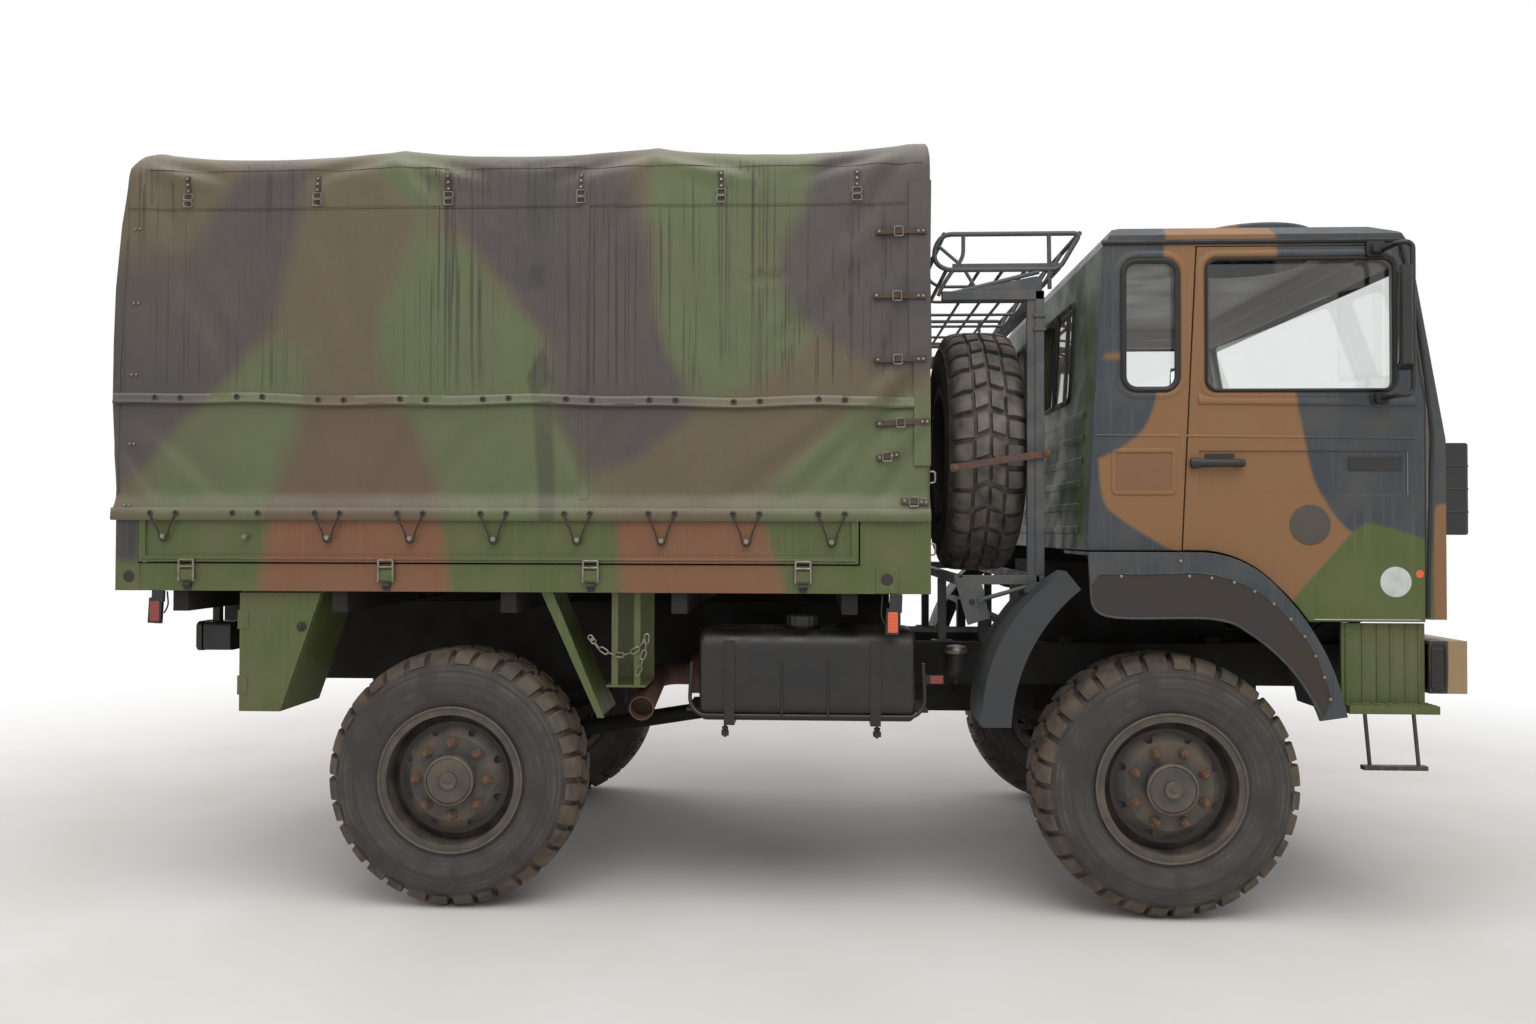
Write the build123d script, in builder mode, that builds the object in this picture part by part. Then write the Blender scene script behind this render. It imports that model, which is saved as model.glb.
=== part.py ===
"""Light 4x4 military cargo truck with a canvas covered load bed.

Millimetres. +X is forward, +Y is the truck's left, +Z is up. The ground is Z = 0 and the
origin is on the ground below the middle of the truck.
"""

import os

from build123d import *

os.makedirs("parts", exist_ok=True)

# Whole vehicle
wheelbase = 2750
track = 1800
bed_tail = 1310        # rear axle to the back of the bed
cover_overhang = 38    # cover behind the back of the bed
nose_reach = 1102      # front axle to the face of the grille
rear_reach = bed_tail + cover_overhang
rear_x = rear_reach - (rear_reach + wheelbase + nose_reach) / 2
front_x = rear_x + wheelbase
wheel_y = track / 2

# Wheels
tyre_radius = 500      # under load
spare_radius = 518     # free
tyre_width = 330
tread_width = 276
tread_edge = 26        # width of the tread's sloping edge
shoulder_drop = 22
rim_width = 300
rim_lip_radius = 284
rim_lip = 8
bead_radius = 262
bead_gap = 0.3
rim_wall = 12
disc_radius = 209
disc_dish = 63         # disc edge behind the rim's lip
disc_sheet = 18
bolt_face_radius = 165
bolt_face_dish = 28    # bolt face behind the rim's lip
hub_cap_radius = 95
hub_cap_depth = 46
hub_cap_chamfer = 12
hand_hole_radius = 15
hand_hole_circle = 190
hand_holes = 8
tyre_lugs = 32         # each with a flat of its own
lug_slot = 18          # open between two lugs
lug_depth = 26
drum_radius = 178
drum_wall = 12
drum_depth = 140
drum_clear = 10
hub_radius = 68
hub_recess = 30        # blind end of the spindle's bore behind the bolt face
spindle_radius = 30
pin_clearance = 0.3
running_clearance = 6
axle_z = tyre_radius

# Frame
rail_outer = 400
rail_height = 180
rail_flange = 65
rail_wall = 8
rail_top = 980
rail_bottom = rail_top - rail_height
rail_tail = 1180       # rear axle to the back end of the rails
rail_nose = 945        # front axle to their front end
rail_back = rear_x - rail_tail
rail_front = front_x + rail_nose
member_width = 90
member_height = 120

# Axles, springs and steering
axle_tube = 58
diff_radius = 145
pinion_nose = 45
pinion_radius = 52
saddle_half = 60
saddle_height = 78     # spring saddle above the axle's centre
spring_half = 540
spring_rise = 130
spring_leaf = 52
spring_width = 70
spring_clip = 12
hanger_half = 28
spring_y = rail_outer - rail_flange / 2
kingpin_y = 690
kingpin_radius = 16
boss_radius = 38
boss_half = 88
sleeve_radius = 33
lug = 30
lug_half = 40
arm_length = 220
arm_drop = 60
arm_thick = 30
arm_half = 20
eye_radius = 24
ball_pin_radius = 10
tie_rod_radius = 14
tie_rod_drop = 10      # tie rod below the arms

# Load bed
bed_half = 1090
bed_reach = 1845       # rear axle to its front
bed_back = rear_x - bed_tail
bed_front = rear_x + bed_reach
rim_bottom = 1229
rim_height = 106
floor_top = rim_bottom + rim_height
floor_plate = 30
rim_beam = 60
end_beam = 30
bearer_width = 60
bearer_drop = 80       # cross bearers below the rim
bearer_bottom = rim_bottom - bearer_drop
panel = 30
panel_notch = 10       # fixed panels let into the floor
side_height = 194
side_top = floor_top + side_height
side_clear = 6
post_length = 90
front_panel = 267
pocket_radius = 22
pocket_back = 55       # lashing pockets from the back of the bed
pocket_front = 165     # and from its front
tailgate_fold = 8

# Cover and bows
cover_side = 1080
cover_top = 2976
cover_skin = 20
cover_corner = 130
hem_gap = 12
bow = 40
bow_stations = (150, 1130, 2140, 3110)   # from the back of the cover

# Arch over the front wheel, part of the cab. Points are (ahead of the front axle, below the arch's top)
arch_top = 1390
arch_side = 1100
arch_inner = 700
arch_sheet = 12
arch_back = -321
arch_bend = 114
arch_shoulder = (262, 42)
arch_knee = (372, 127)
arch_shin = (520, 320)
arch_tip = (626, 607)
arch_gap = 8

# Cab, sizes along X from the front axle
cab_half = 1060
cab_skin = 50
cab_sill = 1142
sheet = 25
cab_seat_floor = arch_top + 1 + sheet
cab_body_low = arch_top + arch_gap - 1
cab_back_low = -316
cab_back_high = -254
cab_eaves = 2548
roof_rise = 102
cab_top = cab_eaves + roof_rise
cab_nose = 1008
waist_z = 1812
window_sill = 182      # side windows above the waist
window_head = 47       # and below the eaves
header_x = 880
door_back_low = 41
door_back_high = 97
door_front = 930
door_head_x = 848
door_gap = 6
front_wall_x = 942
pillar_rise = 150      # straight part of the front pillar above the waist
panel_clear = 2
tunnel_half = 360
tunnel_front = 700
footwell_back = 500
pivot_x = 985
pivot_z = 1100
pivot_pin = 22
pivot_y = 370
pivot_plate = 30
pivot_head = 25
glass = 6

# Spare wheel behind the cab
spare_from_axle = 651
spare_x = front_x - spare_from_axle
spare_y = -400
spare_z = 1814
carrier_post_from_axle = 465
carrier_post_x = front_x - carrier_post_from_axle
carrier_half = 930
carrier_bar = 36
carrier_top = 2410
basket_bottom = 2496
basket_height = 142
basket_top = basket_bottom + basket_height
basket_back_from_axle = 875
basket_back = front_x - basket_back_from_axle
basket_front_from_axle = 330
basket_front = front_x - basket_front_from_axle
basket_tube = 10


def slab(x0, x1, y0, y1, z0, z1, mode=Mode.ADD):
    """A block between two corners."""
    with Locations(((x0 + x1) / 2, (y0 + y1) / 2, (z0 + z1) / 2)):
        Box(x1 - x0, y1 - y0, z1 - z0, mode=mode)


def side_plate(points, inner, outer, mode=Mode.ADD):
    """A plate of the side view's outline on the right-hand side, between two distances from the middle."""
    with BuildSketch(Plane.XZ.offset(inner)) as outline:
        with BuildLine():
            Polyline(*points, close=True)
        make_face()
    extrude(outline.sketch, amount=outer - inner, mode=mode)


def bar(start, end, radius):
    """A round bar between two points."""
    run = Vector(*end) - Vector(*start)
    with BuildSketch(Plane(origin=start, z_dir=run)) as section:
        Circle(radius)
    extrude(section.sketch, amount=run.length)


def cross_shaft(x, y0, y1, z, radius, mode=Mode.ADD):
    """A round shaft along Y."""
    with Locations((x, (y0 + y1) / 2, z)):
        Cylinder(radius, abs(y1 - y0), rotation=(90, 0, 0), mode=mode)


def on_arch(point, shift_x=0, shift_z=0):
    """A point of the front arch in the side view."""
    return (front_x + point[0] + shift_x, arch_top - point[1] + shift_z)


def cab_line(low_x, high_x, z):
    """Place along X on a sloping edge of the cab at a height."""
    return front_x + low_x + (high_x - low_x) * (z - cab_body_low) / (cab_eaves - cab_body_low)


# Frame rails with their cross members, cab pivots and tow coupling
member_stations = (rail_back + 50, rear_x - 420, rear_x + 420, rear_x + 1150, front_x + 860)
horn_from_axle = 780         # where the horns that carry the cab pivots start
horn_x = front_x + horn_from_axle
horn_rise = 30
pivot_reach = 60
coupling_z = 880
coupling_plate = 20
coupling_plate_half = 110
coupling_plate_rise = 90
coupling_reach = 110
coupling_radius = 42
coupling_pin = 14
coupling_pin_half = 30
jaw_wall = 20
jaw_half = 60
jaw_rise = 30
with BuildPart() as frame_rails:
    with BuildSketch(Plane.YZ.offset(rail_back)):
        with Locations((rail_outer - rail_flange / 2, rail_bottom + rail_height / 2)):
            Rectangle(rail_flange, rail_height)
        with Locations((rail_outer - rail_flange / 2 - rail_wall, rail_bottom + rail_height / 2)):
            Rectangle(rail_flange, rail_height - 2 * rail_wall, mode=Mode.SUBTRACT)
    extrude(amount=rail_front - rail_back)
    mirror(about=Plane.XZ)
    for x in member_stations:
        slab(x - member_width / 2, x + member_width / 2, rail_wall - rail_outer, rail_outer - rail_wall,
             rail_bottom + rail_wall, rail_bottom + rail_wall + member_height)
    side_plate(((horn_x, rail_top), (rail_front, rail_top), (rail_front, pivot_z - pivot_head),
                (front_x + pivot_x + pivot_head, pivot_z - pivot_head),
                (front_x + pivot_x + pivot_head, pivot_z + pivot_head),
                (front_x + pivot_x - pivot_head, pivot_z + pivot_head), (horn_x, rail_top + horn_rise)),
               pivot_y - pivot_plate, pivot_y)
    cross_shaft(front_x + pivot_x, -pivot_y - pivot_reach, pivot_plate - pivot_y, pivot_z, pivot_pin)
    mirror(about=Plane.XZ)
    slab(rail_back - coupling_plate, rail_back + 5, -coupling_plate_half, coupling_plate_half,
         coupling_z - coupling_plate_rise, coupling_z + coupling_plate_rise)
    with Locations((rail_back - coupling_plate - coupling_reach / 2, 0, coupling_z)):
        Cylinder(coupling_radius, coupling_reach, rotation=(0, 90, 0))
    slab(rail_back - coupling_plate - coupling_reach + jaw_wall, rail_back - coupling_plate - 2 * jaw_wall,
         -jaw_half, jaw_half, coupling_z - jaw_rise, coupling_z + jaw_rise, mode=Mode.SUBTRACT)
    with Locations((rail_back - coupling_plate - coupling_reach / 2 - jaw_wall / 2, 0, coupling_z)):
        Cylinder(coupling_pin, 2 * coupling_pin_half)
frame_rails.part.label = "frame_rails"
export_step(frame_rails.part, "parts/frame_rails.step")

# Front axle: tube, differential, spring saddles and the forks that hold the kingpins
fork_plate = 25
fork_y = kingpin_y - 90
fork_x = 50
fork_half = boss_half + running_clearance + lug
with BuildPart() as front_axle:
    cross_shaft(front_x, -fork_y, fork_y, axle_z, axle_tube)
    with Locations((front_x, 0, axle_z)):
        Sphere(diff_radius)
    bar((front_x, 0, axle_z), (front_x - diff_radius - pinion_nose, 0, axle_z), pinion_radius)
    slab(front_x - saddle_half, front_x + saddle_half, -spring_y - spring_width / 2,
         -spring_y + spring_width / 2, axle_z, axle_z + saddle_height)
    slab(front_x - fork_x, front_x + fork_x, -fork_y - fork_plate, -fork_y,
         axle_z - fork_half, axle_z + fork_half)
    for low in (-fork_half, fork_half - lug):
        slab(front_x - lug_half, front_x + lug_half, -kingpin_y, -fork_y - fork_plate,
             axle_z + low, axle_z + low + lug)
        with Locations((front_x, -kingpin_y, axle_z + low + lug / 2)):
            Cylinder(lug_half, lug)
    with Locations((front_x, -kingpin_y, axle_z)):
        Cylinder(kingpin_radius + pin_clearance, 2 * fork_half, mode=Mode.SUBTRACT)
    mirror(about=Plane.XZ)
front_axle.part.label = "front_axle"
export_step(front_axle.part, "parts/front_axle.step")

# Rear axle: tube, differential, spring saddles, brake plates and wheel spindles
rear_diff_radius = diff_radius + 10
brake_plate = 10
brake_plate_y = wheel_y - drum_depth / 2 - running_clearance - brake_plate
spindle_reach = 55
spindle_end = wheel_y + spindle_reach
with BuildPart() as rear_axle:
    cross_shaft(rear_x, -brake_plate_y, brake_plate_y, axle_z, axle_tube)
    with Locations((rear_x, 0, axle_z)):
        Sphere(rear_diff_radius)
    bar((rear_x, 0, axle_z), (rear_x + diff_radius + pinion_nose, 0, axle_z), pinion_radius)
    slab(rear_x - saddle_half, rear_x + saddle_half, -spring_y - spring_width / 2,
         -spring_y + spring_width / 2, axle_z, axle_z + saddle_height)
    cross_shaft(rear_x, -brake_plate_y - brake_plate, -brake_plate_y, axle_z, drum_radius - drum_clear)
    cross_shaft(rear_x, -spindle_end, -brake_plate_y, axle_z, spindle_radius)
    mirror(about=Plane.XZ)
rear_axle.part.label = "rear_axle"
export_step(rear_axle.part, "parts/rear_axle.step")

# Leaf springs with their hangers, two on each axle
spring_low = axle_z + saddle_height
spring_end = spring_low + spring_rise
with BuildPart() as leaf_springs:
    for x in (rear_x, front_x):
        with BuildSketch(Plane.XZ.offset(spring_y - spring_width / 2)):
            with BuildLine():
                low = ThreePointArc((x - spring_half, spring_end), (x, spring_low),
                                    (x + spring_half, spring_end))
                high = ThreePointArc((x - spring_half, spring_end + spring_leaf / 2),
                                     (x, spring_low + spring_leaf),
                                     (x + spring_half, spring_end + spring_leaf / 2))
                Line(low @ 0, high @ 0)
                Line(low @ 1, high @ 1)
            make_face()
        extrude(amount=spring_width)
        slab(x - saddle_half, x + saddle_half, -spring_y - spring_width / 2, -spring_y + spring_width / 2,
             spring_low, spring_low + spring_leaf + spring_clip)
        for end in (x - spring_half, x + spring_half):
            slab(end - hanger_half, end + hanger_half, -spring_y - spring_width / 2,
                 -spring_y + spring_width / 2, spring_end - spring_clip, rail_bottom)
    mirror(about=Plane.XZ)
leaf_springs.part.label = "leaf_springs"
export_step(leaf_springs.part, "parts/leaf_springs.step")

# Engine as one plain block, with the gearbox and the shafts to both axles
engine_half = 290
engine_back_from_axle = 340
engine_back = front_x - engine_back_from_axle
engine_front_from_axle = 480
engine_front = front_x + engine_front_from_axle
engine_bottom = 740
engine_top = 1330
engine_foot = 90
engine_foot_half = 30
engine_foot_height = 25
box_back_from_axle = 1000
box_back = front_x - box_back_from_axle
box_half = 150
box_bottom = 640
box_top = 1000
shaft_radius = 38
rear_output = (20, 110)       # from the gearbox's lower back corner
front_output = (520, 60)
shaft_clear = 6
front_shaft_clear = 22
front_shaft_rise = 14
with BuildPart() as driveline:
    slab(engine_back, engine_front, -engine_half, engine_half, engine_bottom, engine_top)
    slab(box_back, engine_back, -box_half, box_half, box_bottom, box_top)
    bar((box_back + rear_output[0], 0, box_bottom + rear_output[1]),
        (rear_x + diff_radius + pinion_nose + shaft_clear, 0, axle_z), shaft_radius)
    bar((box_back + front_output[0], 0, box_bottom + front_output[1]),
        (front_x - diff_radius - pinion_nose - front_shaft_clear, 0, axle_z + front_shaft_rise), shaft_radius)
    for x in (engine_back + engine_foot, engine_front - engine_foot):
        slab(x - engine_foot_half, x + engine_foot_half, rail_wall - rail_outer, rail_outer - rail_wall,
             rail_top, rail_top + engine_foot_height)
driveline.part.label = "driveline"
export_step(driveline.part, "parts/driveline.step")

# Exhaust: silencer beside the right-hand rail, tail pipe out to the side ahead of the rear wheel
silencer_radius = 85
silencer_gap = 30      # to the rail
silencer_y = -rail_outer - silencer_radius - silencer_gap
silencer_z = 850
silencer_back_from_axle = 880
silencer_back = rear_x + silencer_back_from_axle
silencer_front_from_axle = 1330
silencer_front = rear_x + silencer_front_from_axle
pipe_radius = 48
pipe_wall = 4
pipe_bend = 90
pipe_lead = 150        # straight run behind the silencer
mouth_depth = 70
outlet_from_axle = 735
outlet_side = 1000
outlet_height = 775
outlet = (rear_x + outlet_from_axle, -outlet_side, outlet_height)
exhaust_hanger = 30
exhaust_hanger_sheet = 10
exhaust_hanger_top = rail_top - 20
with BuildPart() as exhaust:
    with Locations(((silencer_back + silencer_front) / 2, silencer_y, silencer_z)):
        Cylinder(silencer_radius, silencer_front - silencer_back, rotation=(0, 90, 0))
    with BuildLine() as tail_route:
        FilletPolyline((silencer_back + 5, silencer_y, silencer_z),
                       (silencer_back - pipe_lead, silencer_y, silencer_z), outlet, radius=pipe_bend)
    with BuildSketch(Plane(origin=tail_route.line @ 0, z_dir=tail_route.line % 0)) as tail_section:
        Circle(pipe_radius)
    sweep(tail_section.sketch, path=tail_route.line)
    with BuildSketch(Plane(origin=tail_route.line @ 1, z_dir=tail_route.line % 1)) as mouth:
        Circle(pipe_radius - pipe_wall)
    extrude(mouth.sketch, amount=-mouth_depth, mode=Mode.SUBTRACT)
    for x in (silencer_back + 2 * exhaust_hanger, silencer_front - 3 * exhaust_hanger):
        slab(x, x + exhaust_hanger,
             silencer_y - exhaust_hanger_sheet / 2, silencer_y + exhaust_hanger_sheet / 2,
             silencer_z + silencer_radius - 2 * exhaust_hanger_sheet, exhaust_hanger_top)
        slab(x, x + exhaust_hanger, silencer_y - exhaust_hanger_sheet / 2, -rail_outer,
             exhaust_hanger_top - exhaust_hanger_sheet, exhaust_hanger_top)
exhaust.part.label = "exhaust"
export_step(exhaust.part, "parts/exhaust.step")

# Fuel tank on the right, with filler cap, two straps and the brackets to the rail
tank_back_from_axle = 963
tank_back = rear_x + tank_back_from_axle
tank_front_from_axle = 1793
tank_front = rear_x + tank_front_from_axle
tank_bottom = 730
tank_clear = 64
tank_top = bearer_bottom - tank_clear
tank_inner = 700
tank_outer = 1040
tank_corner = 70
tank_end_round = 25
tank_flange = 50
tank_flange_z = tank_bottom + 40
tank_flange_sheet = 12
tank_flange_inset = 30
strap_back_from_axle = 1081
strap_front_from_axle = 1640
strap_stations = (rear_x + strap_back_from_axle, rear_x + strap_front_from_axle)
strap_half = 20
strap_sheet = 6
strap_end = 40         # strap's end below the tank's top
strap_wrap = 20
bracket_half = 25
bracket_height = 35
bracket_drop = 3
cap_from_axle = 1358
cap_x = rear_x + cap_from_axle
cap_shift = 40         # outwards from the tank's middle
cap_y = -(tank_inner + tank_outer) / 2 - cap_shift
cap_neck = 46
cap_radius = 64
cap_height = 48
with BuildPart() as fuel_tank:
    slab(tank_back, tank_front, -tank_outer, -tank_inner, tank_bottom, tank_top)
    fillet(fuel_tank.edges().filter_by(Axis.X), radius=tank_corner)
    fillet(fuel_tank.faces().filter_by(Axis.X).edges(), radius=tank_end_round)
    slab(tank_back - tank_flange, tank_front + tank_flange, tank_flange_inset - tank_outer,
         -tank_inner - tank_flange_inset, tank_flange_z, tank_flange_z + tank_flange_sheet)
    for x in strap_stations:
        slab(x - strap_half, x + strap_half, -tank_outer - strap_sheet, tank_flange_inset - tank_outer,
             tank_bottom - strap_sheet - panel_clear, tank_top - strap_end)
        slab(x - strap_half, x + strap_half, -tank_outer - strap_sheet, -tank_inner,
             tank_bottom - strap_sheet - panel_clear, tank_bottom + strap_wrap)
        slab(x - bracket_half, x + bracket_half, -tank_inner - strap_end, -rail_outer,
             rail_top - bracket_drop - bracket_height, rail_top - bracket_drop)
    with Locations((cap_x, cap_y, tank_top)):
        Cylinder(cap_neck, cap_height)
        Cylinder(cap_radius, cap_height, align=(Align.CENTER, Align.CENTER, Align.MIN))
fuel_tank.part.label = "fuel_tank"
export_step(fuel_tank.part, "parts/fuel_tank.step")

# Floor of the load bed with its rim beams and the round lashing pockets, notched for the fixed panels
fixed_panels = (
    # back, front, right edge, left edge
    (bed_front - panel, bed_front, -bed_half, bed_half),
    (bed_front - front_panel, bed_front, -bed_half, panel - bed_half),
    (bed_front - front_panel, bed_front, bed_half - panel, bed_half),
    (bed_back, bed_back + post_length, -bed_half, panel - bed_half),
    (bed_back, bed_back + post_length, bed_half - panel, bed_half),
)
with BuildPart() as bed_floor:
    slab(bed_back, bed_front, -bed_half, bed_half, rim_bottom, floor_top)
    slab(bed_back + end_beam, bed_front - end_beam, rim_beam - bed_half, bed_half - rim_beam,
         rim_bottom, floor_top - floor_plate, mode=Mode.SUBTRACT)
    for x0, x1, y0, y1 in fixed_panels:
        slab(x0, x1, y0, y1, floor_top - panel_notch, floor_top, mode=Mode.SUBTRACT)
    for x in (bed_back + pocket_back, bed_front - pocket_front):
        for y in (-bed_half, bed_half - rim_beam):
            cross_shaft(x, y, y + rim_beam, (rim_bottom + floor_top) / 2, pocket_radius, mode=Mode.SUBTRACT)
bed_floor.part.label = "bed_floor"
export_step(bed_floor.part, "parts/bed_floor.step")

# Headboard, fixed front side panels and rear corner posts
with BuildPart() as bed_panels:
    for x0, x1, y0, y1 in fixed_panels:
        slab(x0, x1, y0, y1, floor_top - panel_notch, side_top)
bed_panels.part.label = "bed_panels"
export_step(bed_panels.part, "parts/bed_panels.step")

# Cross bearers under the rim and the two sills that carry them on the frame
bearer_stations = (-1060, -430, 230, 890, 1540)   # from the rear axle
bearer_inset = 20
sill_half = 35
sill_inset = 60
with BuildPart() as bed_bearers:
    for station in bearer_stations:
        slab(rear_x + station - bearer_width / 2, rear_x + station + bearer_width / 2,
             bearer_inset - bed_half, bed_half - bearer_inset, bearer_bottom, rim_bottom)
bed_bearers.part.label = "bed_bearers"
export_step(bed_bearers.part, "parts/bed_bearers.step")

with BuildPart() as bed_sills:
    for y in (-spring_y, spring_y):
        slab(bed_back + sill_inset, bed_front - sill_inset, y - sill_half, y + sill_half,
             rail_top, bearer_bottom)
bed_sills.part.label = "bed_sills"
export_step(bed_sills.part, "parts/bed_sills.step")

# Drop sides, latched shut between the corner post and the front panel
side_back = bed_back + post_length + side_clear
side_front = bed_front - front_panel - side_clear
side_low = floor_top + side_clear
rail_proud = 8
frame_rail = 26
with BuildPart() as drop_sides:
    slab(side_back, side_front, -bed_half, panel - bed_half, side_low, side_top)
    for x0, x1 in ((side_back, side_back + frame_rail), (side_front - frame_rail, side_front)):
        slab(x0, x1, -bed_half - rail_proud, -bed_half, side_low, side_top)
    slab(side_back, side_front, -bed_half - rail_proud, -bed_half, side_low, side_low + frame_rail)
    mirror(about=Plane.XZ)
drop_sides.part.label = "drop_sides"
export_step(drop_sides.part, "parts/drop_sides.step")

# Tailgate, folding down about its lower edge
gate_half = bed_half - panel - side_clear
with BuildPart() as tailgate:
    slab(bed_back, bed_back + panel, -gate_half, gate_half, side_low, side_top)
    slab(bed_back - tailgate_fold, bed_back, -gate_half, gate_half, side_top - frame_rail, side_top)
    slab(bed_back - tailgate_fold, bed_back, -gate_half, gate_half, side_low + frame_rail,
         side_low + 2 * frame_rail)
tailgate.part.label = "tailgate"
export_step(tailgate.part, "parts/tailgate.step")

# Bows that hold the cover up, socketed inside the sides
cover_back = rear_x - rear_reach
cover_front = bed_front
cover_inner = cover_side - cover_skin
bow_crown = cover_top - cover_skin
bow_leg = cover_corner   # plain lower end of each leg
with BuildPart() as cover_bows:
    for station in bow_stations:
        with BuildSketch(Plane.YZ.offset(cover_back + station - bow / 2)):
            with Locations((0, (side_low + bow_crown) / 2)):
                RectangleRounded(2 * cover_inner, bow_crown - side_low, cover_corner - cover_skin)
                RectangleRounded(2 * (cover_inner - bow), bow_crown - side_low - 2 * bow,
                                 cover_corner - cover_skin - bow, mode=Mode.SUBTRACT)
            with Locations((0, side_low + bow_leg / 2)):
                Rectangle(2 * cover_inner, bow_leg, mode=Mode.SUBTRACT)
            for y in (-cover_inner + bow / 2, cover_inner - bow / 2):
                with Locations((y, side_low + bow_leg / 2)):
                    Rectangle(bow, bow_leg)
        extrude(amount=bow)
cover_bows.part.label = "cover_bows"
export_step(cover_bows.part, "parts/cover_bows.step")

# Canvas cover, one closed skin open underneath
hem_z = side_top + hem_gap
with BuildPart() as cargo_cover:
    with BuildSketch(Plane.YZ.offset(cover_back)) as cover_section:
        with Locations((0, (hem_z + cover_top) / 2)):
            Rectangle(2 * cover_side, cover_top - hem_z)
        fillet(cover_section.vertices().group_by(Axis.Y)[-1], radius=cover_corner)
    extrude(amount=cover_front - cover_back)
    with BuildSketch(Plane.YZ.offset(cover_back + cover_skin)) as hollow_section:
        with Locations((0, (hem_z + bow_crown) / 2)):
            Rectangle(2 * cover_inner, bow_crown - hem_z)
        fillet(hollow_section.vertices().group_by(Axis.Y)[-1], radius=cover_corner - cover_skin)
    extrude(amount=cover_front - cover_back - 2 * cover_skin, mode=Mode.SUBTRACT)
cargo_cover.part.label = "cargo_cover"
export_step(cargo_cover.part, "parts/cargo_cover.step")

# Wheelhouse panels ahead of the rear wheels, and the open can tray on the right
house_top_from_axle = 354
house_top_x = rear_x + house_top_from_axle
house_low_from_axle = 585
house_low_x = rear_x + house_low_from_axle
house_low_z = 747
house_inner = 720
house_inset = 30       # from the bed's side
house_outer = bed_half - house_inset
house_sheet = 10
house_flange_top = 45
house_flange_low = 15
tray_back = house_low_x + 20
tray_front_from_axle = 757
tray_front = rear_x + tray_front_from_axle
tray_inner = 800
tray_inset = 20        # from the panels' outer edge
tray_outer = house_outer - tray_inset
tray_z = 862
tray_sheet = 8
tray_strap = 25
tray_strap_inset = 20
with BuildPart() as wheelhouse_panels:
    side_plate(((house_top_x, rim_bottom), (house_top_x + house_sheet, rim_bottom),
                (house_low_x, house_low_z), (house_low_x - house_sheet, house_low_z)),
               house_inner, house_outer)
    side_plate(((house_top_x, rim_bottom), (house_top_x + house_flange_top, rim_bottom),
                (house_low_x + house_flange_low, house_low_z), (house_low_x - house_sheet, house_low_z)),
               house_outer - house_sheet, house_outer)
    mirror(about=Plane.XZ)
    slab(tray_back, tray_front, -tray_inner - tray_sheet, -tray_inner, tray_z, rim_bottom)
    slab(tray_back, tray_front, -tray_outer, -tray_inner, tray_z, tray_z + tray_sheet)
    for x in (tray_back + tray_strap_inset, tray_front - tray_strap_inset - tray_strap):
        slab(x, x + tray_strap, -tray_outer, tray_sheet - tray_outer, tray_z, rim_bottom)
wheelhouse_panels.part.label = "wheelhouse_panels"
export_step(wheelhouse_panels.part, "parts/wheelhouse_panels.step")

# Tool lockers behind the rear wheels: open shells, each closed by a side hung door
locker_back_from_axle = 830
locker_back = rear_x - locker_back_from_axle
locker_front_top_from_axle = 505
locker_front_top = rear_x - locker_front_top_from_axle
locker_front_low_from_axle = 667
locker_front_low = rear_x - locker_front_low_from_axle
locker_low = 760
locker_top = rim_bottom
locker_sheet = 12
locker_door_top = rim_bottom - 8
locker_door_gap = 3
with BuildPart() as tool_lockers:
    side_plate(((locker_back, locker_top), (locker_front_top, locker_top), (locker_front_low, locker_low),
                (locker_back, locker_low)), house_inner, house_outer - locker_sheet - running_clearance)
    side_plate(((locker_back + locker_sheet, locker_top - locker_sheet),
                (locker_front_top - 1.5 * locker_sheet, locker_top - locker_sheet),
                (locker_front_low - 1.2 * locker_sheet, locker_low + locker_sheet),
                (locker_back + locker_sheet, locker_low + locker_sheet)),
               house_inner + locker_sheet, house_outer, mode=Mode.SUBTRACT)
    mirror(about=Plane.XZ)
tool_lockers.part.label = "tool_lockers"
export_step(tool_lockers.part, "parts/tool_lockers.step")

for side_name, side in (("right", -1), ("left", 1)):
    with BuildPart() as locker_door:
        side_plate(((locker_back, locker_door_top), (locker_front_top - locker_door_gap, locker_door_top),
                    (locker_front_low, locker_low), (locker_back, locker_low)),
                   house_outer - locker_sheet, house_outer)
        if side > 0:
            mirror(about=Plane.XZ, mode=Mode.REPLACE)
    locker_door.part.label = f"locker_door_{side_name}"
    export_step(locker_door.part, f"parts/locker_door_{side_name}.step")

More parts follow.
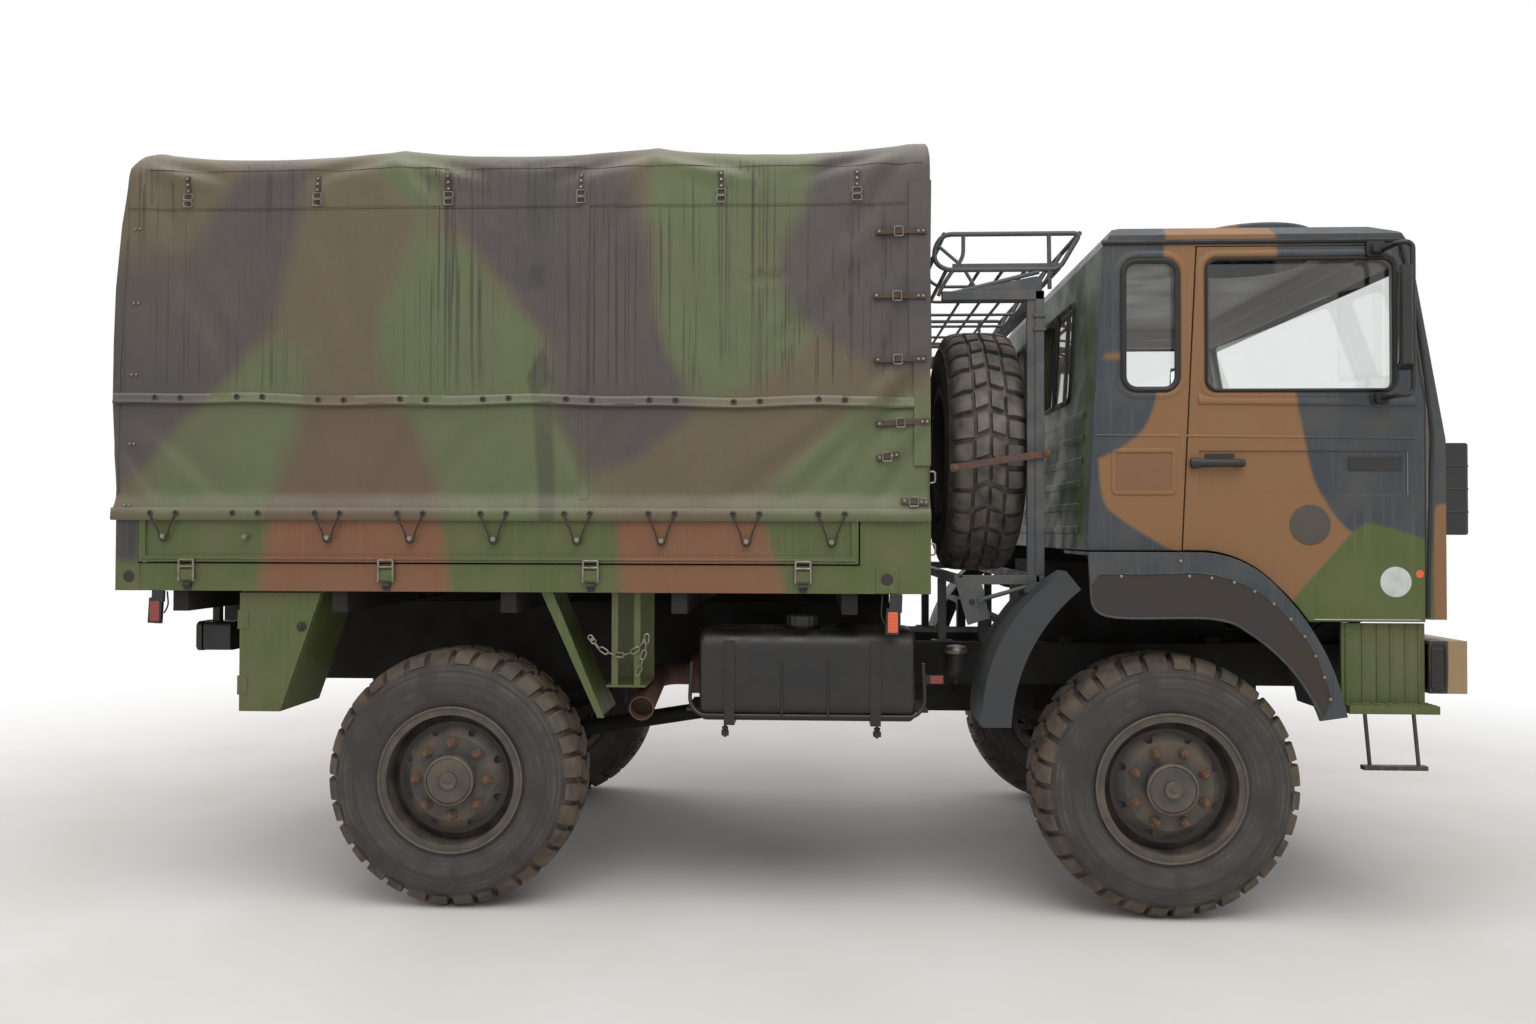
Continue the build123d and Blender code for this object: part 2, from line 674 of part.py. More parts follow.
# Marker lamps hung from the rim, and the tail lamps on hangers from a bearer
marker_length = 50
marker_depth = 22
marker_height = 110
marker_stations = (bed_back + 150, bed_front - 140)
tail_lamp_y = 860
tail_lamp_length = 150
tail_lamp_width = 120
tail_lamp_height = 120
tail_hanger = 30
tail_hanger_drop = 59
tail_lamp_top = bearer_bottom - tail_hanger_drop
tail_lamp_tail = 49     # lamp behind its hanger
tail_hanger_x = rear_x + bearer_stations[0] - tail_hanger / 2
tail_lamp_x = tail_hanger_x - tail_lamp_tail
tail_hanger_y = (tail_lamp_width - tail_hanger) / 2 - tail_lamp_y
with BuildPart() as marker_lamps:
    for x in marker_stations:
        slab(x - marker_length / 2, x + marker_length / 2, -bed_half, marker_depth - bed_half,
             rim_bottom - marker_height, rim_bottom)
    slab(tail_lamp_x, tail_lamp_x + tail_lamp_length, -tail_lamp_y, tail_lamp_width - tail_lamp_y,
         tail_lamp_top - tail_lamp_height, tail_lamp_top)
    slab(tail_hanger_x, tail_hanger_x + tail_hanger, tail_hanger_y, tail_hanger_y + tail_hanger,
         tail_lamp_top, bearer_bottom)
    mirror(about=Plane.XZ)
marker_lamps.part.label = "marker_lamps"
export_step(marker_lamps.part, "parts/marker_lamps.step")

# Front bumper with round pockets for the headlamps
bumper_back_from_axle = 950
bumper_back = front_x + bumper_back_from_axle
bumper_front_from_axle = 1086
bumper_front = front_x + bumper_front_from_axle
bumper_low = 866
bumper_height = 196
bumper_high = bumper_low + bumper_height
bumper_half = 1050
bumper_sheet = 12
bumper_arm_half = 25
bumper_arm_height = 97
headlamp_radius = 80
headlamp_gap = 1
headlamp_y = 760
headlamp_z = (bumper_low + bumper_high) / 2
headlamp_depth = 90
headlamp_foot_half = 15
headlamp_rim = 30      # plain rim ahead of the foot
with BuildPart() as bumper:
    slab(bumper_back, bumper_front, -bumper_half, bumper_half, bumper_low, bumper_high)
    slab(bumper_back, bumper_front - bumper_sheet, bumper_sheet - bumper_half, bumper_half - bumper_sheet,
         bumper_low + bumper_sheet, bumper_high - bumper_sheet, mode=Mode.SUBTRACT)
    for y in (-headlamp_y, headlamp_y):
        with Locations((bumper_front - bumper_sheet / 2, y, headlamp_z)):
            Cylinder(headlamp_radius + headlamp_gap, 2 * bumper_sheet, rotation=(0, 90, 0),
                     mode=Mode.SUBTRACT)
    for y in (-spring_y, spring_y):
        slab(rail_front, bumper_front - bumper_sheet, y - bumper_arm_half, y + bumper_arm_half,
             bumper_low + bumper_sheet, bumper_low + bumper_sheet + bumper_arm_height)
bumper.part.label = "bumper"
export_step(bumper.part, "parts/bumper.step")

with BuildPart() as headlamps:
    for y in (-headlamp_y, headlamp_y):
        with Locations((bumper_front - headlamp_depth / 2, y, headlamp_z)):
            Cylinder(headlamp_radius, headlamp_depth, rotation=(0, 90, 0))
        slab(bumper_front - headlamp_depth, bumper_front - headlamp_rim, y - headlamp_foot_half,
             y + headlamp_foot_half, bumper_low + bumper_sheet, headlamp_z)
headlamps.part.label = "headlamps"
export_step(headlamps.part, "parts/headlamps.step")

# Mudguards behind the front wheels, fixed to the frame. Points are (behind the front axle, height)
guard_sheet = 8
guard_inner = 760
guard_outer = bed_half
guard_top = (400, 1318)
guard_bulge = (640, 1060)
guard_foot = (712, 730)
guard_lip_top = (345, 1250)
guard_lip_bulge = (540, 1000)
guard_lip_foot = (605, 730)
guard_notch = (530, 380)       # cut clear of the spare carrier's bar
guard_notch_low = 1150
guard_bracket = (620, 580)
guard_bracket_top = 1120
guard_bracket_sheet = 20
guard_bracket_foot = 60


def on_guard(point, shift_x=0, shift_z=0):
    """A point of the rear mudguard in the side view."""
    return (front_x - point[0] + shift_x, point[1] + shift_z)


with BuildPart() as mudguards:
    with BuildSketch(Plane.XZ.offset(guard_inner)):
        with BuildLine():
            outer_arc = ThreePointArc(on_guard(guard_top), on_guard(guard_bulge), on_guard(guard_foot))
            inner_arc = ThreePointArc(on_guard(guard_top, 0, -guard_sheet - 2),
                                      on_guard(guard_bulge, guard_sheet, -guard_sheet / 2),
                                      on_guard(guard_foot, guard_sheet))
            Line(outer_arc @ 0, inner_arc @ 0)
            Line(outer_arc @ 1, inner_arc @ 1)
        make_face()
    extrude(amount=guard_outer - guard_inner)
    with BuildSketch(Plane.XZ.offset(guard_outer - guard_sheet)):
        with BuildLine():
            lip_outer = ThreePointArc(on_guard(guard_top), on_guard(guard_bulge), on_guard(guard_foot))
            lip_inner = ThreePointArc(on_guard(guard_lip_top), on_guard(guard_lip_bulge),
                                      on_guard(guard_lip_foot))
            Line(lip_outer @ 0, lip_inner @ 0)
            Line(lip_outer @ 1, lip_inner @ 1)
        make_face()
    extrude(amount=guard_sheet)
    slab(front_x - guard_notch[0], front_x - guard_notch[1], -carrier_half - running_clearance, -guard_inner,
         guard_notch_low, guard_top[1] + guard_sheet, mode=Mode.SUBTRACT)
    slab(front_x - guard_bracket[0], front_x - guard_bracket[1], -guard_inner - guard_bracket_sheet,
         guard_bracket_foot - rail_outer, guard_bracket_top - guard_bracket_sheet, guard_bracket_top)
    slab(front_x - guard_bracket[0], front_x - guard_bracket[1], -rail_outer, guard_bracket_foot - rail_outer,
         rail_top, guard_bracket_top)
    mirror(about=Plane.XZ)
mudguards.part.label = "mudguards"
export_step(mudguards.part, "parts/mudguards.step")

# Steps below the doors, on brackets from the frame
step_back_from_axle = 636
step_back = front_x + step_back_from_axle
step_front_from_axle = 942
step_front = front_x + step_front_from_axle
step_bottom = 795
step_sheet = 30
step_top = step_bottom + step_sheet
step_inner = 990
step_outer = 1095
step_overhang = 20
step_skirt = 15
step_skirt_y = 1015
step_skirt_top = 1125
low_step_drop = 191    # lower step below the upper one
low_step_sheet = 16
low_step_width = 30
low_step_back = 50
low_step_front = 24
hanger_radius = 7
hanger_inset = 60
hanger_y = 1080
hanger_lean = 18
step_bracket_x = 120
step_bracket = 40
with BuildPart() as cab_steps:
    slab(step_back, step_front, -step_skirt_y - step_skirt, -step_skirt_y, step_top, step_skirt_top)
    slab(step_back, step_front + step_overhang, -step_outer, -step_inner, step_bottom, step_top)
    low_step_top = step_bottom - low_step_drop
    for x in (step_back + hanger_inset, step_front - hanger_inset - hanger_lean / 2):
        bar((x, -hanger_y, step_bottom + hanger_radius), (x + hanger_lean, -hanger_y, low_step_top - 5),
            hanger_radius)
    slab(step_back + low_step_back, step_front - low_step_front, -hanger_y - low_step_width / 2,
         low_step_width / 2 - hanger_y, low_step_top - low_step_sheet, low_step_top)
    slab(step_back + step_bracket_x, step_back + step_bracket_x + step_bracket, -step_skirt_y, -rail_outer,
         rail_bottom + step_bracket / 2, rail_bottom + 1.5 * step_bracket)
    mirror(about=Plane.XZ)
cab_steps.part.label = "cab_steps"
export_step(cab_steps.part, "parts/cab_steps.step")

# Carrier for the spare wheel, with its clamp bar and the net basket on braces above
cradle_z = spare_z - spare_radius - 1
cradle_half = 130
cradle_back_x = spare_x - cradle_half
half_bar = carrier_bar / 2
post_y = carrier_half - half_bar
upright = basket_tube - 2
roof_bar_back = 30     # top bars start ahead of the basket's back by this
upright_back = 60
basket_bars = (180, 360)
clamp_radius = 12
clamp_y = carrier_half + clamp_radius - 2
clamp_back_from_axle = 1936
clamp_back_height = 1714
clamp_front_from_axle = 2324
clamp_front_height = 1773
clamp_back = (rear_x + clamp_back_from_axle, clamp_back_height)
clamp_front = (rear_x + clamp_front_from_axle, clamp_front_height)
brace_radius = 9
with BuildPart() as spare_carrier:
    for x in (cradle_back_x, carrier_post_x):
        slab(x - half_bar, x + half_bar, -carrier_half, carrier_half, cradle_z - carrier_bar, cradle_z)
        for y in (-spring_y, spring_y):
            slab(x - half_bar, x + half_bar, y - half_bar, y + half_bar, rail_top, cradle_z - carrier_bar)
    for y in (-post_y, post_y):
        slab(carrier_post_x - half_bar, carrier_post_x + half_bar, y - half_bar, y + half_bar,
             cradle_z, carrier_top)
        slab(cradle_back_x, carrier_post_x, y - half_bar, y + half_bar, cradle_z - carrier_bar, cradle_z)
        slab(basket_back + roof_bar_back, carrier_post_x, y - half_bar, y + half_bar,
             carrier_top - carrier_bar, carrier_top)
        for x in (basket_back + upright_back, carrier_post_x):
            slab(x - upright, x + upright, y - upright, y + upright, carrier_top - upright, basket_top)
        bar((basket_back + upright_back, y, carrier_top - brace_radius),
            (carrier_post_x, y, basket_bottom - basket_tube), brace_radius)
    slab(carrier_post_x - half_bar, carrier_post_x + half_bar, -carrier_half, carrier_half,
         carrier_top - carrier_bar, carrier_top)
    bar((clamp_back[0], -clamp_y, clamp_back[1]), (clamp_front[0], -clamp_y, clamp_front[1]), clamp_radius)
    for z in (basket_bottom, basket_top):
        for y in (-post_y, post_y):
            slab(basket_back, basket_front, y - basket_tube, y + basket_tube,
                 z - basket_tube, z + basket_tube)
        for x in (basket_back, basket_front):
            slab(x - basket_tube, x + basket_tube, -post_y, post_y, z - basket_tube, z + basket_tube)
    for station in basket_bars:
        slab(basket_back + station - basket_tube, basket_back + station + basket_tube, -post_y, post_y,
             basket_bottom - basket_tube, basket_bottom)
    for x in (basket_back, basket_front):
        for y in (-post_y / 3, post_y / 3):
            slab(x - upright, x + upright, y - upright, y + upright, basket_bottom, basket_top)
spare_carrier.part.label = "spare_carrier"
export_step(spare_carrier.part, "parts/spare_carrier.step")

# Road wheels and the spare: a rim turned about the wheel's own axis, and a tyre with one flat to each lug
wheels = (
    # name, centre, axle direction outwards, tyre radius
    ("front_right", (front_x, -wheel_y, axle_z), (0, -1, 0), tyre_radius),
    ("front_left", (front_x, wheel_y, axle_z), (0, 1, 0), tyre_radius),
    ("rear_right", (rear_x, -wheel_y, axle_z), (0, -1, 0), tyre_radius),
    ("rear_left", (rear_x, wheel_y, axle_z), (0, 1, 0), tyre_radius),
    ("spare", (spare_x, spare_y, spare_z), (1, 0, 0), spare_radius),
)
half_rim = rim_width / 2
half_tread = tread_width / 2
half_drum = drum_depth / 2
bulge_drop = 10        # widest place below the middle of the tyre's wall
rim_inside = bead_radius - rim_wall
disc_edge = half_rim - disc_dish
disc_rise = 30         # disc's dip between its edge and the rim's wall
bolt_face = half_rim - bolt_face_dish
bolt_face_sheet = 22
hub_end = bolt_face - hub_recess
hub_plug = 10          # thickness of the disc's middle behind the hub's end
cap_face = bolt_face + hub_cap_depth
for name, centre, outward, radius in wheels:
    spindle = Axis(centre, outward)
    profile = Plane(origin=centre, x_dir=(0, 0, 1), z_dir=Vector(0, 0, 1).cross(Vector(*outward)))
    with BuildPart() as rim:
        with BuildSketch(profile) as rim_section:
            with BuildLine():
                Polyline((rim_inside, half_rim), (rim_lip_radius, half_rim),
                         (rim_lip_radius, half_rim - rim_lip), (bead_radius, half_rim - rim_lip),
                         (bead_radius, rim_lip - half_rim), (rim_lip_radius, rim_lip - half_rim),
                         (rim_lip_radius, -half_rim), (rim_inside, -half_rim), close=True)
            make_face()
            with BuildLine():
                Polyline((rim_inside + 1, disc_edge - disc_rise), (disc_radius, disc_edge),
                         (bolt_face_radius, bolt_face), (hub_cap_radius, bolt_face),
                         (hub_cap_radius, cap_face - hub_cap_chamfer),
                         (hub_cap_radius - hub_cap_chamfer, cap_face), (0, cap_face),
                         (0, hub_end - hub_plug), (bolt_face_radius, bolt_face - bolt_face_sheet),
                         (disc_radius, disc_edge - disc_sheet),
                         (rim_inside + 1, disc_edge - disc_rise - disc_sheet), close=True)
            make_face()
            if name != "spare":
                with BuildLine():
                    Polyline((drum_radius, disc_edge + 5), (drum_radius + drum_wall, disc_edge - 5),
                             (drum_radius + drum_wall, -half_drum), (drum_radius, -half_drum), close=True)
                make_face()
                with BuildLine():
                    Polyline((spindle_radius + pin_clearance, hub_end), (hub_radius, hub_end),
                             (hub_radius, -half_drum / 2),
                             (spindle_radius + pin_clearance, -half_drum / 2), close=True)
                make_face()
        revolve(rim_section.sketch, axis=spindle)
        hole_plane = Plane(origin=centre, x_dir=(0, 0, 1), z_dir=outward)
        with BuildSketch(hole_plane.offset(disc_edge - 3 * disc_sheet)) as hand_hole_ring:
            with PolarLocations(hand_hole_circle, hand_holes, start_angle=180 / hand_holes):
                Circle(hand_hole_radius)
        extrude(hand_hole_ring.sketch, amount=6 * disc_sheet, mode=Mode.SUBTRACT)
    rim.part.label = f"rim_{name}"
    export_step(rim.part, f"parts/rim_{name}.step")

    hub = Plane(origin=centre, x_dir=(0, 0, 1), z_dir=outward)
    bead = half_rim - rim_lip - bead_gap
    shoulder = (half_tread, radius - shoulder_drop)
    widest = (tyre_width / 2, (rim_lip_radius + radius) / 2 - bulge_drop)
    half_section = ((half_tread - tread_edge, radius), shoulder, widest, (bead, rim_lip_radius + 1))
    stations = [(-across, flat) for across, flat in reversed(half_section)] + list(half_section)
    with BuildPart() as tyre:
        for across, flat in stations:
            with BuildSketch(hub.offset(across)):
                RegularPolygon(flat, tyre_lugs, major_radius=False, rotation=180 / tyre_lugs)
        loft(ruled=True)
        with BuildSketch(hub.offset(-tyre_width)) as bore:
            RegularPolygon(bead_radius + bead_gap, tyre_lugs // 2, major_radius=False,
                           rotation=360 / tyre_lugs)
        extrude(bore.sketch, amount=2 * tyre_width, mode=Mode.SUBTRACT)
        with Locations(hub):
            with PolarLocations(radius, tyre_lugs, start_angle=180 / tyre_lugs):
                Box(2 * lug_depth, lug_slot, 2 * tyre_width, mode=Mode.SUBTRACT)
    tyre.part.label = f"tyre_{name}"
    export_step(tyre.part, f"parts/tyre_{name}.step")

# Knuckles: boss on the kingpin, spindle for the wheel and arm to the tie rod
arm_top = axle_z - arm_drop
for side_name, side in (("right", -1), ("left", 1)):
    y = side * kingpin_y
    with BuildPart() as knuckle:
        with Locations((front_x, y, axle_z)):
            Cylinder(boss_radius, 2 * boss_half)
            Cylinder(kingpin_radius, 2 * fork_half)
        cross_shaft(front_x, y, side * brake_plate_y, axle_z, sleeve_radius)
        cross_shaft(front_x, side * brake_plate_y, side * (brake_plate_y + brake_plate), axle_z,
                    drum_radius - drum_clear)
        cross_shaft(front_x, y, side * spindle_end, axle_z, spindle_radius)
        slab(front_x - arm_length, front_x, y - arm_half, y + arm_half, arm_top - arm_thick, arm_top)
        with Locations((front_x - arm_length, y, arm_top - arm_thick / 2)):
            Cylinder(eye_radius, arm_thick)
            Cylinder(ball_pin_radius + pin_clearance, arm_thick, mode=Mode.SUBTRACT)
    knuckle.part.label = f"knuckle_{side_name}"
    export_step(knuckle.part, f"parts/knuckle_{side_name}.step")

# Tie rod between the knuckle arms
tie_z = arm_top - arm_thick - tie_rod_radius - tie_rod_drop
with BuildPart() as tie_rod:
    cross_shaft(front_x - arm_length, -kingpin_y, kingpin_y, tie_z, tie_rod_radius)
    for y in (-kingpin_y, kingpin_y):
        with Locations((front_x - arm_length, y, tie_z)):
            Cylinder(eye_radius - 2, 2 * tie_rod_radius + 6)
            Cylinder(ball_pin_radius, tie_rod_radius + tie_rod_drop + arm_thick,
                     align=(Align.CENTER, Align.CENTER, Align.MIN))
tie_rod.part.label = "tie_rod"
export_step(tie_rod.part, "parts/tie_rod.step")

# Cab floor: footwell in front, raised floor over the wheels, tunnel over the engine, and pivot lugs
cab_inner = cab_half - cab_skin
floor_half = cab_inner - door_gap
floor_back = front_x + cab_back_low + cab_skin + panel_clear
floor_front = front_x + front_wall_x - panel_clear
footwell_x = front_x + footwell_back
cab_lug = 36
cab_lug_clear = 10
cab_lug_wall = 8
cab_lug_back = 80
cab_lug_front = 20
with BuildPart() as cab_floor:
    side_plate(((floor_back, cab_seat_floor - sheet), (floor_back, cab_seat_floor),
                (footwell_x + sheet, cab_seat_floor), (footwell_x + sheet, cab_sill + sheet),
                (floor_front, cab_sill + sheet), (floor_front, cab_sill), (footwell_x, cab_sill),
                (footwell_x, cab_seat_floor - sheet)), 0, floor_half)
    mirror(about=Plane.XZ)
    slab(footwell_x, front_x + tunnel_front, -tunnel_half, tunnel_half, cab_sill, cab_seat_floor)
    slab(floor_back, front_x + tunnel_front - sheet, sheet - tunnel_half, tunnel_half - sheet,
         cab_sill - 1, cab_seat_floor - sheet, mode=Mode.SUBTRACT)
    for y in (-pivot_y - cab_lug_clear - cab_lug, pivot_y + cab_lug_clear):
        slab(front_x + pivot_x - cab_lug_back, front_x + pivot_x + cab_lug_front, y, y + cab_lug,
             pivot_z - cab_lug_front, cab_sill)
        cross_shaft(front_x + pivot_x, y, y + cab_lug, pivot_z, pivot_pin + cab_lug_wall)
        cross_shaft(front_x + pivot_x, y, y + cab_lug, pivot_z, pivot_pin + pin_clearance, mode=Mode.SUBTRACT)
cab_floor.part.label = "cab_floor"
export_step(cab_floor.part, "parts/cab_floor.step")

# Rear wall of the cab, with two windows and pressed ribs below them
rear_window_low = waist_z + 198
rear_window_high = cab_eaves - 128
rear_windows = (
    # right edge, left edge
    (-640, -60),
    (60, 640),
)
rib_half = 900
rib_height = 34
rib_proud = 6
rib_pitch = 90
rib_low = cab_body_low + 60
ribs = 6
with BuildPart() as cab_rear_wall:
    side_plate(((front_x + cab_back_low, cab_body_low), (front_x + cab_back_low + cab_skin, cab_body_low),
                (front_x + cab_back_high + cab_skin, cab_eaves), (front_x + cab_back_high, cab_eaves)),
               -cab_inner, cab_inner)
    for y0, y1 in rear_windows:
        slab(front_x + cab_back_low - cab_skin, front_x + cab_back_high + 2 * cab_skin, y0, y1,
             rear_window_low, rear_window_high, mode=Mode.SUBTRACT)
    for i in range(ribs):
        z0 = rib_low + i * rib_pitch
        z1 = z0 + rib_height
        x0 = cab_line(cab_back_low, cab_back_high, z0)
        x1 = cab_line(cab_back_low, cab_back_high, z1)
        side_plate(((x0, z0), (x1, z1), (x1 - rib_proud, z1 - rib_proud), (x0 - rib_proud, z0 + rib_proud)),
                   -rib_half, rib_half)
cab_rear_wall.part.label = "cab_rear_wall"
export_step(cab_rear_wall.part, "parts/cab_rear_wall.step")

# Side panels behind the doors, with the quarter windows
window_low = waist_z + window_sill
window_high = cab_eaves - window_head
quarter_back = -188
quarter_front = 33
quarter_corner = 60
quarter_x = front_x + (quarter_back + quarter_front) / 2
window_z = (window_low + window_high) / 2
with BuildPart() as cab_side_panels:
    side_plate(((front_x + cab_back_low, cab_body_low), (front_x + door_back_low - door_gap, cab_body_low),
                (front_x + door_back_high - door_gap, cab_eaves), (front_x + cab_back_high, cab_eaves)),
               cab_inner, cab_half)
    with BuildSketch(Plane.XZ.offset(cab_inner)) as quarter_window:
        with Locations((quarter_x, window_z)):
            RectangleRounded(quarter_front - quarter_back, window_high - window_low, quarter_corner)
    extrude(quarter_window.sketch, amount=cab_skin, mode=Mode.SUBTRACT)
    mirror(about=Plane.XZ)
cab_side_panels.part.label = "cab_side_panels"
export_step(cab_side_panels.part, "parts/cab_side_panels.step")

# Front wall with the windscreen opening
screen_low = waist_z + 68
screen_high = cab_eaves - 58
screen_half = 985
front_slope = (cab_nose - header_x) / (cab_eaves - waist_z)
with BuildPart() as cab_front_wall:
    side_plate(((front_x + front_wall_x, cab_sill), (front_x + cab_nose, cab_sill),
                (front_x + cab_nose, waist_z),
                (front_x + header_x, cab_eaves), (front_x + door_head_x, cab_eaves),
                (front_x + front_wall_x, waist_z + pillar_rise)), -cab_half, cab_half)
    slab(front_x + door_head_x - cab_skin, front_x + cab_nose + cab_skin, -screen_half, screen_half,
         screen_low, screen_high, mode=Mode.SUBTRACT)
cab_front_wall.part.label = "cab_front_wall"
export_step(cab_front_wall.part, "parts/cab_front_wall.step")

# Roof pan with the hatch ring over the right-hand seat
roof_edge = 60
roof_flat_edge = 260
roof_fall = 20
roof_back_round = (45, 28)     # ahead of the roof's back, below its top
roof_back_flat = 150
roof_front_flat = 180
roof_front_round = (34, 50)
header_inset = 40
hatch_from_axle = 480
hatch_x = front_x + hatch_from_axle
hatch_y = -520
hatch_hole = 240
hatch_ring = 20
hatch_ring_rise = 30
hatch_ring_top = cab_top + hatch_ring_rise
hinge_reach = 35
hinge_ear = 20
hinge_half = 60
roof_back_x = front_x + cab_back_high
roof_front_x = front_x + header_x
ceiling = cab_top - cab_skin
with BuildPart() as cab_roof:
    with BuildSketch(Plane.YZ.offset(roof_back_x)):
        with BuildLine():
            Polyline((-cab_half, cab_eaves), (-cab_half, cab_top - roof_edge),
                     (roof_edge - cab_half, cab_top - roof_fall), (roof_flat_edge - cab_half, cab_top),
                     (cab_half - roof_flat_edge, cab_top), (cab_half - roof_edge, cab_top - roof_fall),
                     (cab_half, cab_top - roof_edge), (cab_half, cab_eaves), close=True)
        make_face()
    extrude(amount=roof_front_x - roof_back_x)
    side_plate(((roof_back_x, cab_eaves), (roof_back_x + roof_back_round[0], cab_top - roof_back_round[1]),
                (roof_back_x + roof_back_flat, cab_top), (roof_front_x - roof_front_flat, cab_top),
                (roof_front_x - roof_front_round[0], cab_top - roof_front_round[1]),
                (roof_front_x, cab_eaves)), -cab_half, cab_half, mode=Mode.INTERSECT)
    slab(roof_back_x + cab_skin, front_x + door_head_x - header_inset, -cab_inner, cab_inner,
         cab_eaves, ceiling, mode=Mode.SUBTRACT)
    with Locations((hatch_x, hatch_y, ceiling)):
        Cylinder(hatch_hole + hatch_ring, hatch_ring_top - ceiling,
                 align=(Align.CENTER, Align.CENTER, Align.MIN))
        Cylinder(hatch_hole, hatch_ring_top - ceiling, align=(Align.CENTER, Align.CENTER, Align.MIN),
                 mode=Mode.SUBTRACT)
    for y in (hatch_y - hinge_half - hinge_ear / 2, hatch_y + hinge_half - hinge_ear / 2):
        slab(hatch_x - hatch_hole - hatch_ring - hinge_reach, hatch_x - hatch_hole - hatch_ring / 4,
             y, y + hinge_ear, cab_top - 5, hatch_ring_top)
cab_roof.part.label = "cab_roof"
export_step(cab_roof.part, "parts/cab_roof.step")

# Round hatch lid, hinged at the back
hatch_gap = 5
hatch_lid = 28
hatch_overlap = 8
hatch_round = 12
with BuildPart() as roof_hatch:
    with Locations((hatch_x, hatch_y, hatch_ring_top + hatch_gap)):
        Cylinder(hatch_hole + hatch_ring + hatch_overlap, hatch_lid,
                 align=(Align.CENTER, Align.CENTER, Align.MIN))
    fillet(roof_hatch.edges().group_by(Axis.Z)[-1], radius=hatch_round)
roof_hatch.part.label = "roof_hatch"
export_step(roof_hatch.part, "parts/roof_hatch.step")

# Fixed glass: windscreen, rear windows and quarter windows
screen_inset = 24
pane_inset = 20
with BuildPart() as cab_glass:
    low_x = front_x + cab_nose - front_slope * (screen_low - waist_z) - screen_inset
    high_x = front_x + cab_nose - front_slope * (screen_high - waist_z) - screen_inset
    side_plate(((low_x, screen_low), (low_x + glass, screen_low), (high_x + glass, screen_high),
                (high_x, screen_high)), -screen_half, screen_half)
    low_x = cab_line(cab_back_low, cab_back_high, rear_window_low) + pane_inset
    high_x = cab_line(cab_back_low, cab_back_high, rear_window_high) + pane_inset
    for y0, y1 in rear_windows:
        side_plate(((low_x, rear_window_low), (low_x + glass, rear_window_low),
                    (high_x + glass, rear_window_high), (high_x, rear_window_high)), -y1, -y0)
    for y in (-cab_half + pane_inset, cab_half - pane_inset - glass):
        with BuildSketch(Plane.XZ.offset(-y - glass)) as quarter_pane:
            with Locations((quarter_x, window_z)):
                RectangleRounded(quarter_front - quarter_back, window_high - window_low, quarter_corner)
        extrude(quarter_pane.sketch, amount=glass)
cab_glass.part.label = "cab_glass"
export_step(cab_glass.part, "parts/cab_glass.step")

# Grille block on the nose, with level louvres
grille_low = 1458
grille_height = 344
grille_high = grille_low + grille_height
grille_half = 1050
grille_round = 20
louvre_half = 620
louvre_height = 30
louvre_depth = 60
louvres = 5
with BuildPart() as grille:
    slab(front_x + cab_nose, front_x + nose_reach, -grille_half, grille_half, grille_low, grille_high)
    fillet(grille.faces().sort_by(Axis.X)[-1].edges(), radius=grille_round)
    for i in range(louvres):
        z = grille_low + (i + 1) * grille_height / (louvres + 1)
        slab(front_x + nose_reach - louvre_depth, front_x + nose_reach, -louvre_half, louvre_half,
             z - louvre_height / 2, z + louvre_height / 2, mode=Mode.SUBTRACT)
grille.part.label = "grille"
export_step(grille.part, "parts/grille.step")

# Arches over the front wheels: a curved sheet and its skirt. The skirt's lower points are like the arch's
skirt_front = (527, 622)
skirt_shin = (412, 420)
skirt_knee = (281, 306)
skirt_shoulder = (215, 268)
skirt_bend = (139, 247)
skirt_back = (-255, 238)
skirt_heel = (-314, 130)
with BuildPart() as front_arches:
    back = on_arch((arch_back, 0))
    bend = on_arch((arch_bend, 0))
    with BuildSketch(Plane.XZ.offset(arch_inner)):
        with BuildLine():
            Line(back, bend)
            ThreePointArc(bend, on_arch(arch_shoulder), on_arch(arch_knee))
            ThreePointArc(on_arch(arch_knee), on_arch(arch_shin), on_arch(arch_tip))
            tip = on_arch(arch_tip, -arch_sheet)
            knee = on_arch(arch_knee, -0.7 * arch_sheet, -0.8 * arch_sheet)
            inner_bend = on_arch((arch_bend, 0), -0.3 * arch_sheet, -arch_sheet)
            Line(on_arch(arch_tip), tip)
            ThreePointArc(tip, on_arch(arch_shin, -0.9 * arch_sheet, -0.4 * arch_sheet), knee)
            ThreePointArc(knee, on_arch(arch_shoulder, -0.5 * arch_sheet, -0.9 * arch_sheet), inner_bend)
            Line(inner_bend, on_arch((arch_back, 0), 0, -arch_sheet))
            Line(on_arch((arch_back, 0), 0, -arch_sheet), back)
        make_face()
    extrude(amount=arch_side - arch_inner)
    with BuildSketch(Plane.XZ.offset(arch_side - arch_sheet)):
        with BuildLine():
            Line(back, bend)
            ThreePointArc(bend, on_arch(arch_shoulder), on_arch(arch_knee))
            ThreePointArc(on_arch(arch_knee), on_arch(arch_shin), on_arch(arch_tip))
            Line(on_arch(arch_tip), on_arch(skirt_front))
            ThreePointArc(on_arch(skirt_front), on_arch(skirt_shin), on_arch(skirt_knee))
            ThreePointArc(on_arch(skirt_knee), on_arch(skirt_shoulder), on_arch(skirt_bend))
            Polyline(on_arch(skirt_bend), on_arch(skirt_back), on_arch(skirt_heel), back)
        make_face()
    extrude(amount=arch_sheet)
    mirror(about=Plane.XZ)
front_arches.part.label = "front_arches"
export_step(front_arches.part, "parts/front_arches.step")

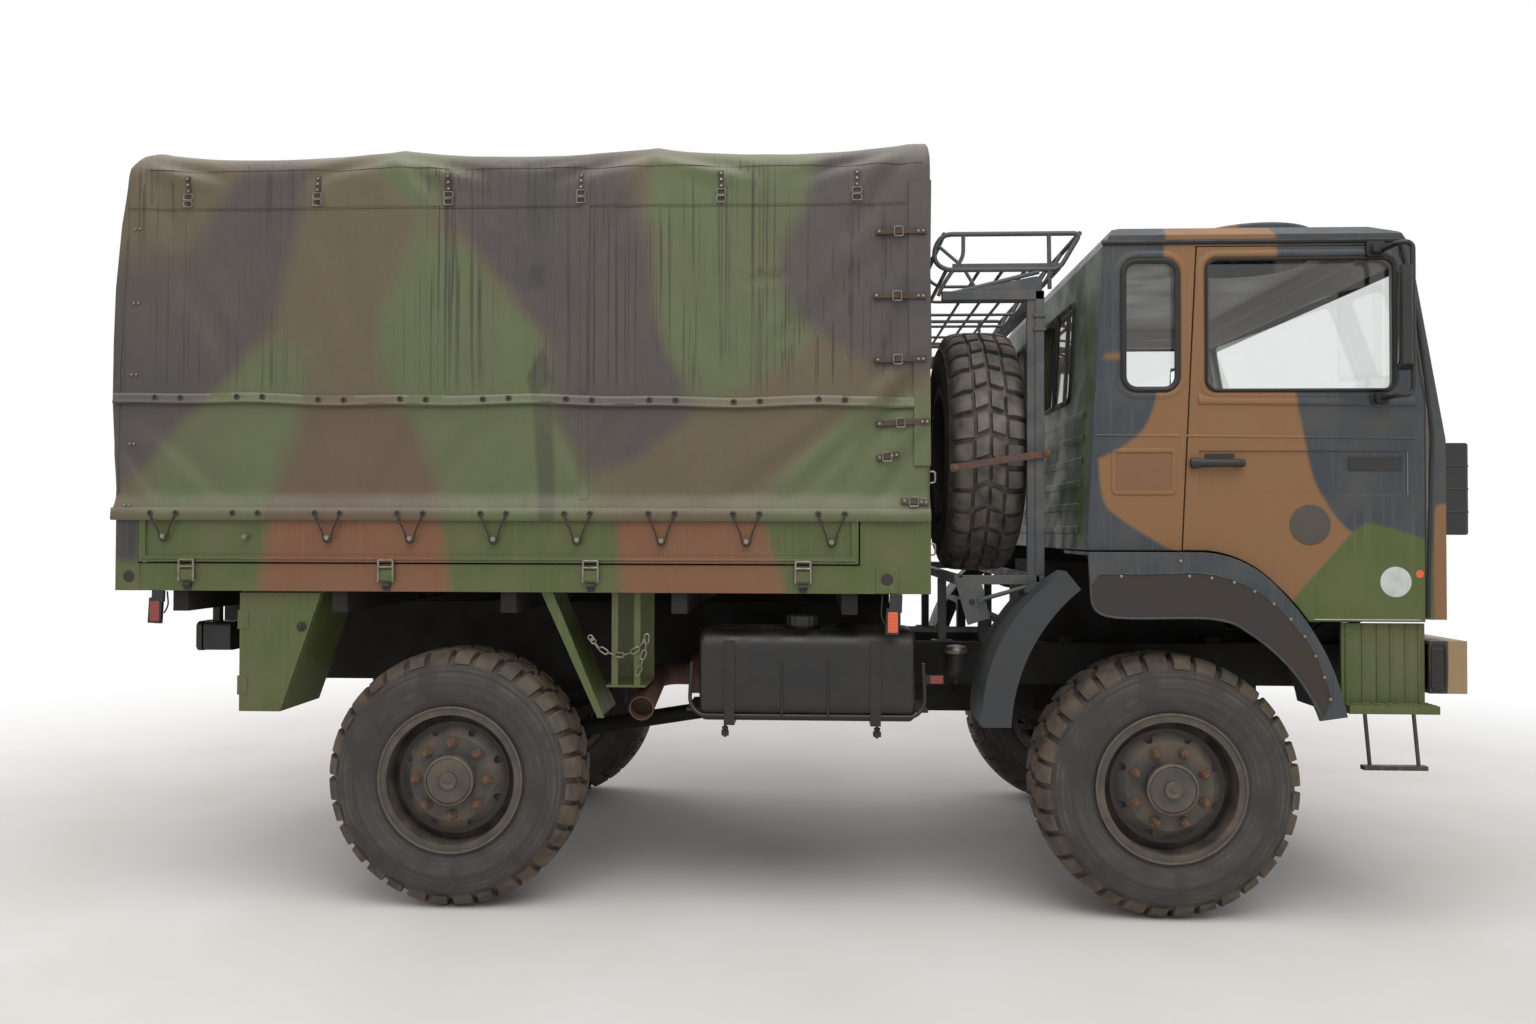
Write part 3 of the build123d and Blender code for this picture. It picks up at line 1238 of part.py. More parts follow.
# Seats: cushion and back on a low frame
seat_width = 500
seat_depth = 500
seat_inner = 400
seat_back_from_axle = 190
seat_back_x = front_x - seat_back_from_axle
seat_frame_inset = 60
seat_frame_back = 40
cushion_rise = 164
cushion = 120
cushion_top = cab_seat_floor + cushion_rise
backrest_height = 560
backrest_thick = 120
backrest_head = 90
backrest_lean = 30
with BuildPart() as seats:
    slab(seat_back_x + seat_frame_back, seat_back_x + seat_depth - seat_frame_inset,
         -seat_inner - seat_width + seat_frame_inset, -seat_inner - seat_frame_inset,
         cab_seat_floor, cushion_top - cushion)
    slab(seat_back_x, seat_back_x + seat_depth, -seat_inner - seat_width, -seat_inner,
         cushion_top - cushion, cushion_top)
    side_plate(((seat_back_x, cushion_top), (seat_back_x + backrest_thick, cushion_top),
                (seat_back_x - backrest_lean + backrest_head, cushion_top + backrest_height),
                (seat_back_x - backrest_lean, cushion_top + backrest_height)),
               seat_inner, seat_inner + seat_width)
    mirror(about=Plane.XZ)
seats.part.label = "seats"
export_step(seats.part, "parts/seats.step")

# Dashboard with the steering column and wheel on the left
dash_back_from_axle = 740
dash_back = front_x + dash_back_from_axle
dash_low = cab_seat_floor + 184
dash_high = waist_z + 48
dash_round = 60
dash_inset = 60
column_y = 620
column_radius = 28
column_drop = 130
steer_radius = 225
steer_tube = 15
spoke_width = 36
spoke_thick = 16
steer_from_axle = 480
steer_rise = 20
steer_centre = (front_x + steer_from_axle, column_y, dash_high + steer_rise)
with BuildPart() as dashboard:
    side_plate(((dash_back, dash_low), (front_x + front_wall_x, dash_low),
                (front_x + front_wall_x, dash_high),
                (dash_back + dash_round, dash_high), (dash_back, dash_high - dash_round)),
               dash_inset - cab_inner, cab_inner - dash_inset)
    bar(steer_centre, (dash_back + 5, column_y, dash_high - column_drop), column_radius)
    column_run = (dash_back - steer_centre[0], 0, dash_high - column_drop - steer_centre[2])
    with Locations(Plane(origin=steer_centre, z_dir=column_run).location):
        Torus(steer_radius, steer_tube)
        Box(2 * steer_radius, spoke_width, spoke_thick)
dashboard.part.label = "dashboard"
export_step(dashboard.part, "parts/dashboard.step")

# Doors with window glass and mirror
window_back = 125
window_front = 829
window_corner = 45
window_x = front_x + (window_back + window_front) / 2
pane_depth = 30
door_bottom = cab_sill - 9
door_shin = (448, 183)  # as the arch's points
door_heel = 505
press_low = waist_z - 204
press_high = waist_z - 40
press_inset = 60
press_depth = 5
mirror_side = 1200     # middle of the head
mirror_width = 180
mirror_height = 355
mirror_depth = 40
mirror_turn = 25       # degrees, outer edge backwards
mirror_from_axle = 790
mirror_round = 15
mirror_arm_from_axle = 770
mirror_tube_from_axle = 818
mirror_arm_high = cab_eaves - 28
mirror_arm_low = waist_z + 153
mirror_mid = (mirror_arm_high + mirror_arm_low) / 2
mirror_tube = 9
mirror_bend = 25
for side_name, side in (("right", -1), ("left", 1)):
    with BuildPart() as door:
        head_back = (front_x + door_back_high, cab_eaves - door_gap)
        head_front = (front_x + door_head_x - door_gap - 4, cab_eaves - door_gap)
        heel = on_arch((door_back_low, 0), 0, arch_gap)
        bend = on_arch((arch_bend, 0), door_gap, arch_gap)
        knee = on_arch(arch_knee, 1.5 * arch_gap, arch_gap)
        toe = (front_x + door_heel, door_bottom)
        with BuildSketch(Plane.XZ.offset(cab_inner)):
            with BuildLine():
                Polyline(head_back, heel, bend)
                ThreePointArc(bend, on_arch(arch_shoulder, 1.25 * arch_gap, arch_gap), knee)
                ThreePointArc(knee, on_arch(door_shin), toe)
                Polyline(toe, (front_x + door_front, door_bottom),
                         (front_x + door_front, waist_z + pillar_rise), head_front, head_back)
            make_face()
        extrude(amount=cab_skin)
        with BuildSketch(Plane.XZ.offset(cab_inner)) as window_outline:
            with Locations((window_x, window_z)):
                RectangleRounded(window_front - window_back, window_high - window_low, window_corner)
        extrude(window_outline.sketch, amount=cab_skin, mode=Mode.SUBTRACT)
        slab(front_x + door_back_low + press_inset, front_x + door_front - press_inset,
             -cab_half, press_depth - cab_half, press_low, press_high, mode=Mode.SUBTRACT)
        if side > 0:
            mirror(about=Plane.XZ, mode=Mode.REPLACE)
    door.part.label = f"door_{side_name}"
    export_step(door.part, f"parts/door_{side_name}.step")

    with BuildPart() as door_glass:
        with BuildSketch(Plane.XZ.offset(cab_half - pane_depth)) as pane:
            with Locations((window_x, window_z)):
                RectangleRounded(window_front - window_back, window_high - window_low, window_corner)
        extrude(pane.sketch, amount=glass)
        if side > 0:
            mirror(about=Plane.XZ, mode=Mode.REPLACE)
    door_glass.part.label = f"door_glass_{side_name}"
    export_step(door_glass.part, f"parts/door_glass_{side_name}.step")

    with BuildPart() as door_mirror:
        with Locations(Location((front_x + mirror_from_axle, -mirror_side, mirror_mid),
                                (0, 0, -mirror_turn))):
            Box(mirror_depth, mirror_width, mirror_height)
        fillet(door_mirror.edges().filter_by(Axis.Z), radius=mirror_round)
        foot_x = front_x + mirror_arm_from_axle
        tube_x = front_x + mirror_tube_from_axle
        with BuildLine() as mirror_route:
            FilletPolyline((foot_x, -cab_half, mirror_arm_high), (foot_x, -mirror_side, mirror_arm_high),
                           (tube_x, -mirror_side, mirror_arm_high), (tube_x, -mirror_side, mirror_arm_low),
                           (foot_x, -mirror_side, mirror_arm_low), (foot_x, -cab_half, mirror_arm_low),
                           radius=mirror_bend)
        with BuildSketch(Plane(origin=mirror_route.line @ 0, z_dir=mirror_route.line % 0)) as tube_section:
            Circle(mirror_tube)
        sweep(tube_section.sketch, path=mirror_route.line)
        if side > 0:
            mirror(about=Plane.XZ, mode=Mode.REPLACE)
    door_mirror.part.label = f"mirror_{side_name}"
    export_step(door_mirror.part, f"parts/mirror_{side_name}.step")
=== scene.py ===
"""Light military cargo truck: canvas cover, tyres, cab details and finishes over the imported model."""

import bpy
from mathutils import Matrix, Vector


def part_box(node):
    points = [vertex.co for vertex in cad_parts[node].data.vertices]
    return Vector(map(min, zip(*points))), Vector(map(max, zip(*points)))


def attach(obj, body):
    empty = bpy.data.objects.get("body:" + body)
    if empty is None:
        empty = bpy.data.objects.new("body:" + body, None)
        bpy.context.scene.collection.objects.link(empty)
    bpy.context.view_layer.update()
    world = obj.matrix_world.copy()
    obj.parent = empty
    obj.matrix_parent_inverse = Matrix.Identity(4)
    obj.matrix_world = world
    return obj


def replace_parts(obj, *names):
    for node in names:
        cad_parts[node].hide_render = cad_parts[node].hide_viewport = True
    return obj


bl_info = {
    "name": "Military Cargo Truck",
    "version": (1, 0, 0),
    "blender": (4, 5, 0),
    "location": "View3D > Sidebar > Truck",
    "description": "Canvas cover, tyres, cab details and finishes of a light cargo truck",
    "category": "Object",
}

from collections import namedtuple
from math import atan2, copysign, cos, dist, exp, hypot, pi, prod, radians, sin, sqrt, tau

import bmesh
import bpy
from bpy.props import FloatProperty, FloatVectorProperty, IntProperty, PointerProperty
from mathutils import Matrix, Vector, noise

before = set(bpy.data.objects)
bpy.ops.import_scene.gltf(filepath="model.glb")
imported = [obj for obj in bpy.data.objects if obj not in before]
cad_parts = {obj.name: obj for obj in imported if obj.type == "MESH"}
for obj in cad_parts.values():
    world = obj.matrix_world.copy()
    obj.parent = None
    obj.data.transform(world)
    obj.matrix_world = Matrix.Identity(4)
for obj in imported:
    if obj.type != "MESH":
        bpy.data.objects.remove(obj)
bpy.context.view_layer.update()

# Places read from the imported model, in metres
SIDES = (("right", -1), ("left", 1))
COVER_LOW, COVER_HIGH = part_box("cargo_cover")
BED_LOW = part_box("bed_floor")[0]
DROP_LOW, DROP_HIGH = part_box("drop_sides")
REAR_HUB = sum(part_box("tyre_rear_right"), Vector()) / 2
FRONT_HUB = sum(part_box("tyre_front_right"), Vector()) / 2
SPARE_HUB = sum(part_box("tyre_spare"), Vector()) / 2
AXLE_X = FRONT_HUB.x
TREAD_R = (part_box("tyre_rear_right")[1].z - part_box("tyre_rear_right")[0].z) / 2
SPARE_R = (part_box("tyre_spare")[1].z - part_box("tyre_spare")[0].z) / 2
CAB_SIDE = -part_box("cab_side_panels")[0].y
ARCH_SIDE = -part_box("front_arches")[0].y
BOW_X = (-2.45, -1.47, -0.46, 0.51)


def shade(code):
    """An sRGB hex colour as linear RGBA."""
    parts = [int(code[i:i + 2], 16) / 255 for i in (1, 3, 5)]
    return tuple(p / 12.92 if p <= 0.04045 else ((p + 0.055) / 1.055) ** 2.4 for p in parts) + (1.0,)


# Sizes and colours that a user would change
def metres(name, description, default, low=0.0):
    """A length that a user can change."""
    return FloatProperty(name=name, description=description, default=default, min=low, unit="LENGTH")


def tint(name, description, code):
    """A colour that a user can change."""
    return FloatVectorProperty(name=name, description=description, subtype="COLOR", size=4, min=0, max=1,
        default=shade(code))


class TruckSizes(bpy.types.PropertyGroup):
    top_sag: metres("Top sag", "How far the cover hangs between two bows", 0.034)
    side_sag: metres("Side sag", "How far the cover's sides draw in between two bows", 0.012)
    fold_depth: FloatProperty(name="Fold depth", description="Strength of the cover's folds", default=1.5,
        min=0)
    cloth_step: metres("Cloth step", "Distance between two points of the cover's cloth", 0.018, 0.005)
    tread_depth: metres("Tread depth", "Depth of the grooves between the tread blocks", 0.020, 0.004)
    tread_pitches: IntProperty(name="Tread pitches", description="Repeats of the tread round a tyre",
        default=16, min=8)
    cord_diameter: metres("Lacing cord", "Diameter of the elastic lacing cords", 0.007, 0.003)


class TruckColours(bpy.types.PropertyGroup):
    cab_grey: tint("Cab blue-grey", "Dark blue-grey enamel of the cab", "#363d43")
    cab_brown: tint("Cab brown", "Earth brown enamel of the cab", "#86603c")
    cab_green: tint("Cab green", "Leaf green enamel of the cab", "#4d5b29")
    bed_green: tint("Bed green", "Green enamel of the load bed", "#515c31")
    bed_brown: tint("Bed brown", "Brown enamel of the load bed", "#7b5137")
    canvas_dark: tint("Canvas dark", "Dark violet-grey of the cover", "#423b3c")
    canvas_olive: tint("Canvas olive", "Olive brown of the cover", "#5e513a")
    canvas_green: tint("Canvas green", "Faded green of the cover", "#56623b")


# Making meshes
def spread(low, high, count):
    """Evenly spaced numbers from low to high, both ends counted."""
    return [low + (high - low) * i / (count - 1) for i in range(count)]


# Each finish's colour slot, in a table that nothing in this script reads
SLOTS = {
    "canvas": "canvas", "tyre": "tyre", "spare": "tyre", "lip": "rim_paint", "mirror": "window",
    "seat": "seat_cloth", **dict.fromkeys(("cab", "grey", "green", "bed", "plate"), "camo_paint"),
    **dict.fromkeys(("chassis", "tank", "carrier"), "chassis_paint"),
    **dict.fromkeys(("rust", "steel", "brass", "clamp"), "bare_steel"),
    **dict.fromkeys(("clear", "red", "orange"), "lamp"),
    **dict.fromkeys(("leather", "seal", "plastic", "liner", "disc", "emblem"), "trim"),
}
finishes = {}


def piece(name, shape, finish, body="chassis", at=(0, 0, 0), turn=0.0, crease=35, edge=0.0):
    """Turn a bmesh into a shown piece in a finish, which rides on a body."""
    mesh = bpy.data.meshes.new(name)
    bmesh.ops.recalc_face_normals(shape, faces=shape.faces)
    shape.to_mesh(mesh)
    shape.free()
    mesh.materials.append(finishes[finish])
    mesh.shade_smooth()
    mesh.set_sharp_from_angle(angle=radians(crease))
    made = bpy.data.objects.new(name, mesh)
    made.location = at
    made.rotation_euler = (0, 0, turn)
    bpy.context.scene.collection.objects.link(made)
    if edge:
        soft = made.modifiers.new("soft edges", "BEVEL")
        soft.width, soft.segments, soft.limit_method = edge, 2, "ANGLE"
        soft.harden_normals = True
    bpy.context.view_layer.update()
    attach(made, body)
    return made


def blanks(count):
    """Empty meshes to build in."""
    return [bmesh.new() for _ in range(count)]


def skin(shape, rows, round_rows=False, round_across=False, capped=False):
    """Faces over rows of points; either direction can close on itself, and both end rows be filled."""
    laid = [[shape.verts.new(point) for point in row] for row in rows]
    down = len(laid) if round_rows else len(laid) - 1
    across = len(laid[0]) if round_across else len(laid[0]) - 1
    for i in range(down):
        for j in range(across):
            a, b = laid[i], laid[(i + 1) % len(laid)]
            k = (j + 1) % len(a)
            shape.faces.new((a[j], a[k], b[k], b[j]))
    if capped:
        shape.faces.new(laid[0])
        shape.faces.new(laid[-1])


def block(shape, low, high, turn=None):
    """A block between two corners, turned about its middle by (degrees, axis)."""
    made = bmesh.ops.create_cube(shape, size=1.0)["verts"]
    low, high = Vector(low), Vector(high)
    middle = (low + high) / 2
    spin = Matrix.Rotation(radians(turn[0]), 3, turn[1]) if turn else Matrix.Identity(3)
    for v in made:
        v.co = middle + spin @ Vector(c * (h - l) for c, l, h in zip(v.co, low, high))


def plate(shape, outline, depth):
    """An outline of points pushed along a vector, closed at both ends."""
    near = [shape.verts.new(p) for p in outline]
    far = [shape.verts.new(Vector(p) + Vector(depth)) for p in outline]
    shape.faces.new(near)
    shape.faces.new(reversed(far))
    for i in range(len(near)):
        j = (i + 1) % len(near)
        shape.faces.new((near[i], far[i], far[j], near[j]))


def tube(shape, points, radius, sides=10, closed=False, flat=1.0):
    """A tube swept along points; flat squeezes its section across."""
    points = [Vector(p) for p in points]
    count = len(points)
    rows, side = [], None
    for i, point in enumerate(points):
        before = points[i - 1] if closed or i else points[i]
        after = points[(i + 1) % count] if closed or i < count - 1 else points[i]
        along = (after - before).normalized()
        if side is None:
            side = along.orthogonal() if abs(along.z) > 0.9 else along.cross(Vector((0, 0, 1)))
        side = (side - along * side.dot(along)).normalized()
        up = along.cross(side)
        rows.append([point + radius * (cos(a) * side * flat + sin(a) * up)
            for a in spread(0, tau, sides + 1)[:-1]])
    skin(shape, rows, round_rows=closed, round_across=True, capped=not closed)


def lathe(shape, profile, centre, axis=(0, 1, 0), steps=32, capped=True):
    """A turned form round an axis; the profile is (distance along the axis, radius)."""
    axis = Vector(axis).normalized()
    side = axis.orthogonal().normalized()
    up = axis.cross(side)
    rows = [[Vector(centre) + axis * d + r * (cos(a) * side + sin(a) * up)
        for a in spread(0, tau, steps + 1)[:-1]] for d, r in profile]
    skin(shape, rows, round_across=True, capped=capped)


def rounded(x0, x1, z0, z1, radius, steps=6):
    """Points round a rectangle with rounded corners, as (x, z)."""
    corners = ((x1 - radius, z1 - radius, 0), (x0 + radius, z1 - radius, 90), (x0 + radius, z0 + radius, 180),
        (x1 - radius, z0 + radius, 270))
    return [(cx + radius * cos(radians(start + a)), cz + radius * sin(radians(start + a)))
        for cx, cz, start in corners for a in spread(0, 90, steps)]


def bent(points, radius, steps=5):
    """A path whose corners are rounded, as a bent bar is."""
    points = [Vector(p) for p in points]
    path = [points[0]]
    for before, corner, after in zip(points, points[1:], points[2:]):
        into, out = (corner - before), (after - corner)
        reach = min(radius, into.length / 2, out.length / 2)
        start, end = corner - into.normalized() * reach, corner + out.normalized() * reach
        path += [start.lerp(corner, t).lerp(corner.lerp(end, t), t) for t in spread(0, 1, steps)]
    return path + [points[-1]]


def eased(points, steps=6):
    """A smooth line through points in the side view, sampled between each two."""
    ends = [points[0], *points, points[-1]]
    line = []
    for p, q, r, s in zip(ends, ends[1:], ends[2:], ends[3:]):
        for t in spread(0, 1, steps + 1)[:-1]:
            line.append(tuple(0.5 * (2 * q[i] + (r[i] - p[i]) * t + (2 * p[i] - 5 * q[i] + 4 * r[i] - s[i])
                * t ** 2 + (3 * q[i] - p[i] - 3 * r[i] + s[i]) * t ** 3) for i in (0, 1)))
    return line + [points[-1]]


# Making materials
def fill(tree, node, links):
    """Fill a node's inputs: a node links its first live output, and a hex code is a colour."""
    for socket, value in links.items():
        if isinstance(value, str):
            value = shade(value)
        elif isinstance(value, bpy.types.Node):
            value = next(output for output in value.outputs if output.enabled)
        if isinstance(value, bpy.types.NodeSocket):
            tree.links.new(value, node.inputs[socket])
        else:
            node.inputs[socket].default_value = value


def add(tree, kind, links=None, **settings):
    """Add a node, set its properties and fill its inputs."""
    made = tree.nodes.new("ShaderNode" + kind)
    for name, value in settings.items():
        setattr(made, name, value)
    fill(tree, made, links or {})
    return made


def surface(name, **values):
    """A new material with its tree, its shader and the object's own coordinates."""
    made = bpy.data.materials.new(name)
    made.use_nodes = True
    tree = made.node_tree
    shader = tree.nodes["Principled BSDF"]
    fill(tree, shader, {socket.replace("_", " "): value for socket, value in values.items()})
    return made, tree, shader, add(tree, "TexCoord").outputs["Object"]


def speckle(tree, point, size, detail, low, high, stretch=(1, 1, 1)):
    """A cloudy pattern of a real size in metres, from 0 to 1."""
    place = add(tree, "Mapping", {"Vector": point, "Scale": [s / size for s in stretch]})
    cloud = add(tree, "TexNoise", {"Vector": place, "Scale": 1.0, "Detail": detail})
    return add(tree, "MapRange", {"Value": cloud, "From Min": low, "From Max": high})


Patch = namedtuple("Patch", "paint face reach corners")
# Each face of the truck: the two axes of a patch's corners, the axis into the truck, its way and its start
FACES = {"right": (0, 2, 1, 1, -1.08), "left": (0, 2, 1, -1, 1.08), "top": (0, 1, 2, -1, 2.98),
    "back": (1, 2, 0, 1, -2.6), "front": (1, 2, 0, -1, 2.56)}


def camouflage(tree, point, paints, base, patches, edge, wander, bend):
    """Sprayed patches with rounded corners, each reaching into the truck; their soft edge is edge wide."""
    drift = add(tree, "TexNoise", {"Vector": point, "Scale": 1 / bend, "Detail": 2.0})
    middle = add(tree, "VectorMath", {0: drift.outputs["Color"], 1: (0.5, 0.5, 0.5)}, operation="SUBTRACT")
    moved = add(tree, "VectorMath", {0: middle, 1: (wander,) * 3, 2: point}, operation="MULTIPLY_ADD")
    colour = paints[base]
    for patch in patches:
        across, up, inward, way, start = FACES[patch.face]
        corners = [(a / 100, b / 100) for a, b in zip(patch.corners[::2], patch.corners[1::2])]
        ma, mb = (sum(c[i] for c in corners) / len(corners) for i in (0, 1))
        heart = [start] * 3
        heart[across], heart[up] = ma, mb
        walls, reaches = [], []
        for (a0, b0), (a1, b1) in zip(corners, corners[1:] + corners[:1]):
            outward = Vector((b1 - b0, a0 - a1)).normalized()
            reach = outward.dot((a0 - ma, b0 - mb))
            wall = [0.0] * 3
            wall[across], wall[up] = outward.x / reach, outward.y / reach
            walls.append(wall)
            reaches.append(abs(reach))
        wall = [0.0] * 3
        wall[inward] = way / (patch.reach / 100)
        walls.append(wall)
        place = add(tree, "VectorMath", {0: moved, 1: heart}, operation="SUBTRACT")
        outer = None
        for wall in walls:
            off = add(tree, "VectorMath", {0: place, 1: wall}, operation="DOT_PRODUCT").outputs["Value"]
            outer = off if outer is None else add(tree, "Math", {0: outer, 1: off, 2: 0.30},
                operation="SMOOTH_MAX")
        soft = edge / min(reaches)
        mask = add(tree, "MapRange", {"Value": outer, "From Min": 1 + soft, "From Max": 1 - soft},
            interpolation_type="SMOOTHSTEP")
        colour = add(tree, "Mix", {0: mask, 6: colour, 7: paints[patch.paint]}, data_type="RGBA")
    return colour


# The camouflage in centimetres: each patch's face, how far it reaches into the truck, and its corners
# as one across, one up, one across and so on
CAB_PATCHES = (
    Patch("brown", "right", 45, (140, 272, 193, 272, 190, 249, 196, 210, 142, 206, 146, 245)),
    Patch("brown", "right", 30, (148, 232, 220, 232, 242, 150, 210, 112, 148, 141)),
    Patch("brown", "right", 30, (164, 214, 123, 214, 121.5, 172, 123.5, 156, 136, 146.5, 156, 136, 170, 146)),
    Patch("grey", "right", 30, (108, 212, 145.5, 212, 144.5, 196, 140, 185, 133, 178.5, 122, 173, 108, 172)),
    Patch("grey", "right", 30, (192, 212, 195.5, 194, 198, 179, 205, 159, 216, 145, 232, 140, 262, 138, 262,
        212)),
    Patch("green", "right", 30, (221, 151, 246, 143, 247, 100, 190, 100, 193, 120)),
    Patch("brown", "front", 10, (-120, 160, -72, 150, -62, 105, -120, 100)),
    Patch("brown", "front", 45, (-35, 275, 50, 275, 62, 210, 20, 175, -10, 190)),
    Patch("green", "front", 12, (-20, 150, 55, 162, 120, 140, 120, 100, 10, 100)),
    Patch("brown", "left", 30, (115, 220, 162, 205, 185, 170, 160, 145, 115, 160)),
    Patch("green", "left", 30, (170, 160, 210, 175, 250, 150, 250, 100, 195, 100)),
    Patch("brown", "left", 40, (205, 270, 250, 270, 250, 205, 220, 195, 200, 225)),
    Patch("green", "top", 20, (120, -10, 175, 10, 190, 75, 120, 100)),
)
COVER_PATCHES = (
    Patch("dark", "right", 55, (-212, 295, -182, 293, -186, 262, -195, 225, -225, 193, -242, 240, -224, 266)),
    Patch("dark", "right", 30, (-270, 250, -234, 256, -196, 230, -224, 195, -244, 172, -270, 152)),
    Patch("green", "right", 30, (-217, 204, -195, 220, -180, 216, -182, 186, -197, 150, -246, 150, -246, 172,
        -227, 193)),
    Patch("brown", "right", 30, (-182, 198, -140, 198, -130, 148, -198, 148)),
    Patch("green", "right", 90, (-160, 302, -130, 302, -122, 286, -134, 264, -148, 276)),
    Patch("green", "right", 50, (-136, 268, -122, 258, -90, 223, -80, 188, -140, 186, -151, 204, -155, 220,
        -149, 246)),
    Patch("green", "right", 40, (-142, 196, -83, 196, -62, 148, -125, 148, -134, 172)),
    Patch("dark", "right", 100, (-132, 266, -122, 298, -49, 300, -47, 253, -38, 222, -84, 212, -95, 227, -114,
        247)),
    Patch("dark", "right", 40, (-86, 220, -41, 228, -26, 198, -30, 182, -47, 176, -64, 160, -73, 172, -84,
        190)),
    Patch("green", "right", 80, (-49, 304, 38, 304, 27, 228, -20, 195, -33, 198, -47, 234)),
    Patch("dark", "right", 60, (24, 304, 76, 304, 76, 211, 36, 207, 5, 229, 0, 248)),
    Patch("green", "right", 30, (30, 194, 70, 202, 70, 148, -7, 148, 4, 170)),
    Patch("dark", "top", 20, (-265, -20, -190, 5, -200, 70, -265, 85)),
    Patch("green", "top", 20, (-170, 0, -100, 20, -110, 90, -175, 80)),
    Patch("dark", "top", 20, (-70, 10, -10, -10, 10, 60, -55, 85)),
    Patch("green", "back", 20, (-75, 240, 5, 230, 15, 148, -75, 148)),
    Patch("dark", "back", 25, (-30, 300, 65, 300, 70, 250, 10, 240)),
    Patch("dark", "back", 20, (45, 210, 120, 220, 120, 148, 40, 148)),
    Patch("green", "left", 50, (-250, 295, -185, 295, -175, 240, -210, 210, -250, 230)),
    Patch("dark", "left", 50, (-185, 230, -130, 245, -110, 195, -140, 148, -180, 160)),
    Patch("green", "left", 60, (-115, 280, -60, 280, -45, 230, -70, 170, -110, 190)),
    Patch("dark", "left", 80, (-40, 300, 20, 300, 30, 240, 0, 175, -35, 200)),
    Patch("green", "left", 30, (15, 210, 70, 230, 70, 148, 5, 148)),
)
BED_PATCHES = (
    Patch("brown", "right", 50, (-194, 160, -130, 160, -122, 115, -201, 115)),
    Patch("brown", "right", 50, (-61, 160, -7, 160, 7, 115, -57, 115)),
    Patch("dark", "right", 25, (-270, 162, -247.3, 162, -247.3, 134.5, -270, 134.5)),
    Patch("brown", "back", 30, (10, 160, 60, 160, 70, 115, 5, 115)),
    Patch("brown", "left", 50, (-220, 160, -160, 160, -170, 115, -230, 115)),
    Patch("brown", "left", 50, (-90, 160, -30, 160, -40, 115, -100, 115)),
)
STEP_PATCHES = (Patch("dark", "right", 300, (190, 79, 280, 79, 280, 30, 190, 30)),)
CAB_HEART = (AXLE_X + 0.35, 0.0, 1.95)
BUMPER_PATCHES = (Patch("dark", "right", 300, (230, 120, 251.2, 120, 251.2, 80, 230, 80)),)
# Spilt paint and oil run down the cover and the side below it, as straight marks
STAINS = (
    (-97, 292, -85, 292, -86, 259, -95, 259),
    (-95, 249, -89, 249, -89, 240, -95, 240),
    (-89, 218, -96, 205, -93, 197, -86, 205),
    (-93, 197, -86, 197, -82, 125, -88, 125),
)


def weathered_enamel(name, paints, base, patches, edge, grime, heart=None):
    """Brushed-on matt enamel over sheet steel, rain-washed: dust on its ledges, pale on its edges from
    chipped paint and a painted highlight.

    Faces turned to the heart of the cab are its pale grey lining.
    """
    made, tree, shader, point = surface(name, Base_Color=paints[base], Roughness=0.42, Specular_IOR_Level=0.4)
    colour = camouflage(tree, point, paints, base, patches, edge, 0.03, 0.40)
    # Rain tracks about 12 mm wide, and clouds of dust a hand wide
    runs = speckle(tree, point, 0.012, 2, 0.50, 0.75, (1, 1, 0.03))
    clouds = speckle(tree, point, 0.16, 5, 0.42, 0.70)
    dirty = add(tree, "Math", {0: runs, 1: clouds}, operation="MAXIMUM")
    thin = add(tree, "Math", {0: dirty, 1: grime}, operation="MULTIPLY")
    washed = add(tree, "Mix", {0: thin, 6: colour, 7: "#7f725c"}, data_type="RGBA")
    if heart:
        normal = point.node.outputs["Normal"]
        spoke = add(tree, "VectorMath", {0: point, 1: heart}, operation="SUBTRACT")
        turned = add(tree, "VectorMath", {0: normal, 1: spoke}, operation="DOT_PRODUCT").outputs["Value"]
        within = add(tree, "MapRange", {"Value": turned, "From Min": 0.0, "From Max": -0.05})
        washed = add(tree, "Mix", {0: within, 6: washed, 7: "#bfb8b0"}, data_type="RGBA")
    # Pale chips along the edges, partly chipped paint and partly a painted highlight on the edges and pressed
    # ridges: the angle between a rounded normal and the true one is large only there
    soft = add(tree, "Bevel", {"Radius": 0.004}, samples=4)
    true = add(tree, "NewGeometry").outputs["True Normal"]
    same = add(tree, "VectorMath", {0: soft, 1: true}, operation="DOT_PRODUCT")
    rim = add(tree, "MapRange", {"Value": same.outputs["Value"], "From Min": 0.97, "From Max": 0.80})
    chips = speckle(tree, point, 0.018, 4, 0.47, 0.58)
    worn_and_highlit = add(tree, "Math", {0: rim, 1: chips}, operation="MULTIPLY")
    half = add(tree, "Math", {0: worn_and_highlit, 1: 0.55}, operation="MULTIPLY")
    final = add(tree, "Mix", {0: half, 6: washed, 7: "#8f8570"}, data_type="RGBA")
    rough = add(tree, "MapRange", {"Value": clouds, "To Min": 0.38, "To Max": 0.62})
    fill(tree, shader, {"Base Color": final, "Roughness": rough})
    # Orange peel of a brush and roller, 3 mm across
    peel = add(tree, "TexNoise", {"Vector": point, "Scale": 330.0, "Detail": 2.0})
    bump = add(tree, "Bump", {"Height": peel, "Strength": 0.10, "Distance": 0.001, "Normal": soft})
    fill(tree, shader, {"Normal": bump})
    return made


def camouflage_over(tree, point, colour, patches, paints):
    """More patches over a colour that is already mixed, half covering it."""
    over = dict(paints, below=colour)
    marked = camouflage(tree, point, over, "below", patches, 0.010, 0.02, 0.08)
    return add(tree, "Mix", {0: 0.62, 6: colour, 7: marked}, data_type="RGBA")


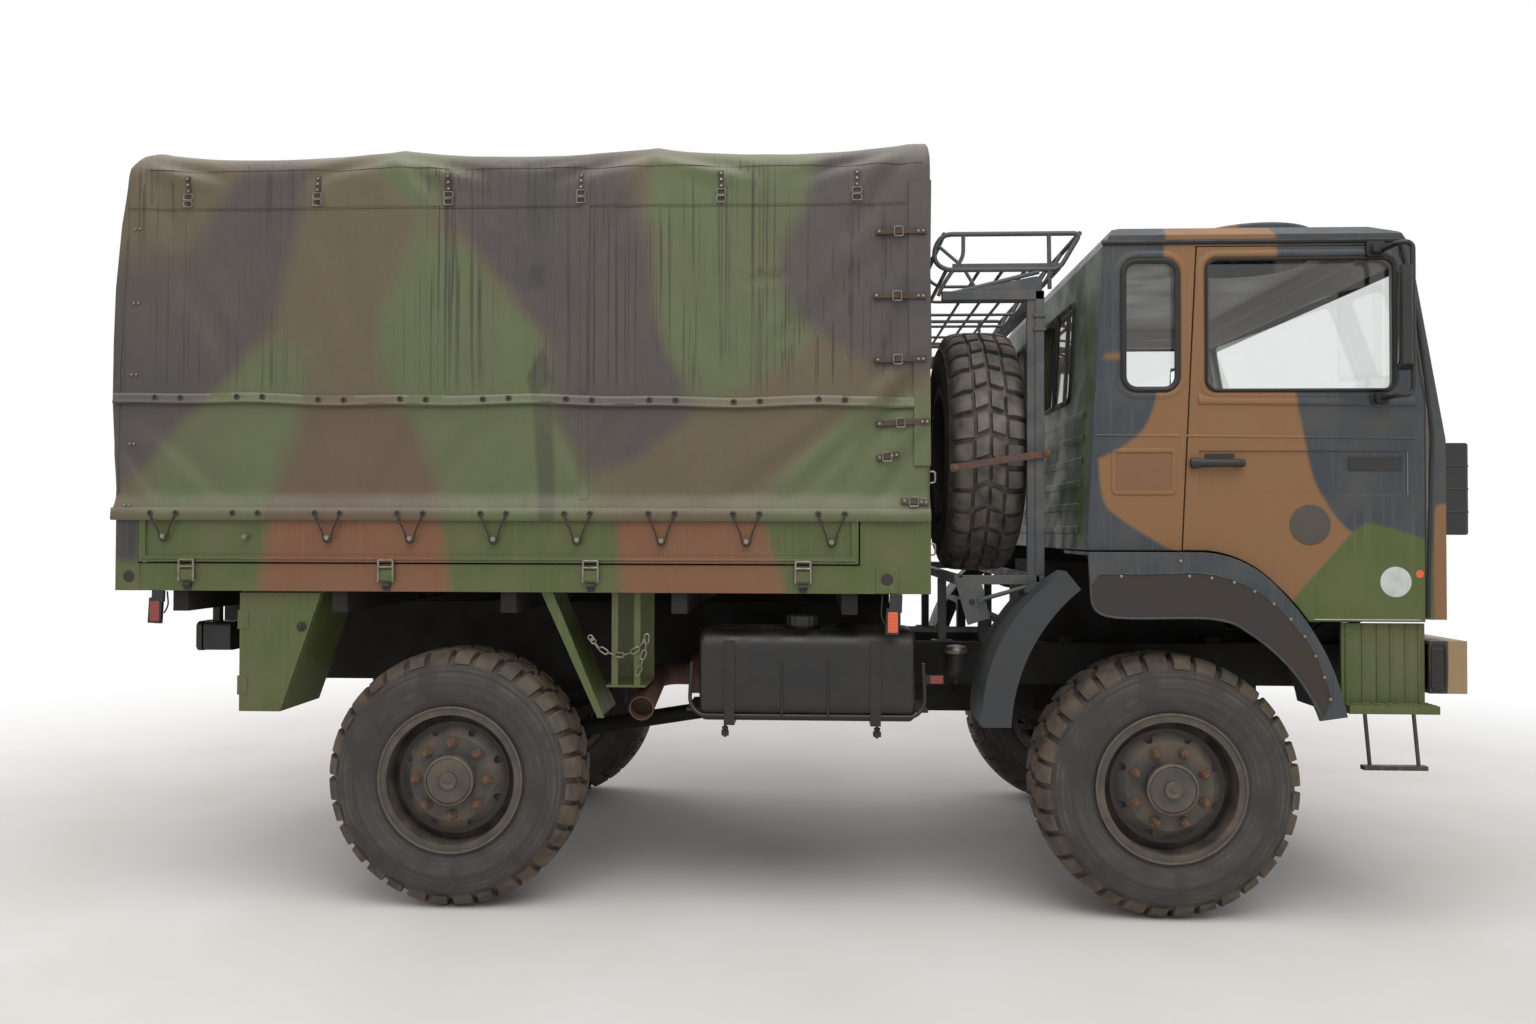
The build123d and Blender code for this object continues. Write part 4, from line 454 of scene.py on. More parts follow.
def coated_canvas(paints):
    """Coated cotton canvas, woven and dyed in patches: matt, with rain tracks and dust in its weave."""
    made, tree, shader, point = surface("coated_woven_canvas", Base_Color=paints["olive"], Roughness=0.62,
        Sheen_Weight=0.10, Sheen_Roughness=0.6, Specular_IOR_Level=0.5)
    stained = [Patch("stain", "right", 12, corners) for corners in STAINS]
    colour = camouflage(tree, point, paints, "olive", COVER_PATCHES, 0.045, 0.10, 0.35)
    colour = camouflage_over(tree, point, colour, stained, paints)
    # Faded clouds two hands wide
    clouds = speckle(tree, point, 0.30, 4, 0.30, 0.72)
    fade = add(tree, "MapRange", {"Value": clouds, "To Min": 0.0, "To Max": 0.34})
    faded = add(tree, "Mix", {0: fade, 6: colour, 7: "#6c6250"}, data_type="RGBA")
    # Faces turned to the sky are paler: a painted reflection of the sky, together with sun bleaching and dust
    normal = point.node.outputs["Normal"]
    upward = add(tree, "SeparateXYZ", {0: normal})
    sky_sheen_and_bleach = add(tree, "MapRange", {"Value": upward.outputs["Z"], "From Min": 0.10, "From Max": 0.90,
        "To Max": 0.55})
    faded = add(tree, "Mix", {0: sky_sheen_and_bleach, 6: faded, 7: "#8d867c"}, data_type="RGBA")
    # Dark rain tracks 5 mm wide, longer than a hand, only above the rolled strip
    runs = speckle(tree, point, 0.009, 1, 0.575, 0.635, (1, 0.6, 0.008))
    where = speckle(tree, point, 0.30, 2, 0.40, 0.56, (1, 1, 0.40))
    height = add(tree, "SeparateXYZ", {0: point})
    above = add(tree, "MapRange", {"Value": height.outputs["Z"], "From Min": 1.985, "From Max": 2.06})
    top = add(tree, "MapRange", {"Value": height.outputs["Z"], "From Min": 2.93, "From Max": 2.86})
    tracks = runs
    for share in (where, above, top, 0.70):
        tracks = add(tree, "Math", {0: tracks, 1: share}, operation="MULTIPLY")
    wet = add(tree, "Mix", {0: tracks, 6: faded, 7: "#2b2322"}, data_type="RGBA")
    rough = add(tree, "MapRange", {"Value": clouds, "To Min": 0.52, "To Max": 0.74})
    fill(tree, shader, {"Base Color": wet, "Roughness": rough})
    # The real weave is 0.7 mm a thread; drawn at 4 mm, or it wouldn't show from here
    weave = add(tree, "TexWave", {"Vector": point, "Scale": 39.0, "Distortion": 0.6}, wave_type="BANDS",
        bands_direction="Z")
    weft = add(tree, "TexWave", {"Vector": point, "Scale": 39.0, "Distortion": 0.6}, wave_type="BANDS",
        bands_direction="X")
    cross = add(tree, "Math", {0: weave, 1: weft}, operation="ADD")
    # Slack wrinkles a finger wide, running down the cloth
    slack = add(tree, "Mapping", {"Vector": point, "Scale": (14, 9, 5)})
    wrinkles = add(tree, "TexNoise", {"Vector": slack, "Scale": 1.0, "Detail": 3.0})
    broad = add(tree, "Bump", {"Height": wrinkles, "Strength": 0.55, "Distance": 0.02})
    bump = add(tree, "Bump", {"Height": cross, "Strength": 0.16, "Distance": 0.001, "Normal": broad})
    fill(tree, shader, {"Normal": bump})
    return made


def dusty(name, paint, dust, roughness, amount=0.5, size=0.12, grain=0.003, **values):
    """A plain finish with clouds of dust or rust of a real size over it, and a fine grain."""
    made, tree, shader, point = surface(name, Base_Color=paint, Roughness=roughness, **values)
    clouds = speckle(tree, point, size, 6, 0.40, 0.68)
    thin = add(tree, "Math", {0: clouds, 1: amount}, operation="MULTIPLY")
    colour = add(tree, "Mix", {0: thin, 6: paint, 7: dust}, data_type="RGBA")
    rough = add(tree, "MapRange",
        {"Value": clouds, "To Min": roughness, "To Max": min(1.0, roughness + 0.25)})
    fine = add(tree, "TexNoise", {"Vector": point, "Scale": 1 / grain, "Detail": 3.0})
    bump = add(tree, "Bump", {"Height": fine, "Strength": 0.2, "Distance": 0.001})
    fill(tree, shader, {"Base Color": colour, "Roughness": rough, "Normal": bump})
    return made


def tyre_rubber(name, dust):
    """Moulded natural rubber: dull, dust in the tread and on its blocks, the wall wiped in rings."""
    made, tree, shader, point = surface(name, Base_Color="#3d3a38", Roughness=0.72, Specular_IOR_Level=0.35)
    parts = add(tree, "SeparateXYZ", {0: point})
    flat = add(tree, "CombineXYZ", {0: parts.outputs["X"], 1: parts.outputs["Z"]})
    radius = add(tree, "VectorMath", {0: flat}, operation="LENGTH")
    outer = add(tree, "MapRange", {"Value": radius.outputs["Value"], "From Min": 0.425, "From Max": 0.500})
    clouds = speckle(tree, point, 0.07, 5, 0.33, 0.66)
    share = add(tree, "Math", {0: clouds, 1: outer}, operation="MULTIPLY")
    share = add(tree, "Math", {0: share, 1: 0.85}, operation="MULTIPLY")
    tread = add(tree, "Mix", {0: share, 6: "#3d3a38", 7: dust}, data_type="RGBA")
    # Rings of polish about 8 mm wide on the wall
    rings = add(tree, "TexNoise", {"W": radius.outputs["Value"], "Scale": 60.0, "Detail": 2.0},
        noise_dimensions="1D")
    ringed = add(tree, "MapRange", {"Value": rings, "From Min": 0.35, "From Max": 0.7, "To Min": 0.0,
        "To Max": 0.35})
    smear = speckle(tree, point, 0.11, 4, 0.38, 0.66)
    wiped = add(tree, "Math", {0: ringed, 1: smear}, operation="MULTIPLY")
    wiped = add(tree, "Math", {0: wiped, 1: 1.6}, operation="MULTIPLY")
    final = add(tree, "Mix", {0: wiped, 6: tread, 7: "#6a635b"}, data_type="RGBA")
    fill(tree, shader, {"Base Color": final})
    fine = add(tree, "TexNoise", {"Vector": point, "Scale": 260.0, "Detail": 3.0})
    bump = add(tree, "Bump", {"Height": fine, "Strength": 0.25, "Distance": 0.001})
    fill(tree, shader, {"Normal": bump})
    return made


def toughened_glass():
    """Float glass, toughened and a little dusty: it reflects at a slant and lets the daylight through."""
    made, tree, shader, _ = surface("toughened_float_glass", Base_Color="#f1f3f2", Roughness=0.02, IOR=1.45,
        Transmission_Weight=1.0)
    path = add(tree, "LightPath")
    passing = add(tree, "Math", {0: path.outputs["Is Shadow Ray"], 1: path.outputs["Is Diffuse Ray"]},
        operation="MAXIMUM")
    clear = add(tree, "BsdfTransparent", {0: "#eef0ef"})
    both = add(tree, "MixShader", {0: passing, 1: shader, 2: clear})
    fill(tree, tree.nodes["Material Output"], {"Surface": both})
    return made


def lens(name, paint):
    """Moulded acrylic lens, ribbed every 6 mm so that it scatters."""
    made, tree, shader, point = surface(name, Base_Color=paint, Roughness=0.18, IOR=1.49, Coat_Weight=0.6)
    ribs = add(tree, "TexWave", {"Vector": point, "Scale": 26.0}, wave_type="BANDS", bands_direction="Z")
    bump = add(tree, "Bump", {"Height": ribs, "Strength": 0.5, "Distance": 0.002})
    fill(tree, shader, {"Normal": bump})
    return made


def seat_weave():
    """Ribbed seat cloth, woven with 5 mm cords: matt, with a soft sheen at a slant."""
    made, tree, shader, point = surface("ribbed_seat_cloth", Base_Color="#5a554f", Roughness=0.9,
        Sheen_Weight=0.3)
    cords = add(tree, "TexWave", {"Vector": point, "Scale": 31.0, "Distortion": 0.4}, wave_type="BANDS",
        bands_direction="Y")
    # Paler on the cords and darker between them: painted shade in the grooves
    tone = add(tree, "Mix", {0: cords, 6: "#4a4641", 7: "#6b655c"}, data_type="RGBA")
    fill(tree, shader, {"Base Color": tone})
    bump = add(tree, "Bump", {"Height": cords, "Strength": 0.4, "Distance": 0.002})
    fill(tree, shader, {"Normal": bump})
    return made


def mix_finishes(colours):
    """Every finish of the truck, by a maker's plain name."""
    cab = {"grey": colours.cab_grey[:], "brown": colours.cab_brown[:], "green": colours.cab_green[:]}
    bed = {"green": colours.bed_green[:], "brown": colours.bed_brown[:], "dark": shade("#373435")}
    cloth = {"dark": colours.canvas_dark[:], "olive": colours.canvas_olive[:],
        "green": colours.canvas_green[:], "brown": shade("#5c4a37"), "stain": shade("#2c2c20")}
    dark_green, steps = dict(bed, green=shade("#3b4a25")), dict(bed, dark=shade("#2f302a"))
    bumper = dict(cab, brown=shade("#9c8360"), dark=shade("#222120"))
    finishes.update({
        "cab": weathered_enamel("cab_camouflage_enamel", cab, "grey", CAB_PATCHES, 0.008, 0.20, CAB_HEART),
        "rear_wall": weathered_enamel("dark_green_enamel", dark_green, "green", (), 0.01, 0.10, CAB_HEART),
        "steps": weathered_enamel("step_enamel", steps, "green", STEP_PATCHES, 0.02, 0.30),
        "bed": weathered_enamel("bed_camouflage_enamel", bed, "green", BED_PATCHES, 0.022, 0.26),
        "green": weathered_enamel("green_enamel", bed, "green", (), 0.01, 0.30),
        "grey": weathered_enamel("blue_grey_enamel", cab, "grey", (), 0.01, 0.22),
        "canvas": coated_canvas(cloth),
        # Black enamel sprayed on the frame: road dust dulls it to brown-grey
        "chassis": dusty("sprayed_black_chassis_enamel", "#1d1b1a", "#4e4237", 0.5, 0.55, 0.18),
        # The tank's enamel is glossier and less dusty
        "tank": dusty("sprayed_black_tank_enamel", "#161515", "#3a332d", 0.34, 0.35, 0.10),
        # The mudguards behind the front wheels are sprayed with stone-proof grey
        "mudguard": dusty("stone_proof_grey_coating", "#2e3235", "#45423d", 0.55, 0.5, 0.25),
        # Heavy pale dust on the rims, partly real dust and partly painted light in the wheels' shaded wells
        "rim": dusty("dull_grey_pressed_steel", "#403d3a", "#6a5d4e", 0.50, 0.75, 0.09),
        # The rim's rolled lip and the cap's ring are paler than the rim: partly rubbed steel, partly a
        # painted highlight
        "lip": dusty("rubbed_and_highlit_grey_steel", "#5c5449", "#4a4239", 0.42, 0.6, 0.03),
        # Bitumen on the underside, dull and nearly black
        "underside": dusty("bitumen_coated_steel", "#141312", "#2d2621", 0.75, 0.5, 0.15),
        "clamp": dusty("rusted_flat_bar", "#463c37", "#804d34", 0.65, 0.7, 0.035),
        "rust": dusty("rusted_forged_steel", "#5a4335", "#80654f", 0.8, 0.8, 0.012),
        "pipe": dusty("scaled_exhaust_steel", "#4f3b31", "#7b5340", 0.75, 0.8, 0.05),
        "steel": dusty("zinc_plated_steel", "#8d897e", "#6b5d49", 0.38, 0.5, 0.03, Metallic=0.9),
        "leather": dusty("oiled_harness_leather", "#3a2c25", "#5c4a3d", 0.55, 0.6, 0.03),
        "seal": dusty("moulded_rubber_seal", "#191919", "#35322e", 0.55, 0.5, 0.05),
        "plastic": dusty("moulded_black_plastic", "#1c1c1d", "#3b3833", 0.42, 0.4, 0.06),
        "liner": dusty("pressed_liner_sheet", "#2b2523", "#43392f", 0.6, 0.6, 0.15),
        # Grey enamel of the carrier, chalked by the weather
        "carrier": dusty("chalked_grey_enamel", "#3f4144", "#6c6862", 0.45, 0.5, 0.10),
        # Silvered glass in a rubber rim
        "mirror": dusty("silvered_mirror_glass", "#c9cfd3", "#9a9c9b", 0.05, 0.1, 0.2, Metallic=1.0),
        "bumper": weathered_enamel("bumper_enamel", bumper, "brown", BUMPER_PATCHES, 0.004, 0.30),
        "cord": dusty("braided_elastic_cord", "#2d2723", "#54483a", 0.8, 0.6, 0.004),
        "plate": dusty("painted_aluminium_plate", "#7a5538", "#8d6a4c", 0.5, 0.3, 0.05),
        "disc": dusty("white_painted_disc", "#c9ccc9", "#a8a89f", 0.5, 0.4, 0.05),
        "emblem": dusty("dark_painted_disc", "#4b443e", "#5e554b", 0.55, 0.3, 0.05),
        "brass": dusty("blackened_brass_eyelet", "#5f5a4c", "#2d2a25", 0.45, 0.6, 0.004, Metallic=0.8),
        "tyre": tyre_rubber("moulded_tyre_rubber", "#77634d"),
        "spare": tyre_rubber("moulded_spare_rubber", "#7a7068"),
        "glass": toughened_glass(),
        "seat": seat_weave(),
        "orange": lens("orange_acrylic_lens", "#e2571e"),
        "red": lens("red_acrylic_lens", "#8c2417"),
        "clear": lens("clear_acrylic_lens", "#b9bab5"),
    })


NODE_FINISH = {
    "cab": ("cab_side_panels", "cab_front_wall", "cab_roof", "door_right", "door_left", "roof_hatch"),
    "grey": ("front_arches", "cab_floor"),
    "mudguard": ("mudguards",),
    "rear_wall": ("cab_rear_wall",),
    "steps": ("cab_steps",),
    "bed": ("bed_floor", "bed_panels", "drop_sides", "tailgate"),
    "green": ("tool_lockers", "locker_door_right", "locker_door_left", "wheelhouse_panels", "cover_bows"),
    "underside": ("frame_rails", "front_axle", "rear_axle", "leaf_springs", "driveline", "bed_bearers",
        "bed_sills"),
    "chassis": ("spare_carrier", "knuckle_right", "knuckle_left", "tie_rod"),
    "bumper": ("bumper",),
    "tank": ("fuel_tank",),
    "pipe": ("exhaust",),
    "plastic": ("grille", "dashboard", "mirror_right", "mirror_left", "headlamps", "marker_lamps"),
    "rim": ("rim_front_right", "rim_front_left", "rim_rear_right", "rim_rear_left", "rim_spare"),
    "glass": ("cab_glass", "door_glass_right", "door_glass_left"),
}


class TRUCK_OT_finishes(bpy.types.Operator):
    """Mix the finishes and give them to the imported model's nodes"""
    bl_idname = "truck.finishes"
    bl_label = "Finishes"

    def execute(self, context):
        mix_finishes(context.scene.truck_colours)
        for finish, nodes in NODE_FINISH.items():
            for node in nodes:
                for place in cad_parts[node].material_slots:
                    place.material = finishes[finish]
        return {"FINISHED"}


# The stage: camera as the photographer stood, pale floor, soft light
CAMERA_PLACE = (0.1518, -5.2576, 1.4708)
CAMERA_TURN = 2.396          # degrees towards the truck's tail
CAMERA_RISE = 0.923
CAMERA_ROLL = 0.152
CAMERA_LENS, SENSOR = 25.76, 36.0   # mm
FLOOR_REACH = 60.0
FADE = (3.4, 8.0)            # where the floor begins and ends going over into white
SKY_STRENGTH = 0.62
# Each lamp's name, place, size and power in watts
LAMPS = (("overcast", (1.0, -4.0, 9.0), 9.0, 620.0), ("fill", (-7.0, 5.0, 6.0), 7.0, 230.0))
AIM = Vector((0, 0, 1))


def in_sight(tree):
    """1 for a ray from the camera, off a polished face or through glass."""
    path = add(tree, "LightPath")
    seen = add(tree, "Math", {0: path.outputs["Is Camera Ray"], 1: path.outputs["Is Glossy Ray"]},
        operation="MAXIMUM")
    return add(tree, "Math", {0: seen, 1: path.outputs["Is Transmission Ray"]}, operation="MAXIMUM")


class TRUCK_OT_stage(bpy.types.Operator):
    """Set the camera, the pale floor and the soft studio light"""
    bl_idname = "truck.stage"
    bl_label = "Stage"

    def execute(self, context):
        scene = context.scene
        lens = bpy.data.cameras.new("photograph")
        lens.lens, lens.sensor_width = CAMERA_LENS, SENSOR
        turn, rise, roll = (radians(a) for a in (CAMERA_TURN, CAMERA_RISE, CAMERA_ROLL))
        ahead = Vector((-sin(turn) * cos(rise), cos(turn) * cos(rise), sin(rise)))
        right = Vector((cos(turn), sin(turn), 0))
        up = right.cross(ahead)
        across = right * cos(roll) + up * sin(roll)
        above = up * cos(roll) - right * sin(roll)
        camera = bpy.data.objects.new("photograph", lens)
        camera.matrix_world = Matrix((across, above, -ahead)).transposed().to_4x4()
        camera.location = CAMERA_PLACE
        scene.collection.objects.link(camera)
        scene.camera = camera

        floor = bpy.data.meshes.new("floor")
        corners = [(x * FLOOR_REACH, y * FLOOR_REACH, 0) for x, y in ((-1, -1), (1, -1), (1, 1), (-1, 1))]
        floor.from_pydata(corners, [], [(0, 1, 2, 3)])
        ground = bpy.data.objects.new("floor", floor)
        scene.collection.objects.link(ground)
        # Swept concrete, pale and matt
        made, tree, shader, point = surface("swept_pale_concrete", Base_Color="#dedad5", Roughness=0.9)
        clouds = speckle(tree, point, 0.9, 6, 0.3, 0.75)
        tone = add(tree, "Mix", {0: clouds, 6: "#e2deda", 7: "#d9d4ce"}, data_type="RGBA")
        fill(tree, shader, {"Base Color": tone})
        # Far from the truck the floor goes over into the white background, and keeps the truck's shadow
        seen = in_sight(tree)
        away = add(tree, "VectorMath", {0: point}, operation="LENGTH")
        far = add(tree, "MapRange",
            {"Value": away.outputs["Value"], "From Min": FADE[0], "From Max": FADE[1]},
            interpolation_type="SMOOTHSTEP")
        share = add(tree, "Math", {0: far, 1: seen}, operation="MULTIPLY")
        bright = add(tree, "Emission", {0: "#ffffff", 1: 1.0})
        both = add(tree, "MixShader", {0: share, 1: shader, 2: bright})
        fill(tree, tree.nodes["Material Output"], {"Surface": both})
        floor.materials.append(made)

        world = bpy.data.worlds.new("daylight")
        world.use_nodes = True
        scene.world = world
        tree = world.node_tree
        sky = tree.nodes["Background"]
        seen = in_sight(tree)
        white = add(tree, "Background", {0: "#ffffff", 1: 1.0})
        sky.inputs[0].default_value = shade("#f6f8fb")
        sky.inputs[1].default_value = SKY_STRENGTH
        both = add(tree, "MixShader", {0: seen, 1: sky, 2: white})
        fill(tree, tree.nodes["World Output"], {"Surface": both})

        for name, place, size, power in LAMPS:
            lamp = bpy.data.lights.new(name, "AREA")
            lamp.size, lamp.energy = size, power
            light = bpy.data.objects.new(name, lamp)
            light.location = place
            light.rotation_euler = (AIM - Vector(place)).to_track_quat("-Z", "Y").to_euler()
            scene.collection.objects.link(light)
        scene.view_settings.view_transform = "Standard"
        return {"FINISHED"}


# The canvas cover. Its cloth is found by x along the truck and s, the way round from the right-hand hem
COVER_HALF = COVER_HIGH.y
COVER_TOP = COVER_HIGH.z
HEM_Z = COVER_LOW.z - 0.036   # its sides hang over the top of the drop sides
FLARE = -DROP_LOW.y + 0.006 - COVER_HALF
FLARE_Z = (DROP_HIGH.z + 0.004, DROP_HIGH.z + 0.085)
CORNER = 0.130                # rounding along the top edges
END_ROUND = 0.030             # and round the ends
RIM = 0.075                   # how far the cloth turns in over the ends
WALL = COVER_TOP - HEM_Z - CORNER
TURN = CORNER * pi / 2
ROOF = 2 * (COVER_HALF - CORNER)
GIRTH = 2 * (WALL + TURN) + ROOF
# Outline of the cover's back in the side view: (height, distance ahead of the hindmost point)
BACK_LINE = ((1.50, 0.024), (1.97, 0.0), (2.20, 0.001), (2.41, 0.008), (2.66, 0.030), (2.80, 0.052),
    (2.88, 0.060), (2.94, 0.092), (2.976, 0.150))
Fold = namedtuple("Fold", "x0 z0 x1 z1 depth width")
SIDE_FOLDS = (
    Fold(-1.47, 2.95, -1.10, 2.84, 0.012, 0.030), Fold(-1.47, 2.95, -1.85, 2.83, 0.010, 0.030),
    Fold(-1.47, 2.96, -1.25, 2.70, 0.006, 0.035), Fold(-0.46, 2.95, -0.85, 2.83, 0.013, 0.030),
    Fold(-0.46, 2.95, -0.95, 2.88, 0.010, 0.020), Fold(-0.46, 2.95, -0.05, 2.84, 0.011, 0.030),
    Fold(-0.46, 2.90, -0.66, 2.55, 0.006, 0.045), Fold(0.51, 2.96, 0.10, 2.83, 0.012, 0.028),
    Fold(0.51, 2.93, 0.28, 2.60, 0.008, 0.040), Fold(-2.45, 2.93, -2.15, 2.84, 0.012, 0.030),
    Fold(-2.45, 2.90, -2.30, 2.45, 0.007, 0.050), Fold(0.56, 2.10, 0.24, 1.60, 0.010, 0.040),
    Fold(0.50, 2.02, 0.05, 1.56, 0.009, 0.040), Fold(0.58, 1.86, 0.38, 1.56, 0.008, 0.030),
    Fold(0.30, 1.92, -0.20, 1.56, 0.006, 0.050), Fold(-0.60, 1.93, -0.78, 1.56, 0.006, 0.030),
    Fold(-0.86, 1.93, -0.70, 1.58, 0.006, 0.030), Fold(-1.40, 1.93, -1.52, 1.56, 0.006, 0.045),
    Fold(-1.10, 1.90, -1.38, 1.56, 0.004, 0.050), Fold(-2.45, 1.90, -2.10, 1.57, 0.006, 0.045),
    Fold(-2.55, 1.80, -2.38, 1.57, 0.006, 0.030), Fold(-2.35, 2.50, -2.05, 2.02, 0.006, 0.050),
    Fold(-2.10, 2.40, -1.98, 2.00, 0.004, 0.040), Fold(0.42, 2.55, -0.05, 2.10, 0.005, 0.060),
    Fold(-0.95, 2.60, -1.02, 2.02, 0.004, 0.050), Fold(-0.38, 2.70, -0.30, 2.05, 0.004, 0.060),
    Fold(-1.80, 1.92, -1.92, 1.57, 0.005, 0.050), Fold(0.05, 2.45, -0.12, 2.42, 0.004, 0.020),
    Fold(-1.75, 2.66, -1.55, 2.02, 0.003, 0.070), Fold(0.50, 2.40, 0.40, 2.02, 0.007, 0.035),
)


def back_of(z):
    """Where the cover's back is at a height."""
    for (z0, d0), (z1, d1) in zip(BACK_LINE, BACK_LINE[1:]):
        if z <= z1:
            return COVER_LOW.x + d0 + (d1 - d0) * max(0.0, (z - z0) / (z1 - z0))
    return COVER_LOW.x + BACK_LINE[-1][1]


def flare_at(z):
    """1 where the cloth hangs outside the drop sides, 0 above."""
    t = min(1.0, max(0.0, (FLARE_Z[1] - z) / (FLARE_Z[1] - FLARE_Z[0])))
    return t * t * (3 - 2 * t)


def section(s):
    """A point of the cover's plain section and its outward direction, as (y, z, out y, out z)."""
    flip = s > GIRTH / 2
    way = GIRTH - s if flip else s
    sign = 1 if flip else -1
    if way < WALL:
        return sign * (COVER_HALF + FLARE * flare_at(HEM_Z + way)), HEM_Z + way, sign, 0.0
    if way < WALL + TURN:
        a = (way - WALL) / CORNER
        return (sign * (COVER_HALF - CORNER + CORNER * cos(a)), COVER_TOP - CORNER + CORNER * sin(a),
            sign * cos(a), sin(a))
    return sign * (COVER_HALF - CORNER - (way - WALL - TURN)), COVER_TOP, 0.0, 1.0


def sag_at(x):
    """0 over a bow, 1 halfway between two bows."""
    for a, b in zip(BOW_X, BOW_X[1:]):
        if a < x < b:
            t = (x - a) / (b - a)
            return (4 * t * (1 - t)) ** 0.8
    return 0.0


def fold_at(x, z):
    """Depth of the drawn-in folds at a place on a side."""
    depth = 0.0
    for f in SIDE_FOLDS:
        dx, dz = f.x1 - f.x0, f.z1 - f.z0
        long = hypot(dx, dz)
        t = ((x - f.x0) * dx + (z - f.z0) * dz) / long ** 2
        if -0.1 < t < 1.1:
            off = ((x - f.x0) * dz - (z - f.z0) * dx) / long / f.width
            if abs(off) < 3:
                fade = max(0.0, min(1.0, (t + 0.1) * 4)) * max(0.0, min(1.0, (1.1 - t) * 2))
                depth += f.depth * fade * (exp(-off * off) - 0.6 * exp(-(off - 1.3) ** 2))
    return depth


def cloth(x, s, lift=0.0):
    """A point of the hung cover, lifted off its cloth by a distance."""
    sizes = bpy.context.scene.truck_sizes
    y, z, out_y, out_z = section(s)
    hung = sag_at(x)
    low = min(1.0, max(0.0, (z - HEM_Z) / WALL))
    inward = hung * (sizes.top_sag * out_z ** 2 + sizes.side_sag * (1 - out_z ** 2) * (0.4 + 0.6 * low))
    near = min(1.0, (1 - out_z) * 1.4)
    inward += near * sizes.fold_depth * fold_at(x, z if out_z < 1 else 9)
    mirror = 0.0 if y < 0 else 7.3
    inward -= 0.0045 * noise.noise(Vector((x * 2.1 + mirror, y * 1.8, z * 1.5)))
    inward -= 0.0022 * noise.noise(Vector((x * 7.0 + mirror, y * 5.0, z * 3.0)))
    # Ridges of cloth drawn over the roof from bow to bow
    inward -= 0.006 * out_z ** 2 * hung * noise.noise(Vector((x * 2.0, y * 9.0, 3.3)))
    # Scallops between the lacing at the hem
    inward -= 0.006 * (1 - low) ** 6 * sin(x * tau / 0.352)
    # The hem keeps clear of the drop sides
    inward = min(inward, 0.002) if z < FLARE_Z[0] else inward * (1 - 0.8 * flare_at(z))
    shift = lift - inward
    return Vector((x, y + shift * out_y, z + shift * out_z))


def turned_in(s, inset):
    """How far the cloth turns in over an end, which is nothing below the top of the bed's sides."""
    z = section(s)[1]
    return inset * min(1.0, max(0.0, (z - FLARE_Z[0]) / 0.03))


def cover_x(u, s):
    """Place along the truck for u from 0 at the back to 1 at the front, following the back's outline."""
    z = section(s)[1]
    x = COVER_LOW.x + u * (COVER_HIGH.x - COVER_LOW.x)
    return x + (back_of(z) - COVER_LOW.x) * max(0.0, 1 - u / 0.16) ** 2


class TRUCK_OT_cover(bpy.types.Operator):
    """Hang the canvas cover over its bows, with its two end curtains"""
    bl_idname = "truck.cover"
    bl_label = "Canvas cover"

    def execute(self, context):
        step = context.scene.truck_sizes.cloth_step
        around = spread(0, GIRTH, round(GIRTH / step))
        along = spread(0, 1, round((COVER_HIGH.x - COVER_LOW.x) / step))
        rows = []
        for inset, forward in ((RIM, 0.0), (RIM * 0.6, 0.0), (END_ROUND, 0.0), (END_ROUND * 0.4, 0.15),
                (0.0, 0.45)):
            rows.append([cloth(cover_x(0, s) + END_ROUND * forward, s, -turned_in(s, inset)) for s in around])
        rows += [[cloth(cover_x(u, s) + END_ROUND * (1 - u) - END_ROUND * u, s) for s in around]
            for u in along]
        for inset, back in ((0.0, 0.45), (END_ROUND * 0.4, 0.15), (END_ROUND, 0.0), (RIM, 0.0)):
            rows.append([cloth(COVER_HIGH.x - END_ROUND * back, s, -turned_in(s, inset)) for s in around])
        shape = bmesh.new()
        skin(shape, rows)
        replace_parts(piece("canvas_cover", shape, "canvas", crease=80), "cargo_cover")

        for name, front in (("rear_curtain", False), ("front_curtain", True)):
            levels = spread(COVER_LOW.z + 0.004, COVER_TOP - (0.05 if front else 0.010), 72)
            places = [(COVER_HIGH.x if front else back_of(z), z) for z in levels]
            if not front:
                # Its top edge is tucked in between the last bow and the roof
                places.append((places[-1][0] + 0.030, places[-1][1]))
            rows = []
            for end, z in places:
                firm = 1.0 if front else min(1.0, (COVER_TOP - z) / 0.10)
                drop = max(0.0, z - (COVER_TOP - CORNER))
                half = COVER_HALF - CORNER + sqrt(max(0.0, CORNER ** 2 - drop ** 2)) - 0.016
                row = []
                for y in spread(-half, half, 110):
                    belly = 0.008 * noise.noise(Vector((y * 2.2, z * 1.2, 5.0 + front)))
                    belly += 0.004 * noise.noise(Vector((y * 9.0, z * 1.6, 8.0)))
                    inner = firm * (0.012 + belly * min(1.0, (half - abs(y)) * 8))
                    row.append((end - inner if front else end + inner, y, z))
                rows.append(row)
            shape = bmesh.new()
            skin(shape, rows)
            curtain = piece(name, shape, "canvas", crease=80)
        return {"FINISHED"}


# The tyres: an on-and-off-road tread of big and small shoulder blocks with staggered blocks between them
Block = namedtuple("Block", "start end inner outer skew")
TREAD_BLOCKS = (
    Block(0.04, 0.48, 0.062, 0.192, 0.05), Block(0.56, 0.93, 0.068, 0.174, 0.05),
    Block(-0.08, 0.32, 0.005, 0.054, 0.10), Block(0.42, 0.82, 0.005, 0.060, 0.10),
)


def tyre_profile(radius):
    """The tyre's outer line from the middle of the tread to the bead, as (across, radius)."""
    r = radius
    return [(0.0, r), (0.060, r - 0.001), (0.100, r - 0.005), (0.122, r - 0.013), (0.137, r - 0.028),
        (0.146, r - 0.050), (0.154, r - 0.078), (0.161, r - 0.100), (0.165, r - 0.128), (0.163, r - 0.155),
        (0.156, r - 0.180), (0.147, r - 0.203), (0.1417, 0.285)]


